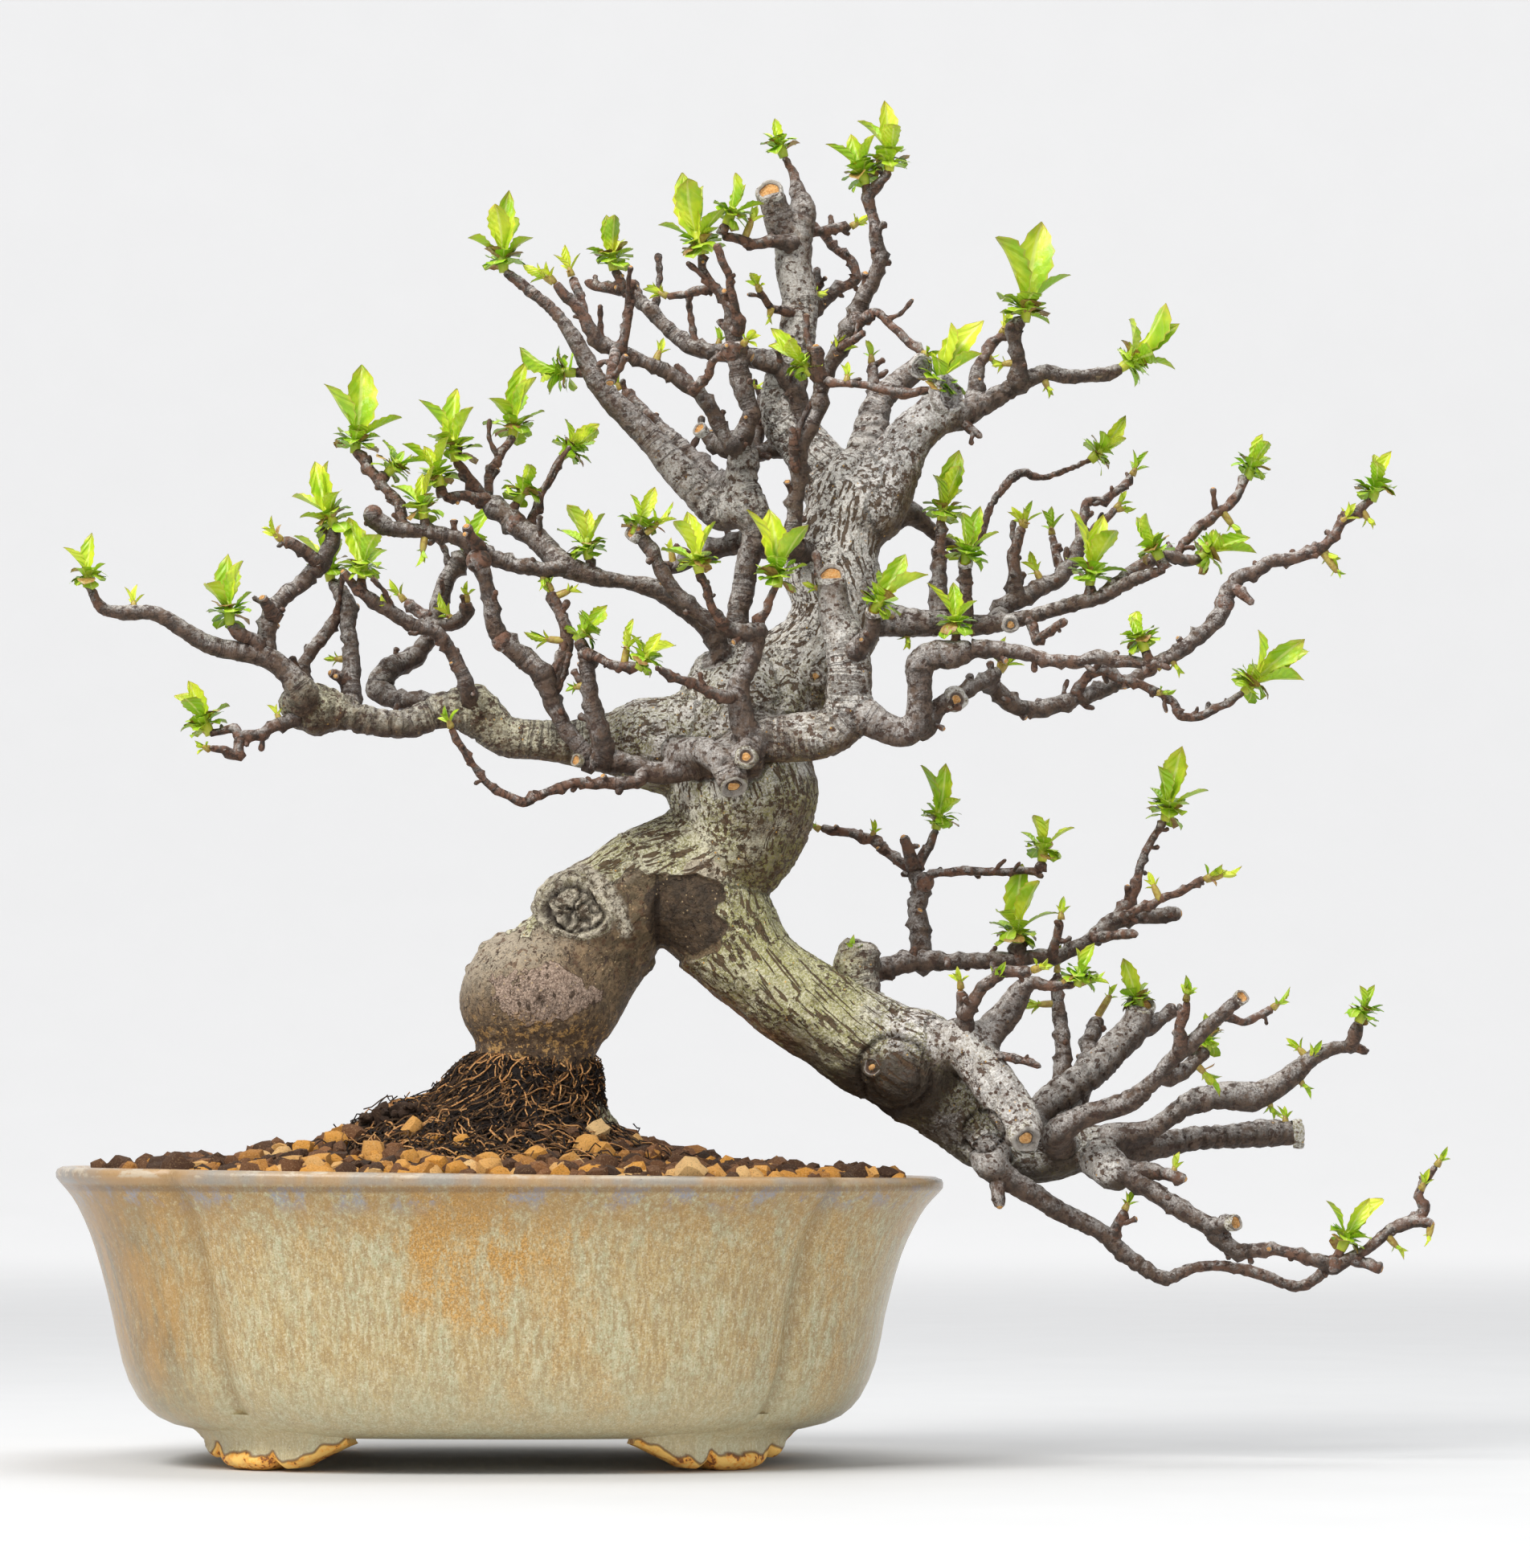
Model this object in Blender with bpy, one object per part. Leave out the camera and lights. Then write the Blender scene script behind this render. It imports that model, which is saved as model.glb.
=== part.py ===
"""A flowering quince bonsai with a cascading limb, planted in a four-lobed glazed pot.

Sizes are written in millimetres in the pot's own frame: x to the right from the middle of the pot, and z up,
with the pot's feet standing at GROUND_Z. The finished part is moved so that its origin is the bottom centre
of its box.
"""

import math
import random

import bmesh
import bpy
import numpy as np
from mathutils import Matrix, Vector

MM = 0.001
GAP = 0.3
SHOOT_GAP = 0.45

# Where the tree is looked at from. A branch's stations are given as seen in the plane y = 0, then set back.
EYE = Vector((65, -1500, 85))

# Pot, outer half length against height, from the rim down to the turned-in base
GROUND_Z = 3.2
POT_OUTER = [(109, 74), (107.5, 71), (103, 68.5), (101, 64), (99, 56), (90.5, 26), (85, 15.5), (77, 11.2)]
POT_BASE_Z = 10
POT_BASE_HALF = 72
POT_WALL = 6
POT_LIP = 2.5
POT_FLOOR_Z = 16
POT_FLOOR_HALF = 80
POT_DEPTH_RATIO = 0.78
POT_SEGMENTS = 40
PLAN_POWER = 2.6
CREASE_ANGLE = 37.9
CREASE_DEPTH = 3.6
HOLE_X = 45
HOLE_R = 9

# Feet. Each follows the pot's plan round a corner: its lower edge as (place along the plan, height).
FOOT_X = 58
FOOT_EDGE = [(-20, 12.2), (-14, 9), (-9.5, 7.4), (-7, GROUND_Z), (9, GROUND_Z), (11.5, 7.4), (18, 7.6),
             (27, 10.6)]
FOOT_TOP_Z = 14
FOOT_OUT = 3.6
FOOT_THICK = 9

# Soil. The mound's height against the distance from the neck, to the left and to the right.
SOIL_REACH = [0, 15, 20, 26, 33, 39, 47, 58, 74, 110]
SOIL_LEFT_Z = [99, 98, 94.5, 91.5, 90, 84.5, 79.5, 76.5, 74.5, 73]
SOIL_RIGHT_Z = [97, 91, 87.5, 84, 80.5, 78.5, 76.5, 75, 74, 72.8]
SOIL_DEPTH_STRETCH = 1.12
SOIL_HALF = 101
SOIL_BREAK_Z = 63
SOIL_SHARES = (0.97, 0.86, 0.74, 0.62, 0.51, 0.41, 0.32)
GRAIN = 0.9
NECK_X = 6
NECK_BASE_Z = 56
NECK_HOLE_R = 19.5
MESH_SIDE = 30
MESH_THICK = 1.2
MESH_PITCH = 5.5
MESH_CELL = 3.6

# Wood
SLACK = 1.85
TWIG_SIDES = 3
BUD_R = 1.2
SHOOT_LEANS = (0, -0.35, 0.35, -0.7, 0.7, -1.1, 1.1, -1.6, 1.6)


def clear_scene():
    """Empties the scene, whatever it held."""
    for obj in list(bpy.data.objects):
        bpy.data.objects.remove(obj, do_unlink=True)


def material(name, color, roughness, metallic=0.0):
    """A plain finish with one colour."""
    mat = bpy.data.materials.new(name)
    mat.use_nodes = True
    shader = mat.node_tree.nodes["Principled BSDF"]
    shader.inputs["Base Color"].default_value = (*color, 1)
    shader.inputs["Roughness"].default_value = roughness
    shader.inputs["Metallic"].default_value = metallic
    return mat


def add_object(name, points, faces, mat=None):
    """A mesh object from points in millimetres. Its faces are turned outwards."""
    mesh = bpy.data.meshes.new(name)
    mesh.from_pydata([Vector(p) * MM for p in points], [], faces)
    tidy = bmesh.new()
    tidy.from_mesh(mesh)
    bmesh.ops.recalc_face_normals(tidy, faces=tidy.faces)
    tidy.to_mesh(mesh)
    tidy.free()
    if mat:
        mesh.materials.append(mat)
    obj = bpy.data.objects.new(name, mesh)
    bpy.context.scene.collection.objects.link(obj)
    return obj


def boolean(obj, others, operation, solver="MANIFOLD"):
    """Joins the other objects to this one, or cuts them from it, and removes them."""
    helpers = bpy.data.collections.new("helpers")
    bpy.context.scene.collection.children.link(helpers)
    for other in others:
        bpy.context.scene.collection.objects.unlink(other)
        helpers.objects.link(other)
    cut = obj.modifiers.new("join", "BOOLEAN")
    cut.operation = operation
    cut.solver = solver
    cut.operand_type = "COLLECTION"
    cut.collection = helpers
    graph = bpy.context.evaluated_depsgraph_get()
    made = bpy.data.meshes.new_from_object(obj.evaluated_get(graph))
    obj.modifiers.clear()
    obj.data = made
    for other in others:
        bpy.data.objects.remove(other, do_unlink=True)
    bpy.data.collections.remove(helpers)


def loft(name, rings, mat=None, closed=False):
    """Joins rings of equal length. The ends are capped unless the rings close on themselves."""
    count = len(rings[0])
    points = [p for ring in rings for p in ring]
    faces = []
    last = len(rings) if closed else len(rings) - 1
    for i in range(last):
        for j in range(count):
            a, b = i * count + j, i * count + (j + 1) % count
            after = (i + 1) % len(rings) * count
            faces.append((a, b, after + (j + 1) % count, after + j))
    if not closed:
        faces.append(tuple(range(count)))
        faces.append(tuple(range(last * count, last * count + count)))
    return add_object(name, points, faces, mat)


def box(name, low, high, mat=None):
    """A plain block between two corners."""
    ring = [(low[0], low[1]), (high[0], low[1]), (high[0], high[1]), (low[0], high[1])]
    return loft(name, [[(x, y, z) for x, y in ring] for z in (low[2], high[2])], mat)


def tube_between(name, start, end, radius, sides=12):
    """A straight round bar."""
    return tube(name, [(Vector(start), radius), (Vector(end), radius)], sides)


def tube(name, stations, sides, mat=None):
    """A bar along the stations, each a point and a radius. Ring directions are smoothed where it is thick."""
    points = [p for p, _ in stations]
    normals = []
    for i in range(len(points)):
        reach = stations[i][1] * 0.8
        before, after = i, i
        while before > 0 and (points[i] - points[before]).length < reach:
            before -= 1
        while after < len(points) - 1 and (points[after] - points[i]).length < reach:
            after += 1
        before, after = max(0, min(before, i - 1)), min(len(points) - 1, max(after, i + 1))
        normals.append((points[after] - points[before]).normalized())
    for _ in range(30):
        for i in range(len(points) - 1):
            step = (points[i + 1] - points[i]).length
            if normals[i].angle(normals[i + 1]) * max(stations[i][1], stations[i + 1][1]) > 0.8 * step:
                mean = (normals[i] + normals[i + 1]).normalized()
                normals[i] = normals[i].lerp(mean, 0.4).normalized()
                normals[i + 1] = normals[i + 1].lerp(mean, 0.4).normalized()
    side = normals[0].orthogonal().normalized()
    rings = []
    for (point, radius), normal in zip(stations, normals):
        side = (side - normal * side.dot(normal)).normalized()
        up = normal.cross(side)
        turns = [2 * math.pi * k / sides for k in range(sides)]
        rings.append([point + (side * math.cos(t) + up * math.sin(t)) * radius for t in turns])
    return loft(name, rings, mat)


# Each branch is its name, what it grows from, its depths behind the plane y = 0 shared out along its length,
# and its stations as (x, z, radius).
TRUNK = [
    ("trunk", None, [0, 0], [
        (7, 58, 20), (6.5, 74, 19), (6, 90, 18), (8, 100, 16), (9, 108, 17), (10, 115, 20), (13, 122, 21),
        (20, 131, 19.5), (28, 140, 17.5), (38, 148, 16.5), (49, 152.5, 16.5), (57, 158, 16.5),
        (60, 166, 17),
        (58.5, 177, 18), (63, 187, 16), (71, 196, 13), (80, 205, 11), (84, 215, 10.5), (82, 226, 11),
        (85, 236, 9.5), (88, 245, 9)]),
    ("apex", "trunk", [2, 8], [
        (82, 246, 7), (76, 255, 6), (70.5, 262, 5.5), (70.5, 271, 5), (73, 281, 4.6), (74, 291, 4.3),
        (72.5, 300, 4.1), (73, 308, 4), (75, 315, 3.2), (73.5, 319.5, 2), (73, 323, 1.3), (70, 328.5, 1)]),
    ("apex_stub", "apex", [3], [(70, 309, 3.3), (66.8, 318.5, 3.2)]),
    ("shoulder", "trunk", [-3], [(62, 190, 15), (71, 198, 9), (86, 203, 7)]),
]

LEFT = [
    ("left_limb", "trunk", [-1, -6, -14], [
        (56, 180, 14), (45, 180.5, 11.5), (35, 181, 9.5), (24, 181, 6.2), (10, 181.5, 4.7), (0, 183, 4.7),
        (-7, 189, 5.4), (-15, 189, 4.1), (-23, 186, 3.6), (-31, 186, 3.5), (-40, 188.5, 4), (-46, 189, 5.5),
        (-51, 190, 5.2)]),
    ("left_tip", "left_limb", [-22, -30], [
        (-50, 194, 3.6), (-54, 199, 2.8), (-59, 202.5, 2.6), (-66, 204, 2.3), (-73, 205.5, 2.2),
        (-80, 209.5, 2),
        (-87, 213.5, 1.9), (-94, 213.5, 1.9), (-100, 214.5, 1.5), (-102, 218, 1.3), (-103.5, 220.5, 1.1)]),
    ("left_tip_spur", "left_tip", [-27], [(-61, 206, 1.6), (-66, 208.5, 1.5), (-68, 211, 1.3)]),
    ("left_rise", "left_tip", [-20], [
        (-59, 203, 2.4), (-58.5, 209, 2.2), (-57.5, 214, 2.2), (-54, 217.5, 2), (-50, 221, 2),
        (-46, 225, 2.2),
        (-43, 230, 2), (-42, 235, 1.8)]),
    ("left_rise_twig", "left_rise", [-26], [(-47, 227, 1.6), (-53, 231, 1.4), (-55.5, 232, 1.2)]),
    ("left_rise_stub", "left_rise", [-28], [(-57.5, 213, 1.6), (-60, 217.5, 1.4)]),
    ("left_low", "left_limb", [-26], [
        (-52, 187, 2), (-56, 185.5, 1.6), (-60, 183.5, 1.4), (-65, 182.5, 1.4), (-66, 178, 1.3),
        (-70, 179.5, 1),
        (-73, 179.5, 0.9)]),
    ("left_low_twig", "left_low", [-20], [(-65, 182, 1.1), (-67, 184.5, 0.9), (-73, 183.5, 0.9)]),
    ("left_up", "left_limb", [0], [
        (-38, 192, 2.8), (-38, 198, 2.3), (-38, 206, 1.9), (-38.5, 212, 2), (-39, 216, 2),
        (-43, 222, 1.7)]),
    ("left_up_stub", "left_up", [-10], [(-38.5, 197, 1.5), (-43.5, 198.5, 1.3)]),
    ("left_cross", "left_limb", [0], [
        (-50, 192, 2.2), (-50, 200, 1.7), (-46, 206, 1.6), (-41.5, 212, 1.6), (-36, 215.5, 1.6)]),
    ("left_sweep", "left_limb", [-16, -26], [
        (-8.5, 194, 2), (-10.5, 200, 1.7), (-13.5, 204.5, 1.6), (-17, 208.5, 1.7), (-23, 210.5, 1.8),
        (-29, 214.5, 1.8), (-33, 217, 1.7), (-37, 220.5, 1.1), (-40, 224, 1.2)]),
    ("left_back", "left_limb", [6, 22, 26], [
        (-12, 190, 2.4), (-20, 191.5, 2), (-27, 192, 2.3), (-31, 195, 3), (-28, 199.5, 2.8),
        (-21, 203.5, 2.4),
        (-17.5, 209, 2.2), (-16, 216, 2.1), (-13.5, 223, 2.3), (-9, 228.5, 2.6)]),
    ("left_back_twig", "left_back", [14], [(-17, 210, 1.5), (-13, 210.5, 1.6), (-9, 213.5, 1.7),
                                           (-9, 216.5, 1.3)]),
    ("left_back_spur", "left_back", [30], [(-17, 210.5, 1.4), (-20, 213, 1.3), (-24.5, 216.5, 1.3)]),
    ("mid_arm", "trunk", [-8, -14], [
        (55, 192, 3.4), (55.5, 198, 2.6), (54, 204, 2.6), (51.5, 209.5, 2.6), (46, 214.5, 2.6),
        (38, 219.5, 2.5),
        (30, 221.3, 1.9), (22, 222.8, 2.4), (16, 225, 2.9)]),
    ("mid_high", "mid_arm", [-4], [
        (12, 228, 2.8), (8, 232, 2.8), (3, 236, 2.8), (-1, 239, 2.8), (-5, 242, 2.2)]),
    ("mid_low", "mid_arm", [-16, -24], [
        (10, 224.5, 1.9), (4, 225, 1.9), (-1, 226.5, 2), (-5, 229, 2), (-10, 231.5, 1.9), (-15, 233, 1.8),
        (-22, 234, 1.7), (-28, 234.5, 2), (-32, 237, 2.6), (-33, 240, 2.2)]),
    ("mid_low_stub", "mid_low", [-28], [(-6, 230, 1.5), (-9.5, 235.5, 1.2)]),
    ("mid_low_top", "mid_low", [-10], [(-25, 235, 1.5), (-26, 241, 1.3), (-31, 246, 1.3), (-34, 251, 1.3),
                                       (-37, 254, 1.2)]),
    ("mid_tip_a", "mid_high", [-8], [(-5, 242, 1.4), (-9, 248, 1.2), (-12, 252, 1)]),
    ("mid_tip_b", "mid_high", [6], [(-4, 243, 1.2), (-3, 249, 1.1), (0, 254, 1), (2.5, 258, 1)]),
    ("mid_tip_c", "mid_high", [-12], [(-5, 242, 1.4), (-10, 243, 1.2), (-15, 242.5, 1.1)]),
    ("mid_tip_d", "mid_high", [4], [(6, 234, 1.3), (8, 239, 1.1), (11, 246, 1), (15, 253, 1)]),
    ("front_left", "trunk", [-18, -18], [
        (60, 180, 4), (52, 177, 3.5), (45, 174.5, 3), (38, 173.5, 2.6), (31, 176, 2.5), (26, 176.5, 3),
        (22, 177, 2.4)]),
    ("hook_riser", "front_left", [-16, -22], [
        (22, 177, 2), (17, 183, 1.9), (14.5, 187, 2), (12, 192.5, 2.3), (10, 198, 2.6), (5, 202.5, 2.6),
        (0, 206.5, 2.2), (-2, 210, 2.2), (-3, 216, 1.8), (-4.5, 222, 1.9), (-6, 226.5, 2)]),
    ("riser_a", "front_left", [-24], [
        (25, 180, 2.4), (23, 188, 2.2), (22, 193, 2), (21, 199, 1.8), (20, 204, 1.6), (18.5, 207, 1.5)]),
    ("riser_b", "hook_riser", [-14], [
        (13, 196, 1.8), (15.5, 204, 1.7), (16, 209, 1.6), (14.5, 213, 1.5), (12, 219, 1.4)]),
    ("riser_c", "riser_a", [-30], [(21, 203.5, 1.2), (27, 201, 1.1), (34, 199.8, 1.2)]),
    ("hanging_twig", "front_left", [-32], [
        (34, 171.5, 1.6), (27, 171, 1.5), (16, 170.8, 1.1), (6, 166.3, 1.1), (-2, 169.5, 1), (-7, 175, 0.9),
        (-10.5, 180.5, 0.9), (-12.8, 185, 0.9)]),
    ("front_knob", "trunk", [-24], [(58, 172, 3.4), (57.5, 170.5, 3)]),
    ("front_riser", "trunk", [-23, -26, -25], [
        (61, 177, 4), (61, 181, 3.2), (58.5, 194, 2.9), (60.6, 198.6, 2.4), (62.2, 203, 2.4),
        (63.8, 208.7, 2)]),
    ("front_arm", "front_riser", [-30], [
        (64, 209, 2.1), (58, 209, 2.1), (53, 210.5, 2), (49, 213.5, 1.9), (45, 217, 1.9), (41.5, 221, 1.8),
        (39, 225, 1.7), (37, 229, 1.7), (33, 233.5, 2)]),
    ("front_arm_twig", "front_arm", [-34], [(55, 211, 1.3), (52.5, 214.5, 1.1), (51, 219, 1),
                                            (49, 224, 1)]),
    ("front_tip", "front_riser", [-30], [(64, 212, 1.2), (66, 214.5, 1), (68.5, 220.5, 0.9)]),
    ("front_side", "front_riser", [-36], [
        (56, 192.5, 1.6), (51, 194.5, 1.3), (46, 196.5, 1.2), (42, 198, 1.1), (39, 199.5, 1)]),
]

CROWN = [
    ("up_left", "trunk", [-2, -4], [
        (62, 200, 3.4), (58.5, 211, 2.8), (60, 219, 2.8), (61, 226, 2.8), (63.5, 234, 3.4), (61, 240, 4.7),
        (59.5, 246, 4.2), (60, 252, 4), (59, 256, 3.2)]),
    ("up_left_stub", "up_left", [2], [(56, 255, 2.6), (49.5, 258.7, 1.8)]),
    ("cross_left", "trunk", [16], [
        (72, 228, 3), (64, 231.5, 3), (56, 230.5, 2.6), (50, 228, 2.2), (44, 225.5, 1.7),
        (38, 224.5, 1.4)]),
    ("up_link", "up_left", [6], [(60, 253, 2.2), (67, 254, 2), (73, 255, 1.9)]),
    ("up_riser", "up_link", [8], [(63, 254, 1.8), (63.5, 262, 1.8), (66, 269.5, 1.9)]),
    ("crown_main", "up_left", [6], [
        (54.5, 239.5, 4.6), (49.5, 243.5, 4.2), (43, 250, 3.8), (37.5, 256.5, 3.3), (32, 262, 3),
        (26.5, 267.5, 2.7),
        (22.5, 273, 2.5), (19.5, 279, 2.1), (16.5, 284, 1.8), (12.5, 289.5, 1.5), (7, 294, 1.5),
        (0, 299.5, 1.2)]),
    ("crown_back", "up_left", [28], [
        (52.5, 246, 3.2), (46, 253.5, 2.4), (41, 258, 1.9), (37, 262.5, 1.5), (29.5, 269.5, 1.2)]),
    ("crown_arch", "up_left", [-16, -24], [
        (57, 256, 2), (54, 260, 1.8), (52, 264, 1.8), (49, 268.5, 1.9), (45, 271, 1.9), (40, 274.5, 1.8),
        (34, 277, 1.7), (28, 279.5, 1.8), (24, 281.5, 2.1), (22.5, 284, 1.8), (20, 288, 1.4),
        (16, 292.5, 1.4),
        (12.5, 296.5, 1.2)]),
    ("arch_tip", "crown_arch", [-18], [(20, 289, 1.2), (19, 293, 1.1), (17, 298, 1.1)]),
    ("arch_stub_a", "crown_arch", [-26], [(29.5, 280, 1.3), (31, 285, 1.1), (32.5, 297.5, 1.1)]),
    ("arch_stub_b", "crown_arch", [-28], [(28, 279, 1.4), (26.5, 271, 1.3)]),
    ("arch_twig", "crown_arch", [-34], [(48, 270, 1.2), (51, 272.5, 1), (53, 277, 1), (60, 281, 1)]),
    ("crown_spray", "apex", [26], [
        (68, 277, 2.4), (58, 278, 2.4), (52, 279, 2), (46, 281, 2), (42, 284, 1.9), (38, 288, 1.8),
        (34, 291.5, 1.7), (30, 294, 1.4), (24, 295.5, 1.2), (20, 296.5, 1)]),
    ("spray_spur", "crown_spray", [22], [(31, 293, 1.2), (27.5, 300, 1)]),
    ("top_left", "up_left", [-10], [
        (60, 258, 2.4), (62, 264, 2.2), (60, 269, 2.4), (58.5, 275, 2.5), (58, 281, 2.3), (57, 287, 1.9),
        (55.5, 292, 1.5), (52, 296, 1.2), (50, 300, 1), (49.5, 304, 0.9)]),
    ("top_twig", "top_left", [-18], [(59, 285, 1.4), (57, 294, 1), (56, 299, 1), (53, 306, 1)]),
    ("top_left_low", "top_left", [2], [(53, 295, 1.1), (45, 293.5, 1), (41, 293, 0.9)]),
    ("top_side", "apex", [-6], [
        (72, 306.5, 1.9), (66, 306.8, 1.4), (62, 306, 1.3), (58, 307.5, 1.2), (54.5, 308.5, 1.1)]),
    ("apex_cut", "apex", [-6], [(74, 258, 2.6), (74.5, 264, 2.6), (72.5, 270, 2.4), (68, 275, 2.2),
                                (62, 277.5, 2.1)]),
    ("front_wand", "trunk", [-14, -20], [
        (72.5, 230, 2.4), (73, 240, 2), (73.5, 247, 2), (74.5, 256, 2), (78, 263, 2.2), (79.5, 270, 2),
        (80, 274, 1.8)]),
    ("wand_stub", "front_wand", [-22], [(73, 250, 1.2), (72, 260.5, 1)]),
    ("wand_side", "front_wand", [-26], [
        (82, 271.5, 1), (86, 271, 0.9), (95, 269.5, 1), (99, 268.5, 1.3), (103, 269, 1),
        (107.5, 269.5, 0.9)]),
    ("wand_cut", "front_wand", [-24], [(79, 273, 1.5), (78, 281, 1.3)]),
    ("crown_right", "front_wand", [-14, -16], [
        (80, 273, 2), (84, 279, 2.2), (87, 285, 2.7), (89.5, 291, 2.4), (91.5, 296, 1.9), (94, 301, 1.8),
        (93.5, 306, 1.8), (93, 310, 1.5), (92, 314, 1.4), (91.5, 318, 1.5), (95, 322.5, 1.2),
        (96.5, 325, 1)]),
    ("crown_right_stub", "crown_right", [-22], [(84.5, 280, 1), (90.5, 284.3, 0.9)]),
    ("crown_link", "apex", [20], [
        (71, 278, 2.4), (75, 286, 2.3), (79, 291.5, 2.2), (84, 294.5, 1.4), (88, 297.5, 1.2),
        (87, 302, 1.1),
        (82, 306, 1.1), (79, 310, 1.2)]),
    ("link_stub", "crown_link", [18], [(78, 291, 1.2), (78.5, 300, 0.9)]),
    ("crown_fall", "crown_right", [-26], [
        (89, 287, 1.6), (93, 289, 1.1), (96, 286.5, 1), (101, 282, 1.1), (105, 278.5, 0.9)]),
    ("apex_side", "apex", [12], [(75, 309, 1.4), (87, 310.5, 1)]),
    ("apex_spur", "apex", [-6], [(72, 289, 1.4), (67, 290, 1), (64, 294.5, 0.9)]),
]

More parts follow.
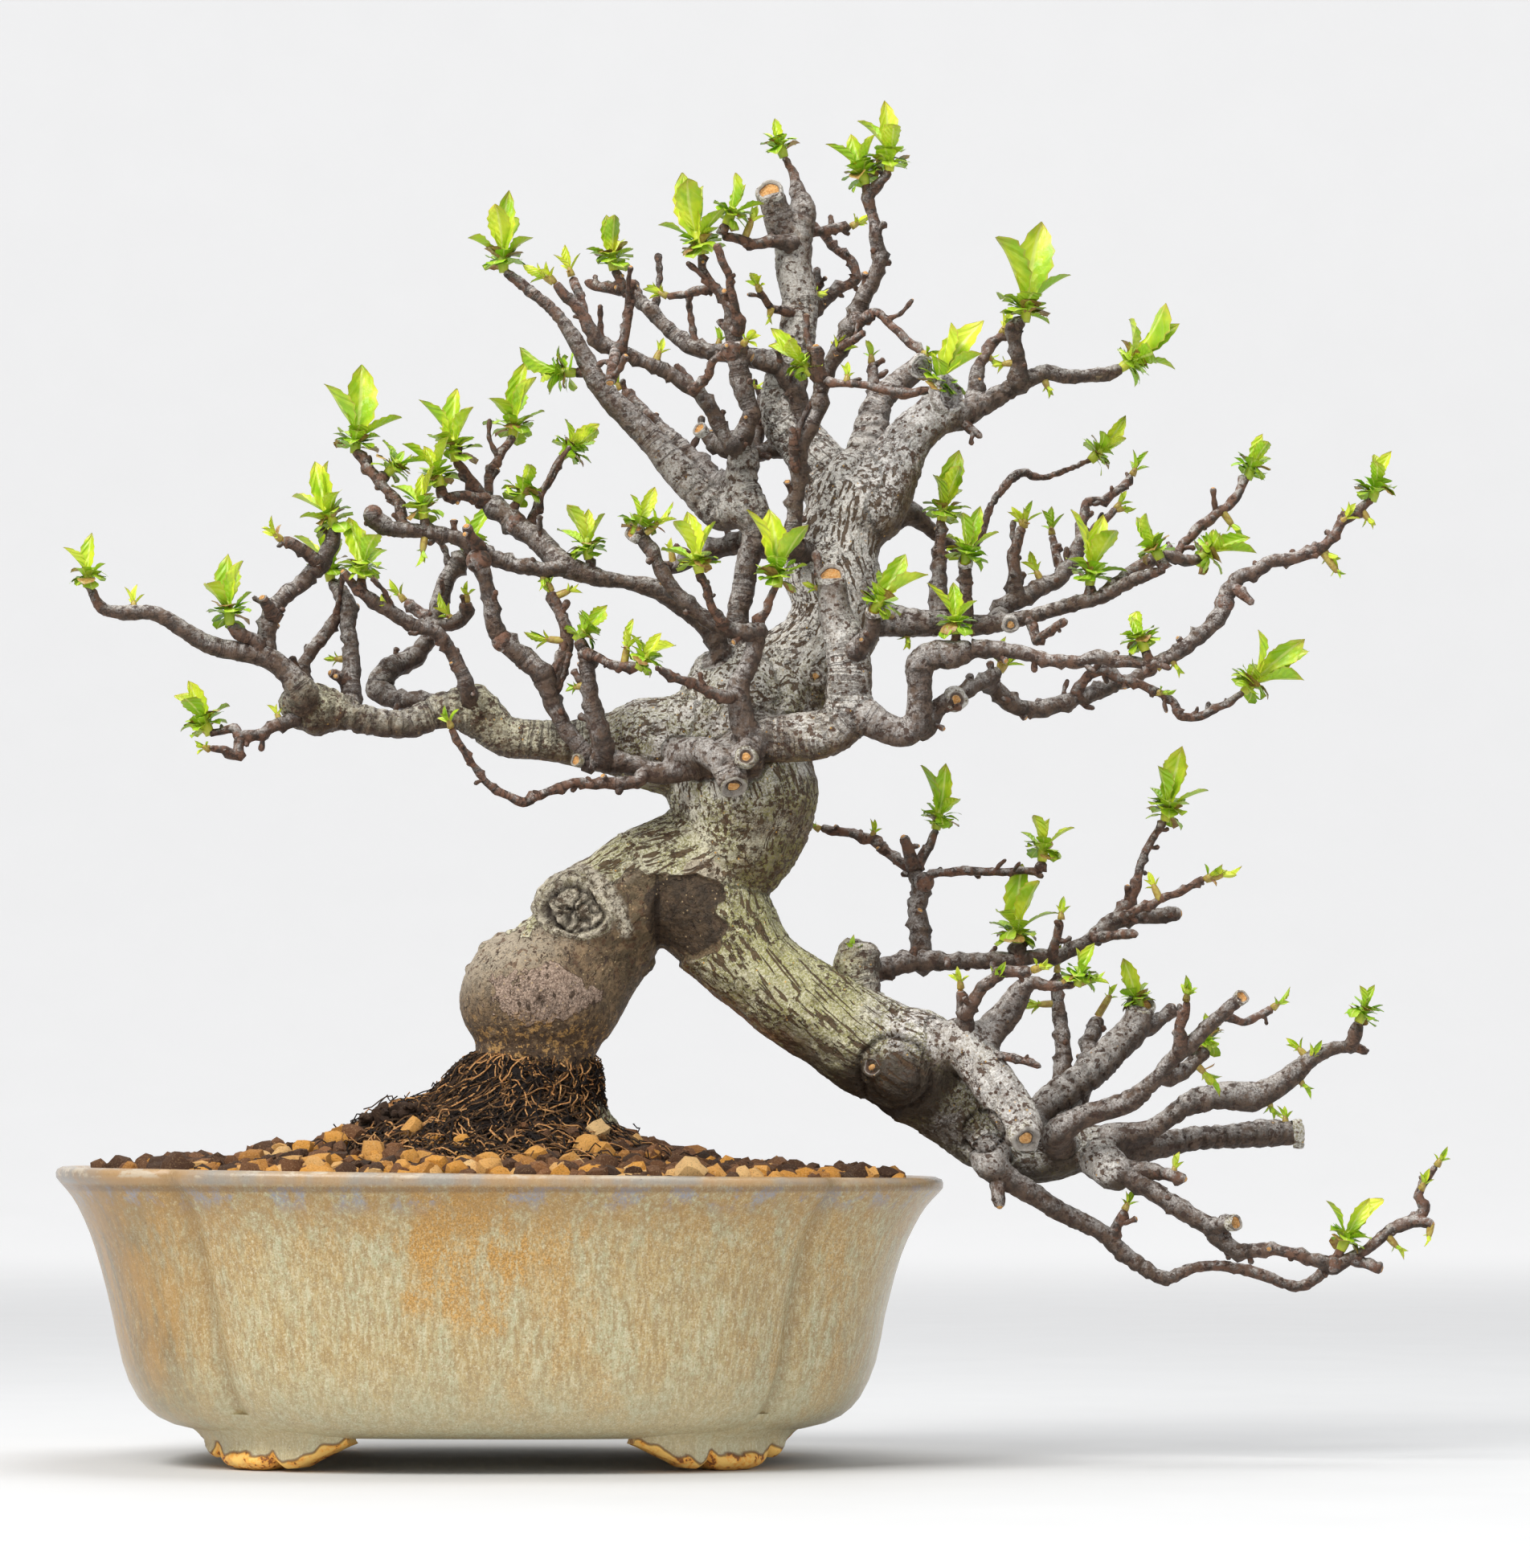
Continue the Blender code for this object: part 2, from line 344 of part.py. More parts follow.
RIGHT = [
    ("right_high", "trunk", [0, 4], [
        (90, 240, 8.5), (97, 249, 6.6), (100, 255, 5.6), (104, 260, 5.2), (108, 263.5, 5.1),
        (110, 268, 4.8)]),
    ("right_high_tip", "right_high", [6, 14], [
        (113, 263, 3.6), (118, 265, 3), (123, 267.5, 2.6), (128, 270.5, 2.4), (132, 272.5, 2.2),
        (136, 274, 2),
        (140, 272.8, 1.8), (146, 273, 1.7), (151, 273.5, 1.8), (154.5, 275, 1.5)]),
    ("high_fork", "right_high_tip", [4], [
        (128.5, 271, 2.4), (128.5, 276, 1.9), (128, 281, 1.8), (127.5, 285, 2), (130.5, 287, 1.4)]),
    ("high_twig", "right_high_tip", [22], [(117.5, 268, 2), (118.5, 274, 1.8), (119.5, 277, 1.4),
                                           (124.5, 283.5, 1)]),
    ("high_stub", "right_high_tip", [2], [(114, 262, 1.2), (119.5, 257.5, 0.9)]),
    ("right_mate", "trunk", [18], [
        (88, 248, 5), (91, 256, 4.2), (92.5, 263, 3.8), (95, 268, 3.2), (100, 272, 3), (104, 275.5, 2.6)]),
    ("mate_spur", "right_mate", [22], [(92.5, 269, 1.6), (92, 276, 1.3)]),
    ("right_back", "trunk", [14, 34], [
        (94, 236, 3.5), (101, 238.5, 3), (106, 235, 2), (112, 230.3, 1.5), (116, 229.5, 1.2),
        (119, 232, 1.2),
        (120.5, 237, 1.1), (122.5, 241.5, 1.1), (126, 246, 1.2), (129.5, 248.8, 1.3), (134, 247.3, 1.1),
        (140, 249, 1), (147, 252, 0.9)]),
    ("front_right", "trunk", [-20, -24, -24], [
        (66, 182, 5), (74, 182.5, 5.5), (81, 183.5, 5.3), (86, 188, 5.2), (86.2, 194, 5.3),
        (86.5, 200, 5.2),
        (85.5, 206, 5), (83, 213, 4), (82, 222, 3.3)]),
    ("front_right_cut", "front_right", [-34], [(88, 204, 2.6), (92, 209, 2), (92.6, 214, 1.8)]),
    ("front_right_stub", "front_right", [-20], [(80, 219, 1.4), (78, 229, 1)]),
    ("jog", "front_right", [-25, -30], [
        (90, 188, 4), (95, 185, 3.4), (100, 183.5, 3.4), (103.3, 186, 3.2), (104, 191, 3), (104, 196, 2.9),
        (103.7, 200.5, 3.2), (107, 203, 3.3), (112, 203, 3.4), (117, 204.5, 2.4)]),
    ("jog_low", "jog", [-16], [(105, 185, 2.6), (109, 190, 2.2), (113, 193, 2.2), (117, 194.5, 1.9),
                               (124, 199, 1.7)]),
    ("right_mid", "trunk", [2, -3, -16], [
        (90, 213, 4.4), (98, 211.5, 3.6), (105, 211, 3.2), (112, 211, 2.9), (118, 210.5, 2.6),
        (124, 211, 2.2),
        (131, 212.5, 1.9), (138, 214.5, 1.8), (143, 216, 2), (149, 217.5, 1.8), (153, 219.5, 1.7),
        (158, 222, 1.8), (165.5, 224.5, 1.2)]),
    ("mid_up", "right_mid", [4], [(109, 213, 2.3), (108.5, 221, 1.9), (109.5, 237, 1)]),
    ("mid_up_cut", "right_mid", [-10], [(115, 212, 1.9), (115.5, 217, 1.6), (115.3, 226, 1.6)]),
    ("mid_red_stub", "right_mid", [-18], [(133, 206.5, 1.2), (136.5, 209.5, 1.1), (140.5, 211.5, 1.1)]),
    ("mid_back", "right_mid", [6, 26], [
        (124, 213, 2.4), (127, 216, 2.4), (132, 218.5, 2.2), (138, 221.5, 2), (142, 226, 1.8),
        (144, 232, 1.4),
        (145.5, 241, 1.1), (150, 242, 1), (154, 244.5, 1), (157, 248, 0.9)]),
    ("mid_back_twig", "mid_back", [30], [(144, 229, 1.3), (147, 234, 1), (153, 239.5, 0.9)]),
    ("mid_back_up", "mid_back", [8], [(128, 217, 1.8), (127.5, 228, 1.4), (130, 235, 1.1)]),
    ("mid_back_rise", "mid_back", [24], [(139, 224, 1.3), (137, 233, 1)]),
    ("mid_tip", "right_mid", [-10, 2], [
        (150, 218, 1.6), (155, 222.5, 1.5), (160, 226, 1.5), (165, 228, 1.7), (170, 226.5, 1.5),
        (174, 227.5, 1.2)]),
    ("mid_tip_rise", "mid_tip", [12], [
        (168, 228, 1.4), (171, 232, 1.1), (175, 236, 1.3), (180, 239.5, 1.2), (184, 244, 1.1),
        (186, 247.5, 1)]),
    ("far_right", "jog", [-30, -38, -32], [
        (118, 205, 2.4), (124, 204.5, 2), (131, 203, 1.7), (137, 201.5, 1.5), (143, 201.5, 1.6),
        (148, 202.5, 1.8),
        (153, 201.5, 1.6), (161, 201, 1.4), (166, 202.5, 1.7), (171, 205.5, 1.9), (176, 210, 2),
        (179.5, 214, 2.1),
        (180.5, 218, 1.9), (183, 222, 1.8), (187, 223.5, 1.7), (191, 226, 1.7), (196, 227, 1.6),
        (204, 229.5, 1.4),
        (206.5, 232, 1.2), (209, 236, 1.2), (212, 238, 1.3), (217, 242, 1)]),
    ("far_stub", "far_right", [-40], [(183, 219.5, 1.2), (187, 215.5, 1)]),
    ("low_right", "jog_low", [-6, 18], [
        (122, 195, 2), (127, 190.5, 2.2), (134, 189.5, 2.2), (141, 191.5, 2.1), (148, 193.8, 2),
        (154, 196, 1.8),
        (163, 199.5, 1.2)]),
    ("low_right_twig", "low_right", [4], [
        (143, 194, 1.4), (146, 198, 1.2), (150, 199, 1.2), (154, 197, 1.2), (159, 195.5, 1),
        (163, 193.5, 1),
        (167, 191, 1), (169, 188, 1.2), (173, 187.5, 1.1), (177, 189, 1), (185, 194, 0.9)]),
]

CASCADE = [
    ("cascade", "trunk", [0, -4, -2, 2, 3], [
        (50, 142, 13.5), (56, 133, 11.8), (63, 125, 10.8), (73, 117, 11), (84, 110, 11.2), (95, 104, 12),
        (103, 100.5, 12), (110, 94, 10.5), (115, 87.5, 8.6), (121, 82, 7.3), (128, 79, 6.4), (136, 79, 6.2),
        (143, 80.5, 5.8), (150, 80.5, 4.6)]),
    ("cut_limb", "cascade", [-12, -20], [
        (113, 107, 5), (118, 102, 5.2), (123, 95, 5.3), (128, 88, 5.2), (130.5, 82.5, 4.4)]),
    ("cut_limb_spur", "cut_limb", [-18], [(116, 104, 2), (115.5, 108, 2), (115, 113, 2), (114, 120, 1.2)]),
    ("cut_limb_twig", "cut_limb_spur", [-26], [(115.5, 114, 1.6), (117.5, 118, 1.5), (124, 123.5, 1.6),
                                               (132, 124.5, 1.3)]),
    ("cut_limb_rise", "cut_limb", [-12], [
        (118, 105, 4), (122, 110, 3.6), (126, 114.5, 3.4), (128.5, 119, 2.8), (131, 121.5, 1.8),
        (136, 120.5, 1.3),
        (143, 121, 1.2)]),
    ("knob", "cascade", [-1], [(90, 117, 3.8), (88, 125, 4.6), (87.5, 131, 3.6)]),
    ("upper_arm", "knob", [2, 12], [
        (92, 124.5, 2.8), (100, 126, 2.5), (106, 127, 2.6), (112, 126.5, 2), (118, 126.8, 2),
        (124, 127, 1.9),
        (130, 127.5, 1.9), (137, 128, 1.8), (142, 129.5, 1.8), (147, 132.5, 2), (151, 135.5, 2.3),
        (156, 137.5, 2),
        (163, 138, 1.9), (169, 138.5, 1.8)]),
    ("arm_riser", "upper_arm", [14], [(104.5, 128, 2.2), (104, 133, 2.3), (103.5, 140, 2.2), (104, 145, 2),
                                      (102.5, 149.5, 2.2)]),
    ("arm_left", "arm_riser", [26], [
        (102.5, 149.5, 1.4), (99, 151.5, 1.2), (95, 154.5, 1.2), (92, 157, 1.2), (87, 158.3, 1.2),
        (79, 159.5, 1)]),
    ("arm_stub", "arm_riser", [12], [(102, 149.5, 1.5), (99.5, 158, 1.3)]),
    ("arm_tip", "arm_riser", [18], [(103, 150, 1.4), (106, 155, 1), (108, 160, 0.9)]),
    ("arm_side", "arm_riser", [4], [(104.5, 146, 1.1), (108, 148.5, 1), (120, 149, 1), (134, 149, 0.9)]),
    ("arm_up", "upper_arm", [22], [(151, 136, 1.5), (156, 141.5, 1.3), (158, 147, 1.1), (159.5, 153, 1),
                                   (165, 162, 0.9)]),
    ("arm_far", "upper_arm", [2], [(155, 138, 1.2), (165, 142.5, 1), (175, 147, 0.9)]),
    ("arm_twig", "upper_arm", [2], [(137, 129.5, 1.2), (139, 137, 0.9)]),
    ("arm_spur", "upper_arm", [0], [(148, 132.5, 1.4), (158, 133.5, 1)]),
    ("arm_stump", "upper_arm", [6], [(128, 127, 2), (128, 131.5, 1.9)]),
    ("pole_a", "cascade", [16], [(139, 86, 2.4), (139, 97, 2.2), (139.5, 105, 1.9), (138.5, 113, 1.8),
                                 (138, 124, 1.1)]),
    ("pole_b", "cascade", [22], [(143, 88, 2.4), (144.5, 98, 2.2), (146.5, 107, 2), (148, 113, 2.2)]),
    ("fan_a", "cascade", [4, 14], [
        (130, 84, 4), (134, 90, 3.5), (139, 94, 4), (146, 99, 3.8), (152, 105, 3.8), (157, 110, 3.6),
        (158.5, 115, 3.2)]),
    ("fan_a_tip", "fan_a", [20], [(161, 110.5, 2), (164, 112.5, 1.8), (167, 116, 1.5)]),
    ("fan_b", "cascade", [-9, -26], [
        (138, 84, 3.4), (144, 88, 2.8), (150, 90, 2.6), (156, 92, 2.6), (163, 98, 2), (166, 102, 2),
        (171, 106, 2),
        (176, 111, 1.9), (183.5, 117.5, 1.6)]),
    ("fan_b_tip", "fan_b", [-18], [(180, 113, 1.2), (184, 111.5, 1), (191.5, 115, 1)]),
    ("fan_b_up", "fan_b", [-26], [(168.5, 105, 1.6), (168.5, 110, 1.4), (170, 117, 1)]),
    ("fan_b_side", "fan_b", [-12], [(165, 98, 1.8), (169, 99, 1.9), (175, 105, 1.6)]),
    ("tail", "cascade", [1, 8], [
        (151, 83, 3.2), (160, 84.5, 2.6), (165, 87.5, 2.4), (172, 92, 3), (180, 93.5, 3.4), (186, 93, 3.2),
        (192, 95.5, 2.8), (197, 99, 2.5), (201, 102.5, 2.1), (206, 105, 1.8), (211, 105.5, 1.6),
        (215.5, 104, 1)]),
    ("tail_twig", "tail", [4], [(211, 106, 1.6), (213, 112, 1.4)]),
    ("tail_mate", "cascade", [5, 20], [
        (152, 79, 3.6), (159, 80.5, 3.3), (165, 81.5, 3.1), (171, 82.5, 2.9), (178, 83, 2.8),
        (184, 83.5, 3),
        (190, 84, 3.3), (197, 84, 2.8)]),
    ("burl", "cascade", [-6], [(148, 78, 4.4), (152, 74.5, 4.6)]),
    ("burl_stub", "burl", [-12], [(158, 75, 2.2), (164, 74, 1.6), (170, 72.5, 1.2)]),
    ("low_tail", "burl", [-8, -18, -12], [
        (155, 74, 2.8), (160, 71, 2.2), (165, 67, 2.3), (171, 63.5, 2.3), (176, 60.5, 2.3), (179, 57, 2.2),
        (183, 55, 1.8), (190, 55.3, 1.6), (197, 54, 1.4), (206, 51.5, 2), (212, 54, 1.4), (217, 57, 1.3),
        (221, 60.5, 1.5), (226, 62.5, 1.6), (228.5, 65, 1.3), (227.5, 69, 1), (229.5, 73, 0.9),
        (232, 76, 0.9)]),
    ("low_tail_cut", "low_tail", [-20], [(177, 61, 1.9), (181.5, 61.8, 1.8)]),
    ("low_tail_side", "low_tail", [-16], [(226, 62, 1.3), (231.5, 61.5, 1.2)]),
    ("low_tail_tip", "low_tail", [-18], [(210, 52.5, 1.4), (218.5, 50, 1.2)]),
    ("under_tail", "cascade", [-8, -2, -6], [
        (121, 77, 4), (125, 73, 3), (131, 69.5, 2.6), (137, 65.5, 2.4), (143, 62.5, 2.3), (149, 59.5, 2.2),
        (154, 54.5, 2.2), (159, 51, 2), (164.5, 48, 1.8), (171, 50.5, 1.5), (177, 51.3, 1.4),
        (183, 50.5, 1.5),
        (190, 48.5, 1.5), (198, 46, 1.5), (205, 50.5, 1.6)]),
    ("under_stub", "under_tail", [-12], [(123.3, 72, 1.8), (123.5, 65.5, 1.4)]),
    ("under_spur", "under_tail", [-6], [(151.5, 58, 1.4), (154.5, 65, 1)]),
    ("dry_twig", "cut_limb", [-20], [(123, 103, 1.2), (130, 102, 0.9), (134, 100.5, 0.9)]),
]

BRANCHES = TRUNK + LEFT + CROWN + RIGHT + CASCADE

# Each shoot of young leaves is its branch, its base (x, z), the place its longest leaf points to, its size.
SHOOTS = [
    ("left_tip", (-104, 221), (-104, 234), 10), ("left_tip_spur", (-68, 211.5), (-69.5, 229), 17),
    ("left_rise", (-42, 235.5), (-49, 252), 18), ("left_sweep", (-33, 222), (-31, 240), 14),
    ("left_up", (-44, 223), (-46, 240), 13), ("left_low_twig", (-74, 184), (-79, 197), 13),
    ("mid_low_top", (-37, 254.5), (-34, 277), 19), ("mid_low_top", (-31, 246), (-24, 254), 11),
    ("mid_low", (-19, 235), (-21, 249), 13), ("mid_tip_c", (-15.5, 242.5), (-19, 256), 14),
    ("mid_tip_a", (-12, 252.5), (-13, 271), 18), ("mid_tip_b", (3, 258.5), (4, 277), 17),
    ("mid_high", (2, 238), (8, 250), 11), ("mid_tip_d", (15, 253.5), (24, 262), 13),
    ("mid_arm", (22, 223), (20, 240), 15), ("front_arm", (33, 234), (38, 246), 11),
    ("front_arm_twig", (49, 224.5), (46, 240), 15), ("front_tip", (69, 221), (69.5, 240), 17),
    ("riser_c", (34.5, 200), (40, 209), 11), ("riser_a", (18.5, 207.5), (26, 216), 11),
    ("crown_main", (-0.5, 300), (-2, 320), 18), ("spray_spur", (27.5, 300.5), (26, 314), 14),
    ("crown_main", (22, 273.5), (8, 274), 14), ("top_left", (49.5, 304.5), (44, 325), 19),
    ("top_side", (54, 309), (60, 322), 12), ("apex", (70, 329), (67, 338), 8),
    ("crown_right", (90.5, 318.5), (86, 334), 13), ("crown_right", (96.5, 325.5), (96.5, 343), 16),
    ("front_wand", (76, 271), (65, 284), 14), ("wand_side", (107.5, 270), (118, 289), 17),
    ("high_fork", (130.5, 287.5), (132.5, 313), 24), ("right_high_tip", (155, 275.5), (170, 286), 18),
    ("right_back", (147.5, 252.5), (157, 262), 11), ("mid_up", (109.5, 237.5), (112.5, 255), 16),
    ("front_right_cut", (92.8, 214.5), (101, 229), 14), ("mid_up_cut", (115.3, 226.5), (118, 241), 14),
    ("right_mid", (146, 217), (148, 239), 19), ("mid_tip", (174.5, 227.5), (186, 234), 13),
    ("mid_tip_rise", (186, 248), (190, 259), 11), ("low_right_twig", (185.5, 194.5), (199, 209), 18),
    ("far_right", (217.5, 242.5), (221, 255), 12), ("right_mid", (165.5, 225), (158, 238), 11),
    ("jog", (112, 206.5), (112, 222), 12), ("arm_tip", (108.3, 160.5), (112, 176), 14),
    ("arm_stump", (128, 132), (128, 152), 19), ("arm_side", (134.5, 149.5), (136, 163), 12),
    ("arm_up", (165.3, 162.5), (169, 181), 18), ("cut_limb_rise", (143.5, 121.5), (147, 132), 10),
    ("fan_a", (158.5, 115.5), (155, 128), 11), ("fan_b_side", (175.3, 105.5), (176, 114), 9),
    ("low_tail", (206, 53), (213.5, 69.5), 15), ("left_back", (-9.5, 229), (-4, 243), 10),
    ("far_right", (161, 202), (157, 213), 10), ("tail_twig", (213.2, 112.5), (217, 121), 9),
]

# The draw that sets a shoot's leaves clear of the wood, where it isn't the first
SHOOT_SEEDS = {10: 7, 11: 3, 28: 10, 49: 2}

# Single opening buds on the wood, each a branch, its seen place and its size
BUDS = [
    ("left_tip", (-92, 216), 6), ("left_rise_twig", (-56, 232.5), 7), ("left_low", (-73.5, 180), 5),
    ("left_up", (-41.5, 202), 5), ("left_back_spur", (-25, 217), 6), ("left_back_twig", (-9, 217), 6),
    ("riser_b", (12, 219.5), 6), ("hanging_twig", (-13, 185.5), 6),
    ("crown_arch", (12.5, 297), 6), ("arch_tip", (17, 298.5), 7), ("crown_back", (29, 270), 6),
    ("arch_twig", (60.5, 281.5), 6), ("top_left_low", (40.5, 293.5), 6), ("apex_spur", (64, 295), 6),
    ("apex_side", (87.5, 311), 6), ("high_twig", (125, 284), 7), ("mate_spur", (92, 276.5), 6),
    ("mid_back", (157.5, 248.5), 7), ("mid_back_twig", (153.5, 240), 6), ("mid_back_up", (130.3, 235.5), 7),
    ("mid_back_rise", (137, 233.5), 7), ("jog_low", (124.5, 199.5), 7), ("low_right", (163.5, 200), 6),
    ("cut_limb_twig", (132.5, 125), 6), ("cut_limb_spur", (114, 120.5), 6), ("arm_far", (175.5, 147.5), 7),
    ("arm_left", (78.5, 160), 6), ("fan_b_up", (170, 117.5), 6), ("fan_b_tip", (192, 115.5), 6),
    ("low_tail", (232.5, 76.5), 5), ("tail", (199, 101), 6), ("crown_fall", (105.3, 278), 6),
    ("pole_a", (138, 124.5), 6), ("far_right", (209, 236), 6),
]


def set_back(x, z, depth):
    """The place at this depth that is seen at (x, z) of the plane y = 0."""
    scale = 1 + depth / -EYE.y
    return Vector((EYE.x + (x - EYE.x) * scale, depth, EYE.z + (z - EYE.z) * scale))


def spread(stops, share):
    """The value at this share of the way along evenly spaced stops."""
    place = share * (len(stops) - 1)
    before = min(int(place), len(stops) - 2)
    return stops[before] + (stops[before + 1] - stops[before]) * (place - before)


def nearest_on(stations, x, z):
    """The point, radius and direction on a branch that are seen nearest to (x, z)."""
    best = None
    for (a, ra), (b, rb) in zip(stations, stations[1:]):
        scale_a, scale_b = 1 + a.y / -EYE.y, 1 + b.y / -EYE.y
        ax, az = EYE.x + (a.x - EYE.x) / scale_a, EYE.z + (a.z - EYE.z) / scale_a
        bx, bz = EYE.x + (b.x - EYE.x) / scale_b, EYE.z + (b.z - EYE.z) / scale_b
        run = (bx - ax) ** 2 + (bz - az) ** 2
        share = 0 if run == 0 else ((x - ax) * (bx - ax) + (z - az) * (bz - az)) / run
        share = min(1, max(0, share))
        away = math.hypot(ax + (bx - ax) * share - x, az + (bz - az) * share - z)
        if best is None or away < best[0]:
            best = (away, a.lerp(b, share), ra + (rb - ra) * share, (b - a).normalized())
    return best[1:]


def grow(branches):
    """Each branch's stations in space, by name. A branch starts on the middle line of its parent."""
    grown = {}
    for name, parent, depths, seen in branches:
        stops = list(depths)
        stations = []
        if parent:
            root, root_r, _ = nearest_on(grown[parent], *seen[0][:2])
            if len(stops) == 1:
                stops = [root.y + (stops[0] - root.y) * 0.35] + stops
            stations.append((root, min(seen[0][2] * 1.05, root_r * 0.85)))
        lengths = [0]
        for (xa, za, _), (xb, zb, _) in zip(seen, seen[1:]):
            lengths.append(lengths[-1] + math.hypot(xb - xa, zb - za))
        for (x, z, r), length in zip(seen, lengths):
            depth = spread(stops, length / max(lengths[-1], 0.001))
            point = set_back(x, z, depth)
            if stations and (point - stations[-1][0]).length < 1.2:
                continue
            stations.append((point, r * (1 + depth / -EYE.y)))
        grown[name] = stations
    return grown


def thinned(stations):
    """Leaves out the stations that lie within the slack of the line through the ones kept."""
    if len(stations) < 3:
        return stations
    (a, ra), (b, rb) = stations[0], stations[-1]
    worst, at = 0, None
    for i, (point, radius) in enumerate(stations[1:-1], 1):
        share = min(1, max(0, (point - a).dot(b - a) / max((b - a).length_squared, 1e-9)))
        off = (point - a.lerp(b, share)).length + abs(radius - ra - (rb - ra) * share) * 0.5
        if off > worst:
            worst, at = off, i
    if worst < SLACK + 0.02 * max(ra, rb):
        return [stations[0], stations[-1]]
    return thinned(stations[:at + 1])[:-1] + thinned(stations[at:])


def sides_for(radius):
    """How many sides a branch of this radius has."""
    for least, sides in ((12, 12), (7, 9), (4.2, 7), (2.6, 5), (1.4, 4)):
        if radius > least:
            return sides
    return TWIG_SIDES


def leaf_solid(name, base, along, face, length, width, thick=0.8):
    """A folded, arched blade with a pointed tip, as a closed solid."""
    across = along.cross(face).normalized()
    face = across.cross(along).normalized()
    half_outline = [(0.09, 0.05), (0.42, 0.44), (0.74, 0.36)] if length > 17 else [(0.1, 0.06),
        (0.55, 0.46)]
    outline = [(run, half) for run, half in half_outline] + [(1, 0)]
    outline += [(run, -half) for run, half in reversed(half_outline)]
    points = []
    for run, half in outline + [(0.5, 0)]:
        drop = 0.30 * length * run * run - 0.6 * abs(half) * width
        points.append(base + along * length * (run - 0.12 * run * run) - face * drop + across * half * width)
    size = len(points)
    rib = size - 1
    points += [p - face * thick for p in points]
    faces = []
    for a in range(rib):
        b = (a + 1) % rib
        faces.append((a, b, rib))
        faces.append((b + size, a + size, rib + size))
        faces.append((a, a + size, b + size, b))
    return add_object(name, points, faces)


class Clearance:
    """Tells how far a point is from the wood, from its stations."""

    def __init__(self, grown):
        starts, ends, start_r, end_r = [], [], [], []
        for stations in grown.values():
            for (a, ra), (b, rb) in zip(stations, stations[1:]):
                starts.append(a)
                ends.append(b)
                start_r.append(ra)
                end_r.append(rb)
        self.starts, self.ends = np.array(starts), np.array(ends)
        self.start_r, self.end_r = np.array(start_r), np.array(end_r)
        self.leaves = []

    def wood(self, point):
        """The distance from this point to the nearest bark."""
        run = self.ends - self.starts
        share = ((np.array(point) - self.starts) * run).sum(axis=1) / (run * run).sum(axis=1)
        share = np.clip(share, 0, 1)
        near = self.starts + run * share[:, None]
        away = np.linalg.norm(np.array(point) - near, axis=1)
        return float((away - self.start_r - (self.end_r - self.start_r) * share).min())

    def others(self, point):
        """The distance from this point to the nearest leaf that is already there."""
        if not self.leaves:
            return 1000.0
        return float(np.linalg.norm(np.array(self.leaves) - np.array(point), axis=1).min())


def leaf_places(axis, size, rng):
    """The leaves of one shoot as (direction, face, length, width), the young inner ones steeper."""
    count = 2 if size < 11 else 3 if size < 17 else 4
    turn = rng.uniform(0, 2 * math.pi)
    side = axis.orthogonal().normalized()
    places = []
    for i in range(count):
        lean = math.radians(12 if i == 0 else 38 + 9 * (i % 3))
        angle = turn + i * 2.4
        out = side * math.cos(angle) + axis.cross(side) * math.sin(angle)
        along = axis * math.cos(lean) + out * math.sin(lean)
        length = size * (1.0 if i == 0 else rng.uniform(0.68, 0.88))
        width = length * (0.27 if i == 0 else 0.42)
        places.append((along.normalized(), axis * math.sin(lean) - out * math.cos(lean), length, width))
    return places


def clear_leaf(base, along, face, length, width, clearance, rng):
    """Turns a leaf about its shoot until it is clear of wood and of other shoots. None if it can't be."""
    axis = along
    for attempt in range(40):
        samples = []
        across = along.cross(face).normalized()
        for share in (0.35, 0.6, 0.8, 1.0):
            arch = base + along * length * (share - 0.12 * share ** 2) - face * 0.30 * length * share ** 2
            half = width * 0.5 * (1 - share) if share == 1 else width * 0.5
            samples += [arch, arch + across * half, arch - across * half]
        start = base + along * length * 0.2
        clear = clearance.wood(start) > 0.9 and clearance.wood(base + along * length * 0.1) > 0.6
        if clear and all(clearance.wood(p) > 2.0 and clearance.others(p) > 3.8 for p in samples):
            return along, face, samples
        turn = rng.uniform(-0.9, 0.9)
        swing = Matrix.Rotation(turn, 3, Vector((rng.gauss(0, 1), rng.gauss(0, 1), rng.gauss(0, 1))))
        along, face = (swing @ axis).normalized(), (swing @ face).normalized()
        face = (face - along * face.dot(along)).normalized()
        length *= 0.98
    return None


def shoot_seat(grown, clearance, branch, seen, tip):
    """Where a shoot stands: the spur that carries it, its end, its direction there, its axis, its radius.

    A shoot at a twig's end needs no spur. One that would meet other wood leans forwards or back until clear.
    """
    stations = grown[branch]
    carrier, radius, run = nearest_on(stations, *seen)
    last, last_r = stations[-1]
    at_tip = (carrier - last).length < 2.5
    if at_tip:
        carrier, radius = last, last_r
        run = (last - stations[-2][0]).normalized()
    straight = (set_back(*tip, carrier.y) - set_back(*seen, carrier.y)).normalized()
    reach = max((set_back(*seen, carrier.y) - carrier).dot(straight), radius + 2.2)
    for lean in SHOOT_LEANS + (0,):
        axis = (straight + Vector((0, lean, 0))).normalized()
        end = last if at_tip and run.dot(axis) > 0.2 else carrier + axis * reach
        foot_r = last_r if end is last else BUD_R
        if all(clearance.wood(end + axis * ahead) > min(2.2, ahead - foot_r - 0.6) for ahead in (3, 5, 8)):
            break
    if end is last:
        return None, last, run, axis, last_r
    return [(carrier, BUD_R), (end, BUD_R)], end, axis, axis, BUD_R


def build_shoots(grown, clearance, leaf_mat):
    """The leaf clusters, each one body on its twig, and the spurs that carry them."""
    spurs = []
    for number, (branch, seen, tip, size) in enumerate(SHOOTS, 1):
        spur, end, run, axis, radius = shoot_seat(grown, clearance, branch, seen, tip)
        if spur:
            spurs.append(spur)
        build_shoot(number, end, run, axis, radius, size, clearance, SHOOT_SEEDS.get(number, 1), leaf_mat)
    return spurs


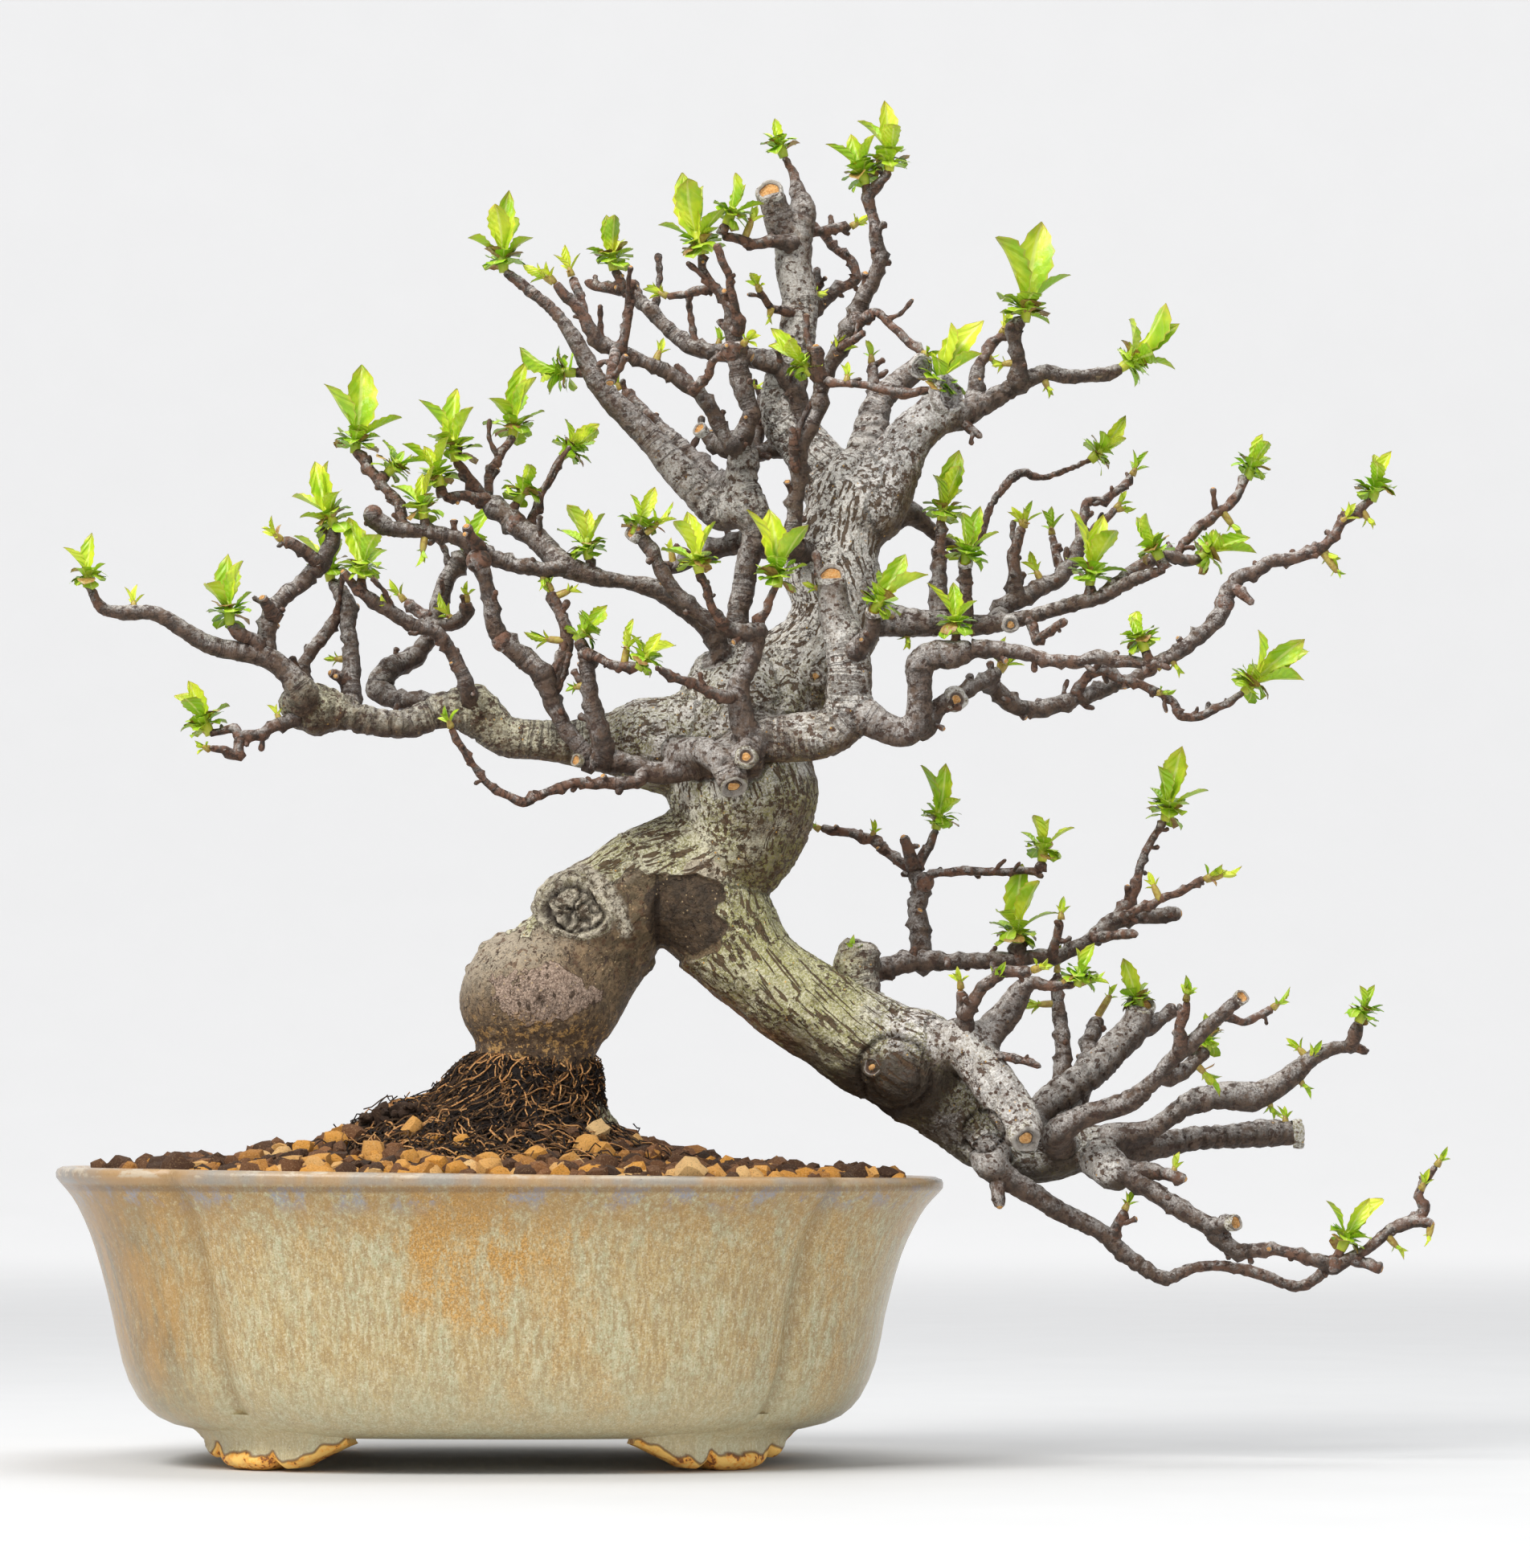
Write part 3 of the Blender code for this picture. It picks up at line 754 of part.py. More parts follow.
def build_shoot(number, end, run, axis, radius, size, clearance, seed, leaf_mat):
    """One leaf cluster. Its leaves' sample points join those that later shoots keep clear of."""
    rng = random.Random(100 * seed + number)
    seat = end + run * SHOOT_GAP
    heart = seat + run * 2.2 + axis * 0.6
    name = f"leaf_cluster_{number:02d}"
    core = tube(name, [(seat, radius * 0.9), (heart, 1.6), (heart + axis * 2, 0.9)], 4, leaf_mat)
    blades = []
    kept = [heart]
    for along, face, length, width in leaf_places(axis, size, rng):
        found = clear_leaf(heart, along, face, length, width, clearance, rng)
        if found:
            blades.append(leaf_solid("blade", heart, found[0], found[1], length, width))
            kept += found[2]
    if blades:
        boolean(core, blades, "UNION")
        keep_largest(core)
    clearance.leaves += kept
    core.data.materials.clear()
    core.data.materials.append(leaf_mat)
    return core, len(blades)


def keep_largest(obj):
    """Drops the loose scraps and the sealed specks that a Boolean left."""
    mesh = bmesh.new()
    mesh.from_mesh(obj.data)
    bmesh.ops.dissolve_degenerate(mesh, dist=1e-6, edges=mesh.edges)
    left, parts = set(mesh.faces), []
    while left:
        face = left.pop()
        part, edge = [face], [face]
        while edge:
            sides = [side for side in edge.pop().edges if len(side.link_faces) == 2]
            near = {other for side in sides for other in side.link_faces} & left
            left -= near
            part += near
            edge += near
        parts.append(part)
    parts.sort(key=len)
    bmesh.ops.delete(mesh, geom=[f for part in parts[:-1] for f in part], context="FACES")
    mesh.to_mesh(obj.data)
    mesh.free()


def build_tree(grown, spurs, bark):
    """Trunk, limbs, twigs, spurs and buds, joined as one piece of wood."""
    pieces = []
    for name, stations in grown.items():
        sides = sides_for(max(r for _, r in stations[1:]))
        pieces.append(tube(name, thinned(stations), sides))
    for spur in spurs:
        pieces.append(tube("spur", spur, TWIG_SIDES))
    for branch, seen, size in BUDS:
        carrier, radius, run = nearest_on(grown[branch], *seen)
        base = set_back(*seen, carrier.y)
        if (base - carrier).length > 1:
            run = (base - carrier).normalized()
        tip = carrier + run * max(size, radius + 3)
        pieces.append(tube("bud", [(carrier, 1.4), (tip, 0.8)], TWIG_SIDES))
    tree = pieces[0]
    tree.name = "tree"
    boolean(tree, pieces[1:], "UNION")
    keep_largest(tree)
    tree.data.materials.clear()
    tree.data.materials.append(bark)
    return tree


def plan_ring(half, z, wall=0.0, creased=1.0):
    """The pot's four-lobed outline at one height: a rounded oblong, pinched at its four creases."""
    ring = []
    for i in range(POT_SEGMENTS):
        t = 2 * math.pi * i / POT_SEGMENTS
        c, s = math.cos(t), math.sin(t)
        x = math.copysign(abs(c) ** (2 / PLAN_POWER), c)
        y = math.copysign(abs(s) ** (2 / PLAN_POWER), s)
        off = min(abs((math.degrees(math.atan2(abs(y) * POT_DEPTH_RATIO, abs(x))) - CREASE_ANGLE)) / 6, 4)
        pinch = 1 - creased * CREASE_DEPTH / half * math.exp(-off * off)
        ring.append((x * (half - wall) * pinch, y * (half * POT_DEPTH_RATIO - wall) * pinch, z))
    return ring


def build_pot(glaze):
    """The pot with its four cloud feet and two drainage holes."""
    outer = [plan_ring(POT_BASE_HALF, POT_BASE_Z, creased=0.7)]
    outer += [plan_ring(half, z) for half, z in reversed(POT_OUTER)]
    rim_half, rim_z = POT_OUTER[0]
    inner = [plan_ring(rim_half - POT_LIP, rim_z + 1), plan_ring(rim_half - POT_LIP - 4, rim_z)]
    inner += [plan_ring(half, z, POT_WALL) for half, z in POT_OUTER[1:] if z > POT_FLOOR_Z + 6]
    inner.append(plan_ring(POT_FLOOR_HALF, POT_FLOOR_Z))
    pot = loft("pot", outer + inner)
    feet = [cloud_foot(sx, sy) for sx in (-1, 1) for sy in (-1, 1)]
    boolean(pot, feet, "UNION")
    drains = [tube_between("drain", (x, 0, 0), (x, 0, POT_FLOOR_Z + 6),
                           HOLE_R, 16) for x in (-HOLE_X, HOLE_X)]
    boolean(pot, drains, "DIFFERENCE")
    pot.data.materials.clear()
    pot.data.materials.append(glaze)
    return pot


def cloud_foot(side_x, side_y):
    """One foot: an apron with scallops that carries the wall round a corner. Its middle lobe stands flat."""
    turns = np.linspace(0.02, math.pi / 2 - 0.02, 300)
    x = np.cos(turns) ** (2 / PLAN_POWER) * POT_BASE_HALF
    y = np.sin(turns) ** (2 / PLAN_POWER) * POT_BASE_HALF * POT_DEPTH_RATIO
    along = np.concatenate([[0], np.cumsum(np.hypot(np.diff(x), np.diff(y)))])
    middle = float(np.interp(-FOOT_X, -x, along))
    rings = []
    for place, low in FOOT_EDGE:
        here, ahead = ([float(np.interp(middle + place + step, along, axis)) for axis in (x,
            y)] for step in (0, 0.5))
        run = math.hypot(ahead[0] - here[0], ahead[1] - here[1])
        out = ((ahead[1] - here[1]) / run, (here[0] - ahead[0]) / run)
        ring = []
        for push, z in ((FOOT_OUT - FOOT_THICK, low), (FOOT_OUT, low), (FOOT_OUT, FOOT_TOP_Z),
                        (FOOT_OUT - FOOT_THICK, FOOT_TOP_Z)):
            ring.append((side_x * (here[0] + out[0] * push), side_y * (here[1] + out[1] * push), z))
        rings.append(ring)
    return loft("foot", rings)


def mound_height(x, y):
    """The soil's top at this place: nearly level at the rim, and rising to the neck."""
    off = x - NECK_X
    away = math.hypot(off, y * SOIL_DEPTH_STRETCH)
    left = 0.5 - 0.5 * off / max(away, 0.1)
    high_left, high_right = (float(np.interp(away, SOIL_REACH, heights)) for heights in (SOIL_LEFT_Z,
        SOIL_RIGHT_Z))
    return high_left * left + high_right * (1 - left)


def build_soil(mat):
    """The bed of grains, as a mound with relief, with a plain hole for the root neck."""
    rng = random.Random(5)
    edge_wall = POT_WALL + GAP
    rings = [plan_ring(POT_FLOOR_HALF - 2 * GAP, POT_FLOOR_Z + GAP),
             plan_ring(SOIL_HALF, SOIL_BREAK_Z, edge_wall + 0.5)]
    edge = plan_ring(SOIL_HALF, 0, edge_wall + 1.1)
    for number, share in enumerate(SOIL_SHARES):
        ring = []
        for x, y, _ in edge:
            px, py = NECK_X * (1 - share) + x * share, y * share
            grain = rng.uniform(-GRAIN, GRAIN) if number else -1.5
            ring.append((px, py, mound_height(px, py) + grain))
        rings.append(ring)
    soil = loft("soil", rings, mat)
    neck = tube_between("neck", (NECK_X, 0, NECK_BASE_Z), (NECK_X, 0, 130), NECK_HOLE_R + 2, 20)
    room = MESH_SIDE / 2 + 1
    recess_z = POT_FLOOR_Z - 2, POT_FLOOR_Z + GAP + MESH_THICK + GAP
    recesses = [box("recess", (x - room, -room, recess_z[0]),
                    (x + room, room, recess_z[1])) for x in (-HOLE_X, HOLE_X)]
    boolean(soil, [neck] + recesses, "DIFFERENCE")
    soil.data.materials.clear()
    soil.data.materials.append(mat)
    return soil


def build_drain_mesh(name, x, mat):
    """A square of plastic mesh over a drainage hole."""
    low = POT_FLOOR_Z + GAP
    half = MESH_SIDE / 2
    sheet = box(name, (x - half, -half, low), (x + half, half, low + MESH_THICK))
    open_half = MESH_CELL / 2
    middles = [(x + i * MESH_PITCH, j * MESH_PITCH) for i in (-1, 0, 1) for j in (-1, 0, 1)]
    cells = [box("cell", (mx - open_half, my - open_half, low - 1),
                 (mx + open_half, my + open_half, low + 3))
             for mx, my in middles]
    boolean(sheet, cells, "DIFFERENCE")
    sheet.data.materials.clear()
    sheet.data.materials.append(mat)
    return sheet


def stand_on_origin():
    """Moves all pieces so that the origin is the bottom centre of the part's box."""
    objects = list(bpy.context.scene.collection.objects)
    corners = np.array([v.co for obj in objects for v in obj.data.vertices])
    low, high = corners.min(axis=0), corners.max(axis=0)
    shift = Vector((-(low[0] + high[0]) / 2, -(low[1] + high[1]) / 2, -low[2]))
    for obj in objects:
        obj.data.transform(Matrix.Translation(shift))
    print("moved by", [round(v / MM, 2) for v in shift], "mm")


def main():
    """Builds the pot, the soil, the tree and its shoots."""
    clear_scene()
    glaze = material("glaze", (0.52, 0.47, 0.30), 0.22)
    grains = material("akadama", (0.33, 0.17, 0.08), 0.95)
    bark = material("bark", (0.30, 0.23, 0.16), 0.8)
    leaf = material("young_leaf", (0.50, 0.55, 0.08), 0.45)
    plastic = material("mesh_plastic", (0.02, 0.02, 0.02), 0.6)
    grown = grow(BRANCHES)
    clearance = Clearance(grown)
    spurs = build_shoots(grown, clearance, leaf)
    build_tree(grown, spurs, bark)
    build_pot(glaze)
    build_soil(grains)
    build_drain_mesh("drain_mesh_left", -HOLE_X, plastic)
    build_drain_mesh("drain_mesh_right", HOLE_X, plastic)
    stand_on_origin()


if __name__ == "__main__":
    main()
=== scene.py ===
"""Looks of a flowering quince bonsai in a four-lobed glazed pot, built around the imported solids.

Lengths in the tables are millimetres in the pot's own frame: x to the right and z up, from the middle of the
pot on the surface that it stands on. Meshes are in metres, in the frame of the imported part.
"""

from __future__ import annotations

import logging
import random
from dataclasses import dataclass, field
from enum import Enum
from math import atan2, copysign, cos, exp, hypot, pi, radians, sin, sqrt

import bpy
import numpy as np
from bpy.types import Material, Mesh, Object
from mathutils import Matrix, Vector, noise

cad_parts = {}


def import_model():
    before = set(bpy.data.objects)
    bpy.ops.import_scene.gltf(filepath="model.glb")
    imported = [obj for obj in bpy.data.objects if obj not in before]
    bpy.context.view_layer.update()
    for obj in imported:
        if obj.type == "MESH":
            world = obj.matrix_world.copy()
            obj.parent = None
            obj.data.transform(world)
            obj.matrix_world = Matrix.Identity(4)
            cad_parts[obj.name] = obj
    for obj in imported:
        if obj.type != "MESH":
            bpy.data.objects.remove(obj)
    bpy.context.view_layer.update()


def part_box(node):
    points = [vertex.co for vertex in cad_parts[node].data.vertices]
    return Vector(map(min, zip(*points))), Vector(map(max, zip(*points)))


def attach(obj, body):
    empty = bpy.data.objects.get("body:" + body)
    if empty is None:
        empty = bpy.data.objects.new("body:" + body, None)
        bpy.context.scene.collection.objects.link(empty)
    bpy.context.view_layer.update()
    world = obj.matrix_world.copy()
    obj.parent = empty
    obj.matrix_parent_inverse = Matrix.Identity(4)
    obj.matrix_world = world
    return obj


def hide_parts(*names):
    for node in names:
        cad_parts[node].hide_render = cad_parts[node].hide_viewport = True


LOG = logging.getLogger("bonsai")
MM = 0.001
BODY = "root"
EYE = Vector((65, -1500, 85))
LOOK_AT = Vector((65.4, 0, 170.8))
# The direction, from the upper left, that the painted light and shade on the bark come from.
PAINTED_LIGHT_FROM = np.array((-0.42, -0.12, 0.9))
Stations = list[tuple[Vector, float]]


class Slot(Enum):
    """The record's finishes."""

    GLAZE = "glaze"
    SOIL = "akadama"
    BARK = "bark"
    LEAF = "young_leaf"


@dataclass
class Socket:
    """A shader socket, so that sums on it read as plain arithmetic."""

    shader: "Shader"
    link: object

    def maths(self, operation: str, other: object = None, swap: bool = False) -> "Socket":
        """Adds one Math node.

        Args:
            operation: the node's operation.
            other: the second value, if it has one.
            swap: whether the other value comes first.

        Returns:
            The node's output.
        """
        values = [self] if other is None else [other, self] if swap else [self, other]
        return self.shader.node("ShaderNodeMath", {"operation": operation}, dict(enumerate(values)))

    def __add__(self, other: object) -> "Socket":
        """Adds."""
        return self.maths("ADD", other)

    __radd__ = __add__

    def __mul__(self, other: object) -> "Socket":
        """Multiplies."""
        return self.maths("MULTIPLY", other)

    __rmul__ = __mul__

    def __sub__(self, other: object) -> "Socket":
        """Subtracts."""
        return self.maths("SUBTRACT", other)

    def __rsub__(self, other: object) -> "Socket":
        """Subtracts from a number."""
        return self.maths("SUBTRACT", other, swap=True)

    def __pow__(self, other: object) -> "Socket":
        """Raises to a power."""
        return self.maths("POWER", other)

    def between(self, low: float, high: float) -> "Socket":
        """A smooth step from 0 at low to 1 at high.

        Args:
            low: the value that gives 0.
            high: the value that gives 1.

        Returns:
            The step.
        """
        settings = {"interpolation_type": "SMOOTHSTEP"}
        return self.shader.node("ShaderNodeMapRange", settings, {0: self, 1: low, 2: high, 3: 0.0, 4: 1.0})


class Shader:
    """One procedural material. Places in it are in millimetres in the pot's frame."""

    home = Vector((0, 0, 0))

    def __init__(self, name: str) -> None:
        """Starts an empty material with its shader and output.

        Args:
            name: the material's name.
        """
        self.material = bpy.data.materials.new(name)
        self.material.use_nodes = True
        self.tree = self.material.node_tree
        self.principled = self.tree.nodes["Principled BSDF"]

    def node(self, kind: str, settings: dict | None = None, values: dict | None = None,
            out: object = 0) -> Socket:
        """Adds a node.

        Args:
            kind: the node's type.
            settings: its properties, set first. A ramp's stops are under "stops".
            values: numbers, tuples or sockets for its inputs, by name or number.
            out: the output wanted, by name or number.

        Returns:
            That output.
        """
        made = self.tree.nodes.new(kind)
        for key, value in (settings or {}).items():
            if key == "stops":
                ramp = made.color_ramp.elements
                while len(ramp) < len(value):
                    ramp.new(1.0)
                for stop, (place, color) in zip(ramp, value):
                    stop.position = place
                    stop.color = (*color, 1)
            else:
                setattr(made, key, value)
        for key, value in (values or {}).items():
            if isinstance(value, Socket):
                self.tree.links.new(value.link, made.inputs[key])
            else:
                made.inputs[key].default_value = value
        return Socket(self, made.outputs[out])

    def where(self, stretch: tuple[float, float, float] = (1, 1, 1)) -> Socket:
        """The place on the piece, stretched.

        Args:
            stretch: the scale along each axis.

        Returns:
            The stretched place.
        """
        place = self.node("ShaderNodeTexCoord", out="Object")
        scale = tuple(s / MM for s in stretch)
        move = tuple(-h * s for h, s in zip(self.home, stretch))
        return self.node("ShaderNodeMapping", None, {"Vector": place, "Scale": scale, "Location": move})

    def axes(self, place: Socket) -> list[Socket]:
        """The three numbers of a place."""
        split = self.node("ShaderNodeSeparateXYZ", None, {0: place})
        return [Socket(self, output) for output in split.link.node.outputs]

    def patch(self, place: Socket, middle: tuple[float, float], reach: tuple[float, float], ragged: float,
            edge: float = 0.04, grain: float = 0.16) -> Socket:
        """A ragged patch that is seen from the front.

        Args:
            place: the place on the piece.
            middle: its middle, as x and z.
            reach: half its size along x and z.
            ragged: how uneven its outline is.
            edge: how soft its outline is.
            grain: how fine the unevenness is.

        Returns:
            1 inside the patch and 0 outside.
        """
        x, _, z = self.axes(place)
        off = ((x - middle[0]) * (1 / reach[0])) ** 2 + ((z - middle[1]) * (1 / reach[1])) ** 2
        off = off + (self.noise(place, grain, 4, 0.6) - 0.5) * ragged
        return off.between(1 + edge, 1 - edge)

    def attribute(self, name: str) -> Socket:
        """A number kept on the mesh's points."""
        return self.node("ShaderNodeAttribute", {"attribute_name": name}, out="Fac")

    def noise(self, place: Socket, scale: float, detail: float = 4.0, rough: float = 0.55) -> Socket:
        """Soft noise.

        Args:
            place: where it is read.
            scale: its frequency.
            detail: how many octaves it has.
            rough: how strong the finer ones are.

        Returns:
            A value near 0.5.
        """
        values = {"Vector": place, "Scale": scale, "Detail": detail, "Roughness": rough}
        return self.node("ShaderNodeTexNoise", None, values)

    def cells(self, place: Socket, scale: float, feature: str = "F1") -> Socket:
        """The distance in a cell pattern."""
        return self.node("ShaderNodeTexVoronoi", {"feature": feature}, {"Vector": place, "Scale": scale})

    def mix(self, factor: object, first: object, second: object) -> Socket:
        """Mixes two colours.

        Args:
            factor: the share of the second.
            first: a colour or a socket.
            second: a colour or a socket.

        Returns:
            The mixed colour.
        """
        sides = [(*c, 1) if isinstance(c, tuple) and len(c) == 3 else c for c in (first, second)]
        settings = {"data_type": "RGBA"}
        return self.node("ShaderNodeMix", settings, {0: factor, 6: sides[0], 7: sides[1]}, out=2)

    def layers(self, color: object, *coats: tuple[object, object]) -> Socket:
        """Lays colours over a colour.

        Args:
            color: the colour that is under them.
            coats: the share and the colour of each, from below.

        Returns:
            The colour on top.
        """
        for share, coat in coats:
            color = self.mix(share, color, coat)
        return color

    def combine(self, x: object, y: object, z: object) -> Socket:
        """A place from three numbers."""
        return self.node("ShaderNodeCombineXYZ", None, {0: x, 1: y, 2: z})

    def finish(self, color: object, roughness: object, height: Socket | None = None, depth: float = 0.0002,
            **fixed: float) -> Material:
        """Connects the shader.

        Args:
            color: the base colour.
            roughness: the roughness.
            height: the relief, if there is one.
            depth: how deep the relief is, in metres.
            fixed: other sockets of the shader, by name with underscores, as plain numbers.

        Returns:
            The material.
        """
        inputs = self.principled.inputs
        for name, value in (("Base Color", color), ("Roughness", roughness)):
            if isinstance(value, Socket):
                self.tree.links.new(value.link, inputs[name])
            else:
                inputs[name].default_value = (*value, 1) if isinstance(value, tuple) else value
        if height is not None:
            bump = self.node("ShaderNodeBump", None, {"Strength": 1.0, "Distance": depth, "Height": height})
            self.tree.links.new(bump.link, inputs["Normal"])
        for name, value in fixed.items():
            inputs[name.replace("_", " ")].default_value = value
        return self.material


def table(text: str) -> list[list]:
    """Reads a table.

    Args:
        text: rows that end with commas, with blanks between the cells of a row.

    Returns:
        The rows, in which what isn't a word is a number.
    """
    return [[cell if cell[0].isalpha() else float(cell) for cell in row.split()] for row in text.split(",")]


def branches(text: str) -> list[tuple[str, str, list[float], list[list[float]]]]:
    """Reads a table of branches.

    Args:
        text: branches that end with semicolons, each a head and a colon before its stations.

    Returns:
        The name, the branch that it grows from, the depths and the stations of each.
    """
    read = []
    for entry in text.split(";"):
        head, stations = entry.split(":")
        name, parent, *depths = table(head)[0]
        read.append((name, parent, depths, table(stations)))
    return read


# Each branch is its name, what it grows from and its depths behind the plane y = 0, shared out along its
# length. After the colon come its stations as x, z and radius.
TRUNK = branches("""
    trunk ground 0 0: 7 58 20, 6.5 74 19, 6 90 18, 8 100 15, 9 108 16, 10 115 18, 14 121 17.5, 22 130 15,
        28.5 138.5 14, 37.6 145.8 14, 50 151.2 14.3, 57 157.5 16, 60 166 17, 58.5 177 18, 63 187 16,
        71 196 13, 80 205 11, 84 215 10.5, 82 226 11, 85 236 9.5, 88 245 9;
    apex trunk 2 8: 82 246 7, 76 255 6, 70.5 262 5.5, 70.5 271 5, 73 281 4.6, 74 291 4.3, 72.5 300 4.1,
        73 308 4, 75 315 3.2, 73.5 319.5 2, 73 323 1.3, 70 328.5 1;
    apex_stub apex 3: 70 309 3.3, 66.8 318.5 3.2;
    shoulder trunk -3: 62 190 15, 71 198 9, 86 203 7
""")

LEFT = branches("""
    left_limb trunk -1 -6 -14: 56 180 14, 45 180.5 11.5, 35 181 9.5, 24 181 6.2, 10 181.5 4.7, 0 183 4.7,
        -7 189 5.4, -15 189 4.1, -23 186 3.6, -31 186 3.5, -40 188.5 4, -46 189 5.5, -51 190 5.2;
    left_tip left_limb -22 -30: -50 194 3.6, -54 199 2.8, -59 202.5 2.6, -66 204 2.3, -73 205.5 2.2,
        -80 209.5 2, -87 213.5 1.9, -94 213.5 1.9, -100 214.5 1.5, -102 218 1.3, -103.5 220.5 1.1;
    left_tip_spur left_tip -27: -61 206 1.6, -66 208.5 1.5, -68 211 1.3;
    left_rise left_tip -20: -59 203 2.4, -58.5 209 2.2, -57.5 214 2.2, -54 217.5 2, -50 221 2, -46 225 2.2,
        -43 230 2, -42 235 1.8;
    left_rise_twig left_rise -26: -47 227 1.6, -53 231 1.4, -55.5 232 1.2;
    left_rise_stub left_rise -28: -57.5 213 1.6, -60 217.5 1.4;
    left_low left_limb -26: -52 187 2, -56 185.5 1.6, -60 183.5 1.4, -65 182.5 1.4, -66 178 1.3,
        -70 179.5 1, -73 179.5 0.9;
    left_low_twig left_low -20: -65 182 1.1, -67 184.5 0.9, -73 183.5 0.9;
    left_up left_limb 0: -38 192 2.8, -38 198 2.3, -38 206 1.9, -38.5 212 2, -39 216 2, -43 222 1.7;
    left_up_stub left_up -10: -38.5 197 1.5, -43.5 198.5 1.3;
    left_cross left_limb 0: -50 192 2.2, -50 200 1.7, -46 206 1.6, -41.5 212 1.6, -36 215.5 1.6;
    left_sweep left_limb -16 -26: -8.5 194 2, -10.5 200 1.7, -13.5 204.5 1.6, -17 208.5 1.7, -23 210.5 1.8,
        -29 214.5 1.8, -33 217 1.7, -37 220.5 1.1, -40 224 1.2;
    left_back left_limb 6 22 26: -12 190 2.4, -20 191.5 2, -27 192 2.3, -31 195 3, -28 199.5 2.8,
        -21 203.5 2.4, -17.5 209 2.2, -16 216 2.1, -13.5 223 2.3, -9 228.5 2.6;
    left_back_twig left_back 14: -17 210 1.5, -13 210.5 1.6, -9 213.5 1.7, -9 216.5 1.3;
    left_back_spur left_back 30: -17 210.5 1.4, -20 213 1.3, -24.5 216.5 1.3;
    mid_arm trunk -8 -14: 55 192 3.4, 55.5 198 2.6, 54 204 2.6, 51.5 209.5 2.6, 46 214.5 2.6, 38 219.5 2.5,
        30 221.3 1.9, 22 222.8 2.4, 16 225 2.9;
    mid_high mid_arm -4: 12 228 2.8, 8 232 2.8, 3 236 2.8, -1 239 2.8, -5 242 2.2;
    mid_low mid_arm -16 -24: 10 224.5 1.9, 4 225 1.9, -1 226.5 2, -5 229 2, -10 231.5 1.9, -15 233 1.8,
        -22 234 1.7, -28 234.5 2, -32 237 2.6, -33 240 2.2;
    mid_low_stub mid_low -28: -6 230 1.5, -9.5 235.5 1.2;
    mid_low_top mid_low -10: -25 235 1.5, -26 241 1.3, -31 246 1.3, -34 251 1.3, -37 254 1.2;
    mid_tip_a mid_high -8: -5 242 1.4, -9 248 1.2, -12 252 1;
    mid_tip_b mid_high 6: -4 243 1.2, -3 249 1.1, 0 254 1, 2.5 258 1;
    mid_tip_c mid_high -12: -5 242 1.4, -10 243 1.2, -15 242.5 1.1;
    mid_tip_d mid_high 4: 6 234 1.3, 8 239 1.1, 11 246 1, 15 253 1;
    front_left trunk -18 -18: 60 180 4, 52 177 3.5, 45 174.5 3, 38 173.5 2.6, 31 176 2.5, 26 176.5 3,
        22 177 2.4;
    hook_riser front_left -16 -22: 22 177 2, 17 183 1.9, 14.5 187 2, 12 192.5 2.3, 10 198 2.6, 5 202.5 2.6,
        0 206.5 2.2, -2 210 2.2, -3 216 1.8, -4.5 222 1.9, -6 226.5 2;
    riser_a front_left -24: 25 180 2.4, 23 188 2.2, 22 193 2, 21 199 1.8, 20 204 1.6, 18.5 207 1.5;
    riser_b hook_riser -14: 13 196 1.8, 15.5 204 1.7, 16 209 1.6, 14.5 213 1.5, 12 219 1.4;
    riser_c riser_a -30: 21 203.5 1.2, 27 201 1.1, 34 199.8 1.2;
    hanging_twig front_left -32: 34 171.5 1.6, 27 171 1.5, 16 170.8 1.1, 6 166.3 1.1, -2 169.5 1,
        -7 175 0.9, -10.5 180.5 0.9, -12.8 185 0.9;
    front_knob trunk -15 -26 -31: 44 178 3.4, 49.5 179 3.6, 54 177 3.6, 56.5 173.5 3.6, 57.3 170.6 3.5;
    front_dark trunk -20 -31: 62 182 3.6, 61.2 179.5 3.2, 60.7 177.4 2.9;
    front_riser trunk -23 -26 -25: 61 177 4, 61 181 3.2, 58.5 194 2.9, 60.6 198.6 2.4, 62.2 203 2.4,
        63.8 208.7 2;
    front_arm front_riser -30: 64 209 2.1, 58 209 2.1, 53 210.5 2, 49 213.5 1.9, 45 217 1.9, 41.5 221 1.8,
        39 225 1.7, 37 229 1.7, 33 233.5 2;
    front_arm_twig front_arm -34: 55 211 1.3, 52.5 214.5 1.1, 51 219 1, 49 224 1;
    front_tip front_riser -30: 64 212 1.2, 66 214.5 1, 68.5 220.5 0.9;
    front_side front_riser -36: 56 192.5 1.6, 51 194.5 1.3, 46 196.5 1.2, 42 198 1.1, 39 199.5 1
""")

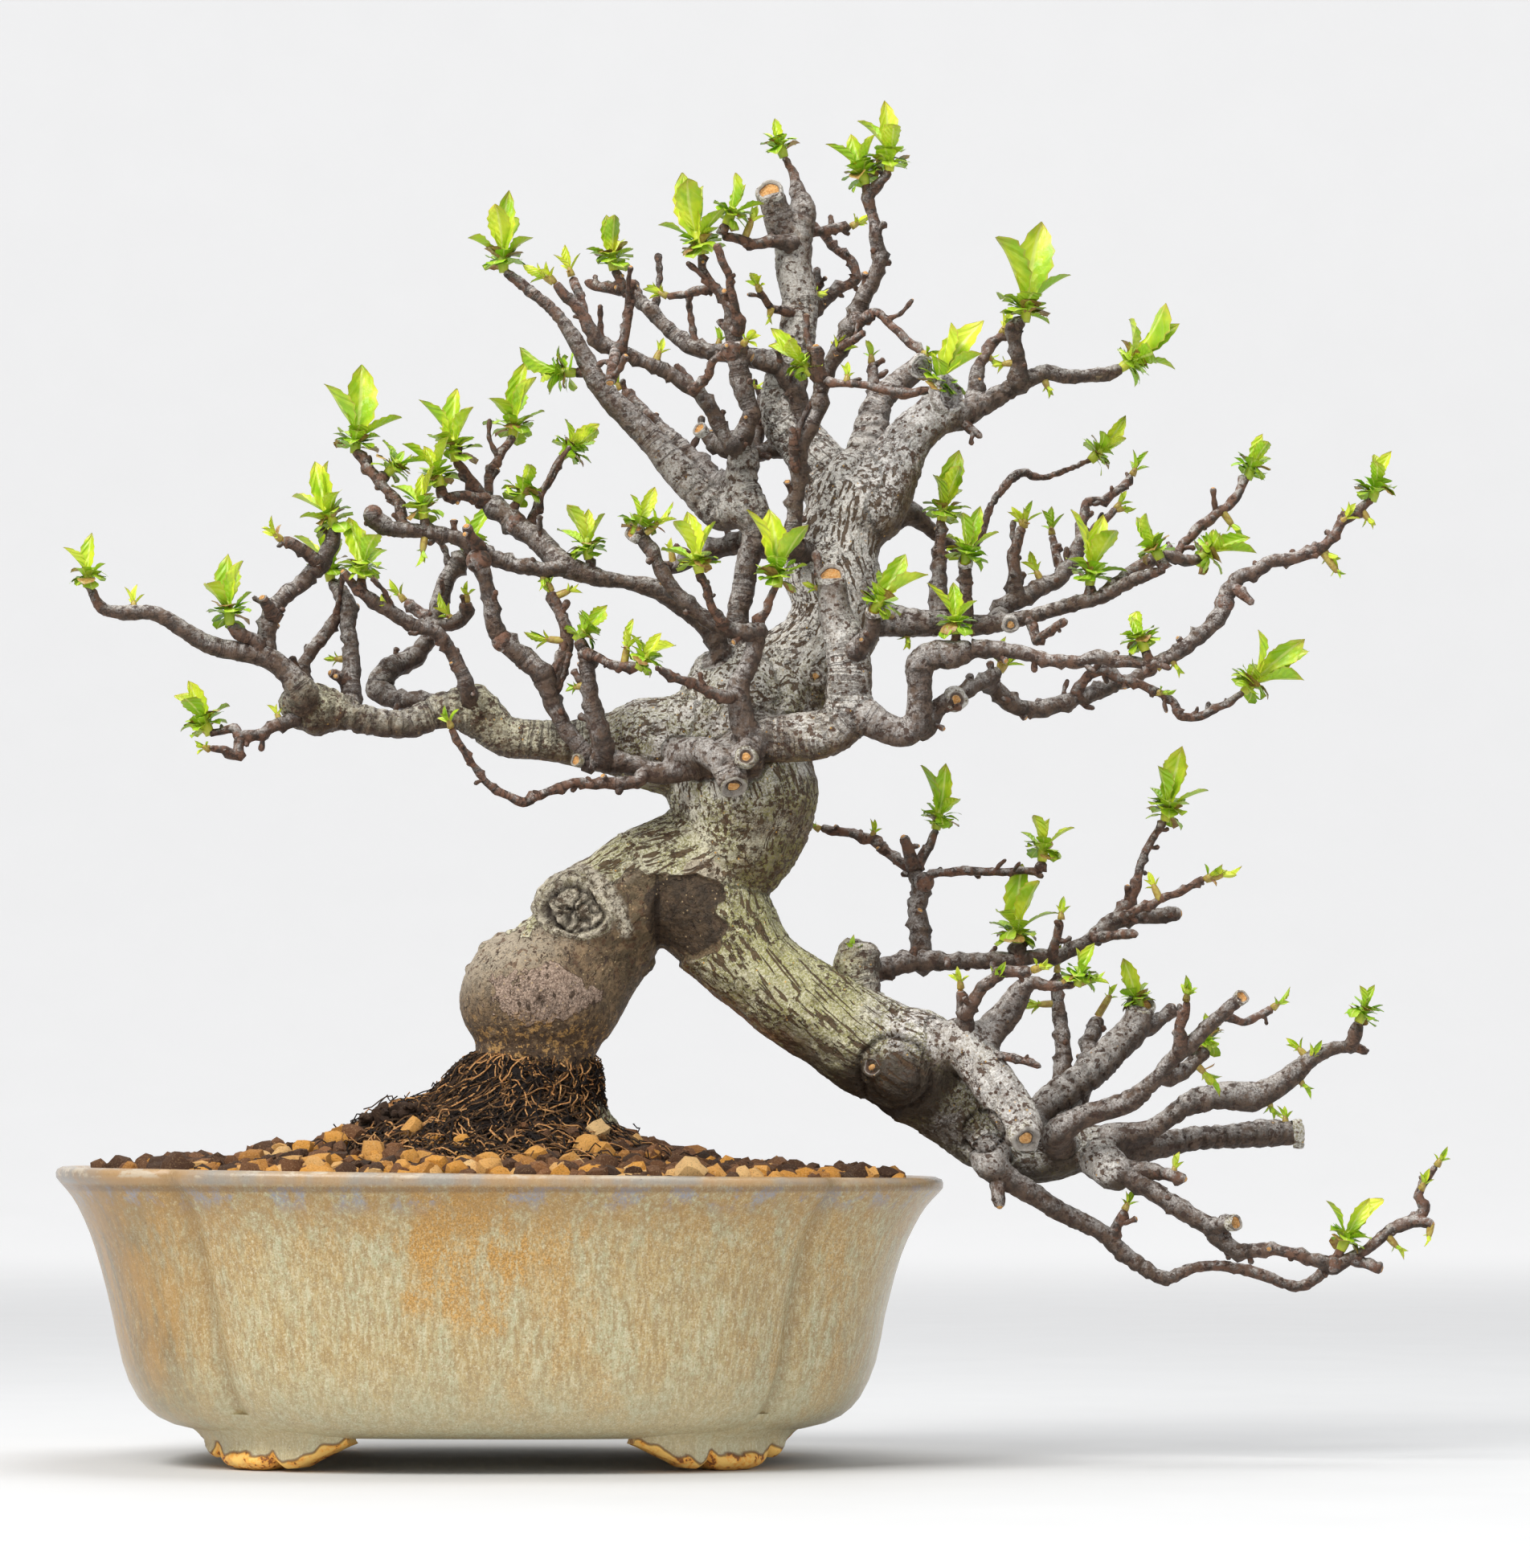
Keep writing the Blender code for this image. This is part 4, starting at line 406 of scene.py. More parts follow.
CROWN = branches("""
    up_left trunk -2 -4: 62 200 3.4, 58.5 211 2.8, 60 219 2.8, 61 226 2.8, 63.5 234 3.4, 61 240 4.7,
        59.5 246 4.2, 60 252 4, 59 256 3.2;
    up_left_stub up_left 2: 56 255 2.6, 49.5 258.7 1.8;
    cross_left trunk 16: 72 228 3, 64 231.5 3, 56 230.5 2.6, 50 228 2.2, 44 225.5 1.7, 38 224.5 1.4;
    up_link up_left 6: 60 253 2.2, 67 254 2, 73 255 1.9;
    up_riser up_link 8: 63 254 1.8, 63.5 262 1.8, 66 269.5 1.9;
    crown_main up_left 6: 54.5 239.5 4.6, 49.5 243.5 4.2, 43 250 3.8, 37.5 256.5 3.3, 32 262 3,
        26.5 267.5 2.7, 22.5 273 2.5, 19.5 279 2.1, 16.5 284 1.8, 12.5 289.5 1.5, 7 294 1.5, 0 299.5 1.2;
    crown_back up_left 28: 52.5 246 3.2, 46 253.5 2.4, 41 258 1.9, 37 262.5 1.5, 29.5 269.5 1.2;
    crown_arch up_left -16 -24: 57 256 2, 54 260 1.8, 52 264 1.8, 49 268.5 1.9, 45 271 1.9, 40 274.5 1.8,
        34 277 1.7, 28 279.5 1.8, 24 281.5 2.1, 22.5 284 1.8, 20 288 1.4, 16 292.5 1.4, 12.5 296.5 1.2;
    arch_tip crown_arch -18: 20 289 1.2, 19 293 1.1, 17 298 1.1;
    arch_stub_a crown_arch -26: 29.5 280 1.3, 31 285 1.1, 32.5 297.5 1.1;
    arch_stub_b crown_arch -28: 28 279 1.4, 26.5 271 1.3;
    arch_twig crown_arch -34: 48 270 1.2, 51 272.5 1, 53 277 1, 60 281 1;
    crown_spray apex 26: 68 277 2.4, 58 278 2.4, 52 279 2, 46 281 2, 42 284 1.9, 38 288 1.8, 34 291.5 1.7,
        30 294 1.4, 24 295.5 1.2, 20 296.5 1;
    spray_spur crown_spray 22: 31 293 1.2, 27.5 300 1;
    top_left up_left -10: 60 258 2.4, 62 264 2.2, 60 269 2.4, 58.5 275 2.5, 58 281 2.3, 57 287 1.9,
        55.5 292 1.5, 52 296 1.2, 50 300 1, 49.5 304 0.9;
    top_twig top_left -18: 59 285 1.4, 57 294 1, 56 299 1, 53 306 1;
    top_left_low top_left 2: 53 295 1.1, 45 293.5 1, 41 293 0.9;
    top_side apex -6: 72 306.5 1.9, 66 306.8 1.4, 62 306 1.3, 58 307.5 1.2, 54.5 308.5 1.1;
    apex_cut apex -6: 74 258 2.6, 74.5 264 2.6, 72.5 270 2.4, 68 275 2.2, 62 277.5 2.1;
    front_wand trunk -14 -20: 72.5 230 2.4, 73 240 2, 73.5 247 2, 74.5 256 2, 78 263 2.2, 79.5 270 2,
        80 274 1.8;
    wand_stub front_wand -22: 73 250 1.2, 72 260.5 1;
    wand_side front_wand -26: 82 271.5 1, 86 271 0.9, 95 269.5 1, 99 268.5 1.3, 103 269 1, 107.5 269.5 0.9;
    wand_cut front_wand -24: 79 273 1.5, 78 281 1.3;
    crown_right front_wand -14 -16: 80 273 2, 84 279 2.2, 87 285 2.7, 89.5 291 2.4, 91.5 296 1.9,
        94 301 1.8, 93.5 306 1.8, 93 310 1.5, 92 314 1.4, 91.5 318 1.5, 95 322.5 1.2, 96.5 325 1;
    crown_right_stub crown_right -22: 84.5 280 1, 90.5 284.3 0.9;
    crown_link apex 20: 71 278 2.4, 75 286 2.3, 79 291.5 2.2, 84 294.5 1.4, 88 297.5 1.2, 87 302 1.1,
        82 306 1.1, 79 310 1.2;
    link_stub crown_link 18: 78 291 1.2, 78.5 300 0.9;
    crown_fall crown_right -26: 89 287 1.6, 93 289 1.1, 96 286.5 1, 101 282 1.1, 105 278.5 0.9;
    apex_side apex 12: 75 309 1.4, 87 310.5 1;
    apex_spur apex -6: 72 289 1.4, 67 290 1, 64 294.5 0.9
""")

RIGHT = branches("""
    right_high trunk 0 4: 90 240 8.5, 97 249 6.6, 100 255 5.6, 104 260 5.2, 108 263.5 5.1, 110 268 4.8;
    right_high_tip right_high 6 14: 113 263 3.6, 118 265 3, 123 267.5 2.6, 128 270.5 2.4, 132 272.5 2.2,
        136 274 2, 140 272.8 1.8, 146 273 1.7, 151 273.5 1.8, 154.5 275 1.5;
    high_fork right_high_tip 4: 128.5 271 2.4, 128.5 276 1.9, 128 281 1.8, 127.5 285 2, 130.5 287 1.4;
    high_twig right_high_tip 22: 117.5 268 2, 118.5 274 1.8, 119.5 277 1.4, 124.5 283.5 1;
    high_stub right_high_tip 2: 114 262 1.2, 119.5 257.5 0.9;
    right_mate trunk 18: 88 248 5, 91 256 4.2, 92.5 263 3.8, 95 268 3.2, 100 272 3, 104 275.5 2.6;
    mate_spur right_mate 22: 92.5 269 1.6, 92 276 1.3;
    right_back trunk 14 34: 94 236 3.5, 101 238.5 3, 106 235 2, 112 230.3 1.5, 116 229.5 1.2, 119 232 1.2,
        120.5 237 1.1, 122.5 241.5 1.1, 126 246 1.2, 129.5 248.8 1.3, 134 247.3 1.1, 140 249 1,
        147 252 0.9;
    front_right trunk -20 -24 -24: 66 182 5, 74 182.5 5.5, 81 183.5 5.3, 86 188 5.2, 86.2 194 5.3,
        86.5 200 5.2, 85.5 206 5, 83 213 4, 82 222 3.3;
    front_right_cut front_right -34: 88 204 2.6, 92 209 2, 92.6 214 1.8;
    front_right_stub front_right -20: 80 219 1.4, 78 229 1;
    jog front_right -25 -30: 90 188 4, 95 185 3.4, 100 183.5 3.4, 103.3 186 3.2, 104 191 3, 104 196 2.9,
        103.7 200.5 3.2, 107 203 3.3, 112 203 3.4, 117 204.5 2.4;
    jog_low jog -16: 105 185 2.6, 109 190 2.2, 113 193 2.2, 117 194.5 1.9, 124 199 1.7;
    right_mid trunk 2 -3 -16: 90 213 4.4, 98 211.5 3.6, 105 211 3.2, 112 211 2.9, 118 210.5 2.6,
        124 211 2.2, 131 212.5 1.9, 138 214.5 1.8, 143 216 2, 149 217.5 1.8, 153 219.5 1.7, 158 222 1.8,
        165.5 224.5 1.2;
    mid_up right_mid 4: 109 213 2.3, 108.5 221 1.9, 109.5 237 1;
    mid_up_cut right_mid -10: 115 212 1.9, 115.5 217 1.6, 115.3 226 1.6;
    mid_red_stub right_mid -18: 133 206.5 1.2, 136.5 209.5 1.1, 140.5 211.5 1.1;
    mid_back right_mid 6 26: 124 213 2.4, 127 216 2.4, 132 218.5 2.2, 138 221.5 2, 142 226 1.8,
        144 232 1.4, 145.5 241 1.1, 150 242 1, 154 244.5 1, 157 248 0.9;
    mid_back_twig mid_back 30: 144 229 1.3, 147 234 1, 153 239.5 0.9;
    mid_back_up mid_back 8: 128 217 1.8, 127.5 228 1.4, 130 235 1.1;
    mid_back_rise mid_back 24: 139 224 1.3, 137 233 1;
    mid_tip right_mid -10 2: 150 218 1.6, 155 222.5 1.5, 160 226 1.5, 165 228 1.7, 170 226.5 1.5,
        174 227.5 1.2;
    mid_tip_rise mid_tip 12: 168 228 1.4, 171 232 1.1, 175 236 1.3, 180 239.5 1.2, 184 244 1.1,
        186 247.5 1;
    far_right jog -30 -38 -32: 118 205 2.4, 124 204.5 2, 131 203 1.7, 137 201.5 1.5, 143 201.5 1.6,
        148 202.5 1.8, 153 201.5 1.6, 161 201 1.4, 166 202.5 1.7, 171 205.5 1.9, 176 210 2, 179.5 214 2.1,
        180.5 218 1.9, 183 222 1.8, 187 223.5 1.7, 191 226 1.7, 196 227 1.6, 204 229.5 1.4, 206.5 232 1.2,
        209 236 1.2, 212 238 1.3, 217 242 1;
    far_stub far_right -40: 183 219.5 1.2, 187 215.5 1;
    low_right jog_low -6 18: 122 195 2, 127 190.5 2.2, 134 189.5 2.2, 141 191.5 2.1, 148 193.8 2,
        154 196 1.8, 163 199.5 1.2;
    low_right_twig low_right 4: 143 194 1.4, 146 198 1.2, 150 199 1.2, 154 197 1.2, 159 195.5 1,
        163 193.5 1, 167 191 1, 169 188 1.2, 173 187.5 1.1, 177 189 1, 185 194 0.9
""")

CASCADE = branches("""
    cascade trunk 0 -4 -2 2 3: 50 142 13.5, 56 133 11.8, 63 125 10.8, 73 117 11, 84 110 11.2, 95 104 12,
        103 100.5 12, 110 94 10.5, 115 87.5 8.6, 121 82 7.3, 128 79 6.4, 136 79 6.2, 143 80.5 5.8,
        150 80.5 4.6;
    cut_limb cascade -12 -20: 113 107 5, 118 102 5.2, 123 95 5.3, 128 88 5.2, 130.5 82.5 4.4;
    cut_limb_spur cut_limb -18: 116 104 2, 115.5 108 2, 115 113 2, 114 120 1.2;
    cut_limb_twig cut_limb_spur -26: 115.5 114 1.6, 117.5 118 1.5, 124 123.5 1.6, 132 124.5 1.3;
    cut_limb_rise cut_limb -12: 118 105 4, 122 110 3.6, 126 114.5 3.4, 128.5 119 2.8, 131 121.5 1.8,
        136 120.5 1.3, 143 121 1.2;
    knob cascade -1: 90 117 3.8, 88 125 4.6, 87.5 131 3.6;
    upper_arm knob 2 12: 92 124.5 2.8, 100 126 2.5, 106 127 2.6, 112 126.5 2, 118 126.8 2, 124 127 1.9,
        130 127.5 1.9, 137 128 1.8, 142 129.5 1.8, 147 132.5 2, 151 135.5 2.3, 156 137.5 2, 163 138 1.9,
        169 138.5 1.8;
    arm_riser upper_arm 14: 104.5 128 2.2, 104 133 2.3, 103.5 140 2.2, 104 145 2, 102.5 149.5 2.2;
    arm_left arm_riser 26: 102.5 149.5 1.4, 99 151.5 1.2, 95 154.5 1.2, 92 157 1.2, 87 158.3 1.2,
        79 159.5 1;
    arm_stub arm_riser 12: 102 149.5 1.5, 99.5 158 1.3;
    arm_tip arm_riser 18: 103 150 1.4, 106 155 1, 108 160 0.9;
    arm_side arm_riser 4: 104.5 146 1.1, 108 148.5 1, 120 149 1, 134 149 0.9;
    arm_up upper_arm 22: 151 136 1.5, 156 141.5 1.3, 158 147 1.1, 159.5 153 1, 165 162 0.9;
    arm_far upper_arm 2: 155 138 1.2, 165 142.5 1, 175 147 0.9;
    arm_twig upper_arm 2: 137 129.5 1.2, 139 137 0.9;
    arm_spur upper_arm 0: 148 132.5 1.4, 158 133.5 1;
    arm_stump upper_arm 6: 128 127 2, 128 131.5 1.9;
    pole_a cascade 16: 139 86 2.4, 139 97 2.2, 139.5 105 1.9, 138.5 113 1.8, 138 124 1.1;
    pole_b cascade 22: 143 88 2.4, 144.5 98 2.2, 146.5 107 2, 148 113 2.2;
    fan_a cascade 4 14: 130 84 4, 134 90 3.5, 139 94 4, 146 99 3.8, 152 105 3.8, 157 110 3.6,
        158.5 115 3.2;
    fan_a_tip fan_a 20: 161 110.5 2, 164 112.5 1.8, 167 116 1.5;
    fan_b cascade -9 -26: 138 84 3.4, 144 88 2.8, 150 90 2.6, 156 92 2.6, 163 98 2, 166 102 2, 171 106 2,
        176 111 1.9, 183.5 117.5 1.6;
    fan_b_tip fan_b -18: 180 113 1.2, 184 111.5 1, 191.5 115 1;
    fan_b_up fan_b -26: 168.5 105 1.6, 168.5 110 1.4, 170 117 1;
    fan_b_side fan_b -12: 165 98 1.8, 169 99 1.9, 175 105 1.6;
    tail cascade 1 8: 151 83 3.2, 160 84.5 2.6, 165 87.5 2.4, 172 92 3, 180 93.5 3.4, 186 93 3.2,
        192 95.5 2.8, 197 99 2.5, 201 102.5 2.1, 206 105 1.8, 211 105.5 1.6, 215.5 104 1;
    tail_twig tail 4: 211 106 1.6, 213 112 1.4;
    tail_mate cascade 5 20: 152 79 3.6, 159 80.5 3.3, 165 81.5 3.1, 171 82.5 2.9, 178 83 2.8, 184 83.5 3,
        190 84 3.3, 197 84 2.8;
    burl cascade -6: 148 78 4.4, 152 74.5 4.6;
    burl_stub burl -12: 158 75 2.2, 164 74 1.6, 170 72.5 1.2;
    low_tail burl -8 -18 -12: 155 74 2.8, 160 71 2.2, 165 67 2.3, 171 63.5 2.3, 176 60.5 2.3, 179 57 2.2,
        183 55 1.8, 190 55.3 1.6, 197 54 1.4, 206 51.5 2, 212 54 1.4, 217 57 1.3, 221 60.5 1.5,
        226 62.5 1.6, 228.5 65 1.3, 227.5 69 1, 229.5 73 0.9, 232 76 0.9;
    low_tail_cut low_tail -20: 177 61 1.9, 181.5 61.8 1.8;
    low_tail_side low_tail -16: 226 62 1.3, 231.5 61.5 1.2;
    low_tail_tip low_tail -18: 210 52.5 1.4, 218.5 50 1.2;
    under_tail cascade -8 -2 -6: 121 77 4, 125 73 3, 131 69.5 2.6, 137 65.5 2.4, 143 62.5 2.3,
        149 59.5 2.2, 154 54.5 2.2, 159 51 2, 164.5 48 1.8, 171 50.5 1.5, 177 51.3 1.4, 183 50.5 1.5,
        190 48.5 1.5, 198 46 1.5, 205 50.5 1.6;
    under_stub under_tail -12: 123.3 72 1.8, 123.5 65.5 1.4;
    under_spur under_tail -6: 151.5 58 1.4, 154.5 65 1;
    dry_twig cut_limb -20: 123 103 1.2, 130 102 0.9, 134 100.5 0.9
""")
BRANCHES = TRUNK + LEFT + CROWN + RIGHT + CASCADE

# Each shoot of young leaves is its branch, its base x and z, where its longest leaf points to, and its size.
SHOOTS = table("""
    left_tip -104 221 -104 234 10, left_tip_spur -68 211.5 -69.5 229 17, left_rise -42 235.5 -49 252 18,
    left_sweep -33 222 -31 240 14, left_up -44 223 -46 240 13, left_low_twig -74 184 -79 197 13,
    mid_low_top -37 254.5 -34 277 19, mid_low_top -31 246 -24 254 11, mid_low -19 235 -21 249 13,
    mid_tip_c -15.5 242.5 -19 256 14, mid_tip_a -12 252.5 -13 271 18, mid_tip_b 3 258.5 4 277 17,
    mid_high 2 238 8 250 11, mid_tip_d 15 253.5 24 262 13, mid_arm 22 223 20 240 15,
    front_arm 33 234 38 246 11, front_arm_twig 49 224.5 46 240 15, front_tip 69 221 69.5 240 17,
    riser_c 34.5 200 40 209 11, riser_a 18.5 207.5 26 216 11, crown_main -0.5 300 -2 320 18,
    spray_spur 27.5 300.5 26 314 14, crown_main 22 273.5 8 274 14, top_left 49.5 304.5 44 325 19,
    top_side 54 309 60 322 12, apex 70 329 67 338 8, crown_right 90.5 318.5 86 334 13,
    crown_right 96.5 325.5 96.5 343 16, front_wand 76 271 65 284 14, wand_side 107.5 270 118 289 17,
    high_fork 130.5 287.5 132.5 313 24, right_high_tip 155 275.5 170 286 18,
    right_back 147.5 252.5 157 262 11, mid_up 109.5 237.5 112.5 255 16,
    front_right_cut 92.8 214.5 101 229 14, mid_up_cut 115.3 226.5 118 241 14, right_mid 146 217 148 239 19,
    mid_tip 174.5 227.5 186 234 13, mid_tip_rise 186 248 190 259 11, low_right_twig 185.5 194.5 199 209 18,
    far_right 217.5 242.5 221 255 12, right_mid 165.5 225 158 238 11, jog 112 206.5 112 222 12,
    arm_tip 108.3 160.5 112 176 14, arm_stump 128 132 128 152 19, arm_side 134.5 149.5 136 163 12,
    arm_up 165.3 162.5 169 181 18, cut_limb_rise 143.5 121.5 147 132 10, fan_a 158.5 115.5 155 128 11,
    fan_b_side 175.3 105.5 176 114 9, low_tail 206 53 213.5 69.5 15, left_back -9.5 229 -4 243 10,
    far_right 161 202 157 213 10, tail_twig 213.2 112.5 217 121 9
""")

# Single opening buds on the wood, each a branch, its seen x and z, and its size
BUDS = table("""
    left_tip -92 216 6, left_rise_twig -56 232.5 7, left_low -73.5 180 5, left_up -41.5 202 5,
    left_back_spur -25 217 6, left_back_twig -9 217 6, riser_b 12 219.5 6, hanging_twig -13 185.5 6,
    crown_arch 12.5 297 6, arch_tip 17 298.5 7, crown_back 29 270 6, arch_twig 60.5 281.5 6,
    top_left_low 40.5 293.5 6, apex_spur 64 295 6, apex_side 87.5 311 6, high_twig 125 284 7,
    mate_spur 92 276.5 6, mid_back 157.5 248.5 7, mid_back_twig 153.5 240 6, mid_back_up 130.3 235.5 7,
    mid_back_rise 137 233.5 7, jog_low 124.5 199.5 7, low_right 163.5 200 6, cut_limb_twig 132.5 125 6,
    cut_limb_spur 114 120.5 6, arm_far 175.5 147.5 7, arm_left 78.5 160 6, fan_b_up 170 117.5 6,
    fan_b_tip 192 115.5 6, low_tail 232.5 76.5 5, tail 199 101 6, crown_fall 105.3 278 6,
    pole_a 138 124.5 6, far_right 209 236 6
""")

# Small knobs and burls that stand proud of the wood, as x, z and radius
KNOBS = table("""
    -9 228.5 3.2, -15 227.5 2, -20 228 1.6, 158 94.5 2.4, 162 96.5 2, 27 178 2.6, 47 174 3.4, 153 73.5 4.4,
    78 314 2, 128 128.5 2.4, 104.5 147 2.6, -46 189 6.2, -7 189 6, 0 206.5 2.8, -33 238 2.4, 4 237 3,
    59 241 4.8, 103 100 13, 88 126 5, 186 93.5 3.7, 206 52 2.4, 104 201 3.6, 180 216 2.5, 173 93 3.5,
    57 279 2.6
""")

# Cut faces on the wood, as x, z, radius, sideways turn of the face in degrees, and kind
CUTS = table("""
    57.5 170.5 3.2 0 callus, 33 233.5 2.2 -30 fresh, 92.6 214 2 10 fresh, 82 222 3.2 0 fresh,
    115.3 226 1.7 0 fresh, 126.5 210.5 2 0 callus, 110 268 4.4 20 old, 104 275.5 2.8 0 old,
    197 84 3.4 80 broken, 130 83 3.6 20 callus, 158.5 115 3.3 0 fresh, 183.5 117.5 1.7 0 fresh,
    92 100.5 1.5 0 eye, 60.7 177.4 1.35 0 eye, 18.8 176.6 1.5 -10 fresh, 49.4 259.3 1.7 -30 fresh,
    72 240.2 1.1 0 fresh, 72.5 232.7 1 0 fresh, 80 217.7 1.1 0 fresh, 89.2 205.6 1.9 0 fresh,
    78 197.7 1.3 0 eye, 84.4 178.9 1 0 fresh, 107.7 208.6 1 0 fresh, 112.9 191.7 1.5 0 eye,
    114.7 100.8 1 0 fresh, 181.5 61.8 1.9 40 fresh, 66.8 318.5 3.2 0 broad
""")

# More small buds along the twigs, as x, z and size
SMALL_BUDS = table("""
    -56 188 5, -27 214 5, -13.5 213 7, -20 229 5, 10 222 5, 16.5 219 5, 9 182 4, 18 195 4, 42 229 5,
    16 254 4, 10 298 7, 39 279 5, 54 282 5, 39 294 5, 62 270 4, 75 293 5, 66.5 288 4, 88 311 5, 86 273 5,
    121.5 277.5 5, 136 270 5, 125 276 5, 101 208 5, 80 218 5, 155 239.5 5, 129.5 236 6, 133 224 6,
    176 231 6, 182 235.5 6, 216 237 5, 205.5 228.5 6, 208 224 4, 162.5 193 5, 167 201.5 5, 121 122 6,
    133.5 116 6, 134 125 5, 139 138 5, 162 145.5 5, 179 148 6, 151 118 5, 170 118 5, 198 105 6, 199 96 5,
    194.5 88 5, 191 90.5 6, 167 75.5 5, 155 66 5, 228 70 5, 222 56 5, 230 58.5 4, 141.5 92.5 5, 92.5 159 5,
    31 205 8, -74 184 6, 38.5 236 8, 62 312 7, 81.5 277 8, 84 254 9, 124 201 8, 146 122 7, 88 124 7,
    174.5 99 8, 11 207 7, -28 249 8
""")


def set_back(x: float, z: float, depth: float) -> Vector:
    """The place at this depth that is seen at (x, z) of the plane y = 0.

    Args:
        x: how far right it is seen.
        z: how high it is seen.
        depth: how far behind the plane it is.

    Returns:
        The place in space.
    """
    scale = 1 + depth / -EYE.y
    return Vector((EYE.x + (x - EYE.x) * scale, depth, EYE.z + (z - EYE.z) * scale))


def seen_at(place: Vector) -> tuple[float, float]:
    """Where a place is seen, in the plane y = 0."""
    scale = 1 + place.y / -EYE.y
    return EYE.x + (place.x - EYE.x) / scale, EYE.z + (place.z - EYE.z) / scale


def nearest_on(stations: Stations, x: float, z: float) -> tuple[Vector, float, Vector]:
    """The point, radius and direction on a branch that are seen nearest to (x, z).

    Args:
        stations: the branch.
        x: how far right it is seen.
        z: how high it is seen.

    Returns:
        The point, the radius there and the direction there.
    """
    best = None
    for (a, ra), (b, rb) in zip(stations, stations[1:]):
        (ax, az), (bx, bz) = seen_at(a), seen_at(b)
        run = (bx - ax) ** 2 + (bz - az) ** 2
        share = 0 if run == 0 else ((x - ax) * (bx - ax) + (z - az) * (bz - az)) / run
        share = min(1, max(0, share))
        away = hypot(ax + (bx - ax) * share - x, az + (bz - az) * share - z)
        if best is None or away < best[0]:
            best = away, a.lerp(b, share), ra + (rb - ra) * share, (b - a).normalized()
    return best[1:]


def grow() -> dict[str, Stations]:
    """Grows every branch from the middle line of the one that it stands on.

    Returns:
        The stations in space, by branch.
    """
    grown: dict[str, Stations] = {}
    for name, parent, depths, seen in BRANCHES:
        stops = list(depths)
        stations: Stations = []
        if parent in grown:
            root, root_r, _ = nearest_on(grown[parent], *seen[0][:2])
            if len(stops) == 1:
                stops = [root.y + (stops[0] - root.y) * 0.35] + stops
            stations.append((root, min(seen[0][2] * 1.05, root_r * 0.85)))
        lengths = [0.0]
        for (xa, za, _), (xb, zb, _) in zip(seen, seen[1:]):
            lengths.append(lengths[-1] + hypot(xb - xa, zb - za))
        for (x, z, r), length in zip(seen, lengths):
            place = length / max(lengths[-1], 0.001) * (len(stops) - 1)
            before = min(int(place), len(stops) - 2)
            depth = stops[before] + (stops[before + 1] - stops[before]) * (place - before)
            point = set_back(x, z, depth)
            if stations and (point - stations[-1][0]).length < 1.2:
                continue
            stations.append((point, r * (1 + depth / -EYE.y)))
        grown[name] = stations
    return grown


class Clearance:
    """Tells how far a point is from the wood and which way the wood runs there."""

    def __init__(self, branches: list[Stations]) -> None:
        """Keeps the wood's straight runs.

        Args:
            branches: the branches to keep clear of.
        """
        runs = [(a, ra, b, rb) for stations in branches for (a, ra), (b, rb) in zip(stations, stations[1:])]
        self.starts = np.array([run[0] for run in runs])
        self.run = np.array([run[2] for run in runs]) - self.starts
        self.start_r = np.array([run[1] for run in runs])
        self.grow_r = np.array([run[3] for run in runs]) - self.start_r
        self.square = (self.run ** 2).sum(axis=1)

    def nearest(self, point: np.ndarray) -> tuple[float, int, float]:
        """The nearest run.

        Args:
            point: the place to look from.

        Returns:
            The distance to the bark, the run's number and the share of the way along it.
        """
        share = np.clip(((point - self.starts) * self.run).sum(axis=1) / self.square, 0, 1)
        away = np.linalg.norm(point - self.starts - self.run * share[:, None], axis=1)
        away -= self.start_r + self.grow_r * share
        best = int(away.argmin())
        return float(away[best]), best, float(share[best])

    def wood(self, point: Vector) -> float:
        """The distance from this point to the nearest bark."""
        return self.nearest(np.array(point))[0]


def deselect() -> None:
    """Leaves nothing selected, as a new piece begins."""
    if bpy.context.object and bpy.context.object.mode != "OBJECT":
        bpy.ops.object.mode_set(mode="OBJECT")
    bpy.ops.object.select_all(action="DESELECT")


def pick(made: Object) -> None:
    """Selects one object alone and makes it the active one."""
    deselect()
    bpy.context.view_layer.objects.active = made
    made.select_set(True)


def dress(made: Object, finish: Material, slot: Slot, *nodes: str) -> Object:
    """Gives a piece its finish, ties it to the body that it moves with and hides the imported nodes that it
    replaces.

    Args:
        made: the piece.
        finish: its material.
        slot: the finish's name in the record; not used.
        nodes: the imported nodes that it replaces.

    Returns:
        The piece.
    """
    made.data.materials.clear()
    made.data.materials.append(finish)
    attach(made, BODY)
    for node in nodes:
        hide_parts(node)
    LOG.info("%s: %d faces", made.name, len(made.data.polygons))
    return made


def net(rings: int, sides: int) -> list[tuple[int, ...]]:
    """The faces between closed rings that have this many points each."""
    return [(i * sides + j, i * sides + (j + 1) % sides, (i + 1) * sides + (j + 1) % sides,
        (i + 1) * sides + j) for i in range(rings - 1) for j in range(sides)]


def splay(axis: Vector, side: Vector, angle: float, lean: float) -> tuple[Vector, Vector]:
    """A direction that leans off an axis.

    Args:
        axis: the axis.
        side: a direction square to it.
        angle: how far round the axis the lean is.
        lean: how far it leans.

    Returns:
        The way that it leans, and the direction.
    """
    out = side * cos(angle) + axis.cross(side) * sin(angle)
    return out, axis * cos(lean) + out * sin(lean)


def clip(value: float) -> float:
    """Holds a share between 0 and 1."""
    return max(0.0, min(1.0, value))


def bell(off: float, width: float, power: float = 2) -> float:
    """A smooth bump that is 1 in the middle and falls off over a width."""
    return exp(-(off / width) ** power)


def read_points(mesh: Mesh, kind: str = "co") -> np.ndarray:
    """The places or normals of a mesh's points, one to a row."""
    flat = np.empty(len(mesh.vertices) * 3, np.float32)
    mesh.vertices.foreach_get(kind, flat)
    return flat.reshape(-1, 3).astype(float)


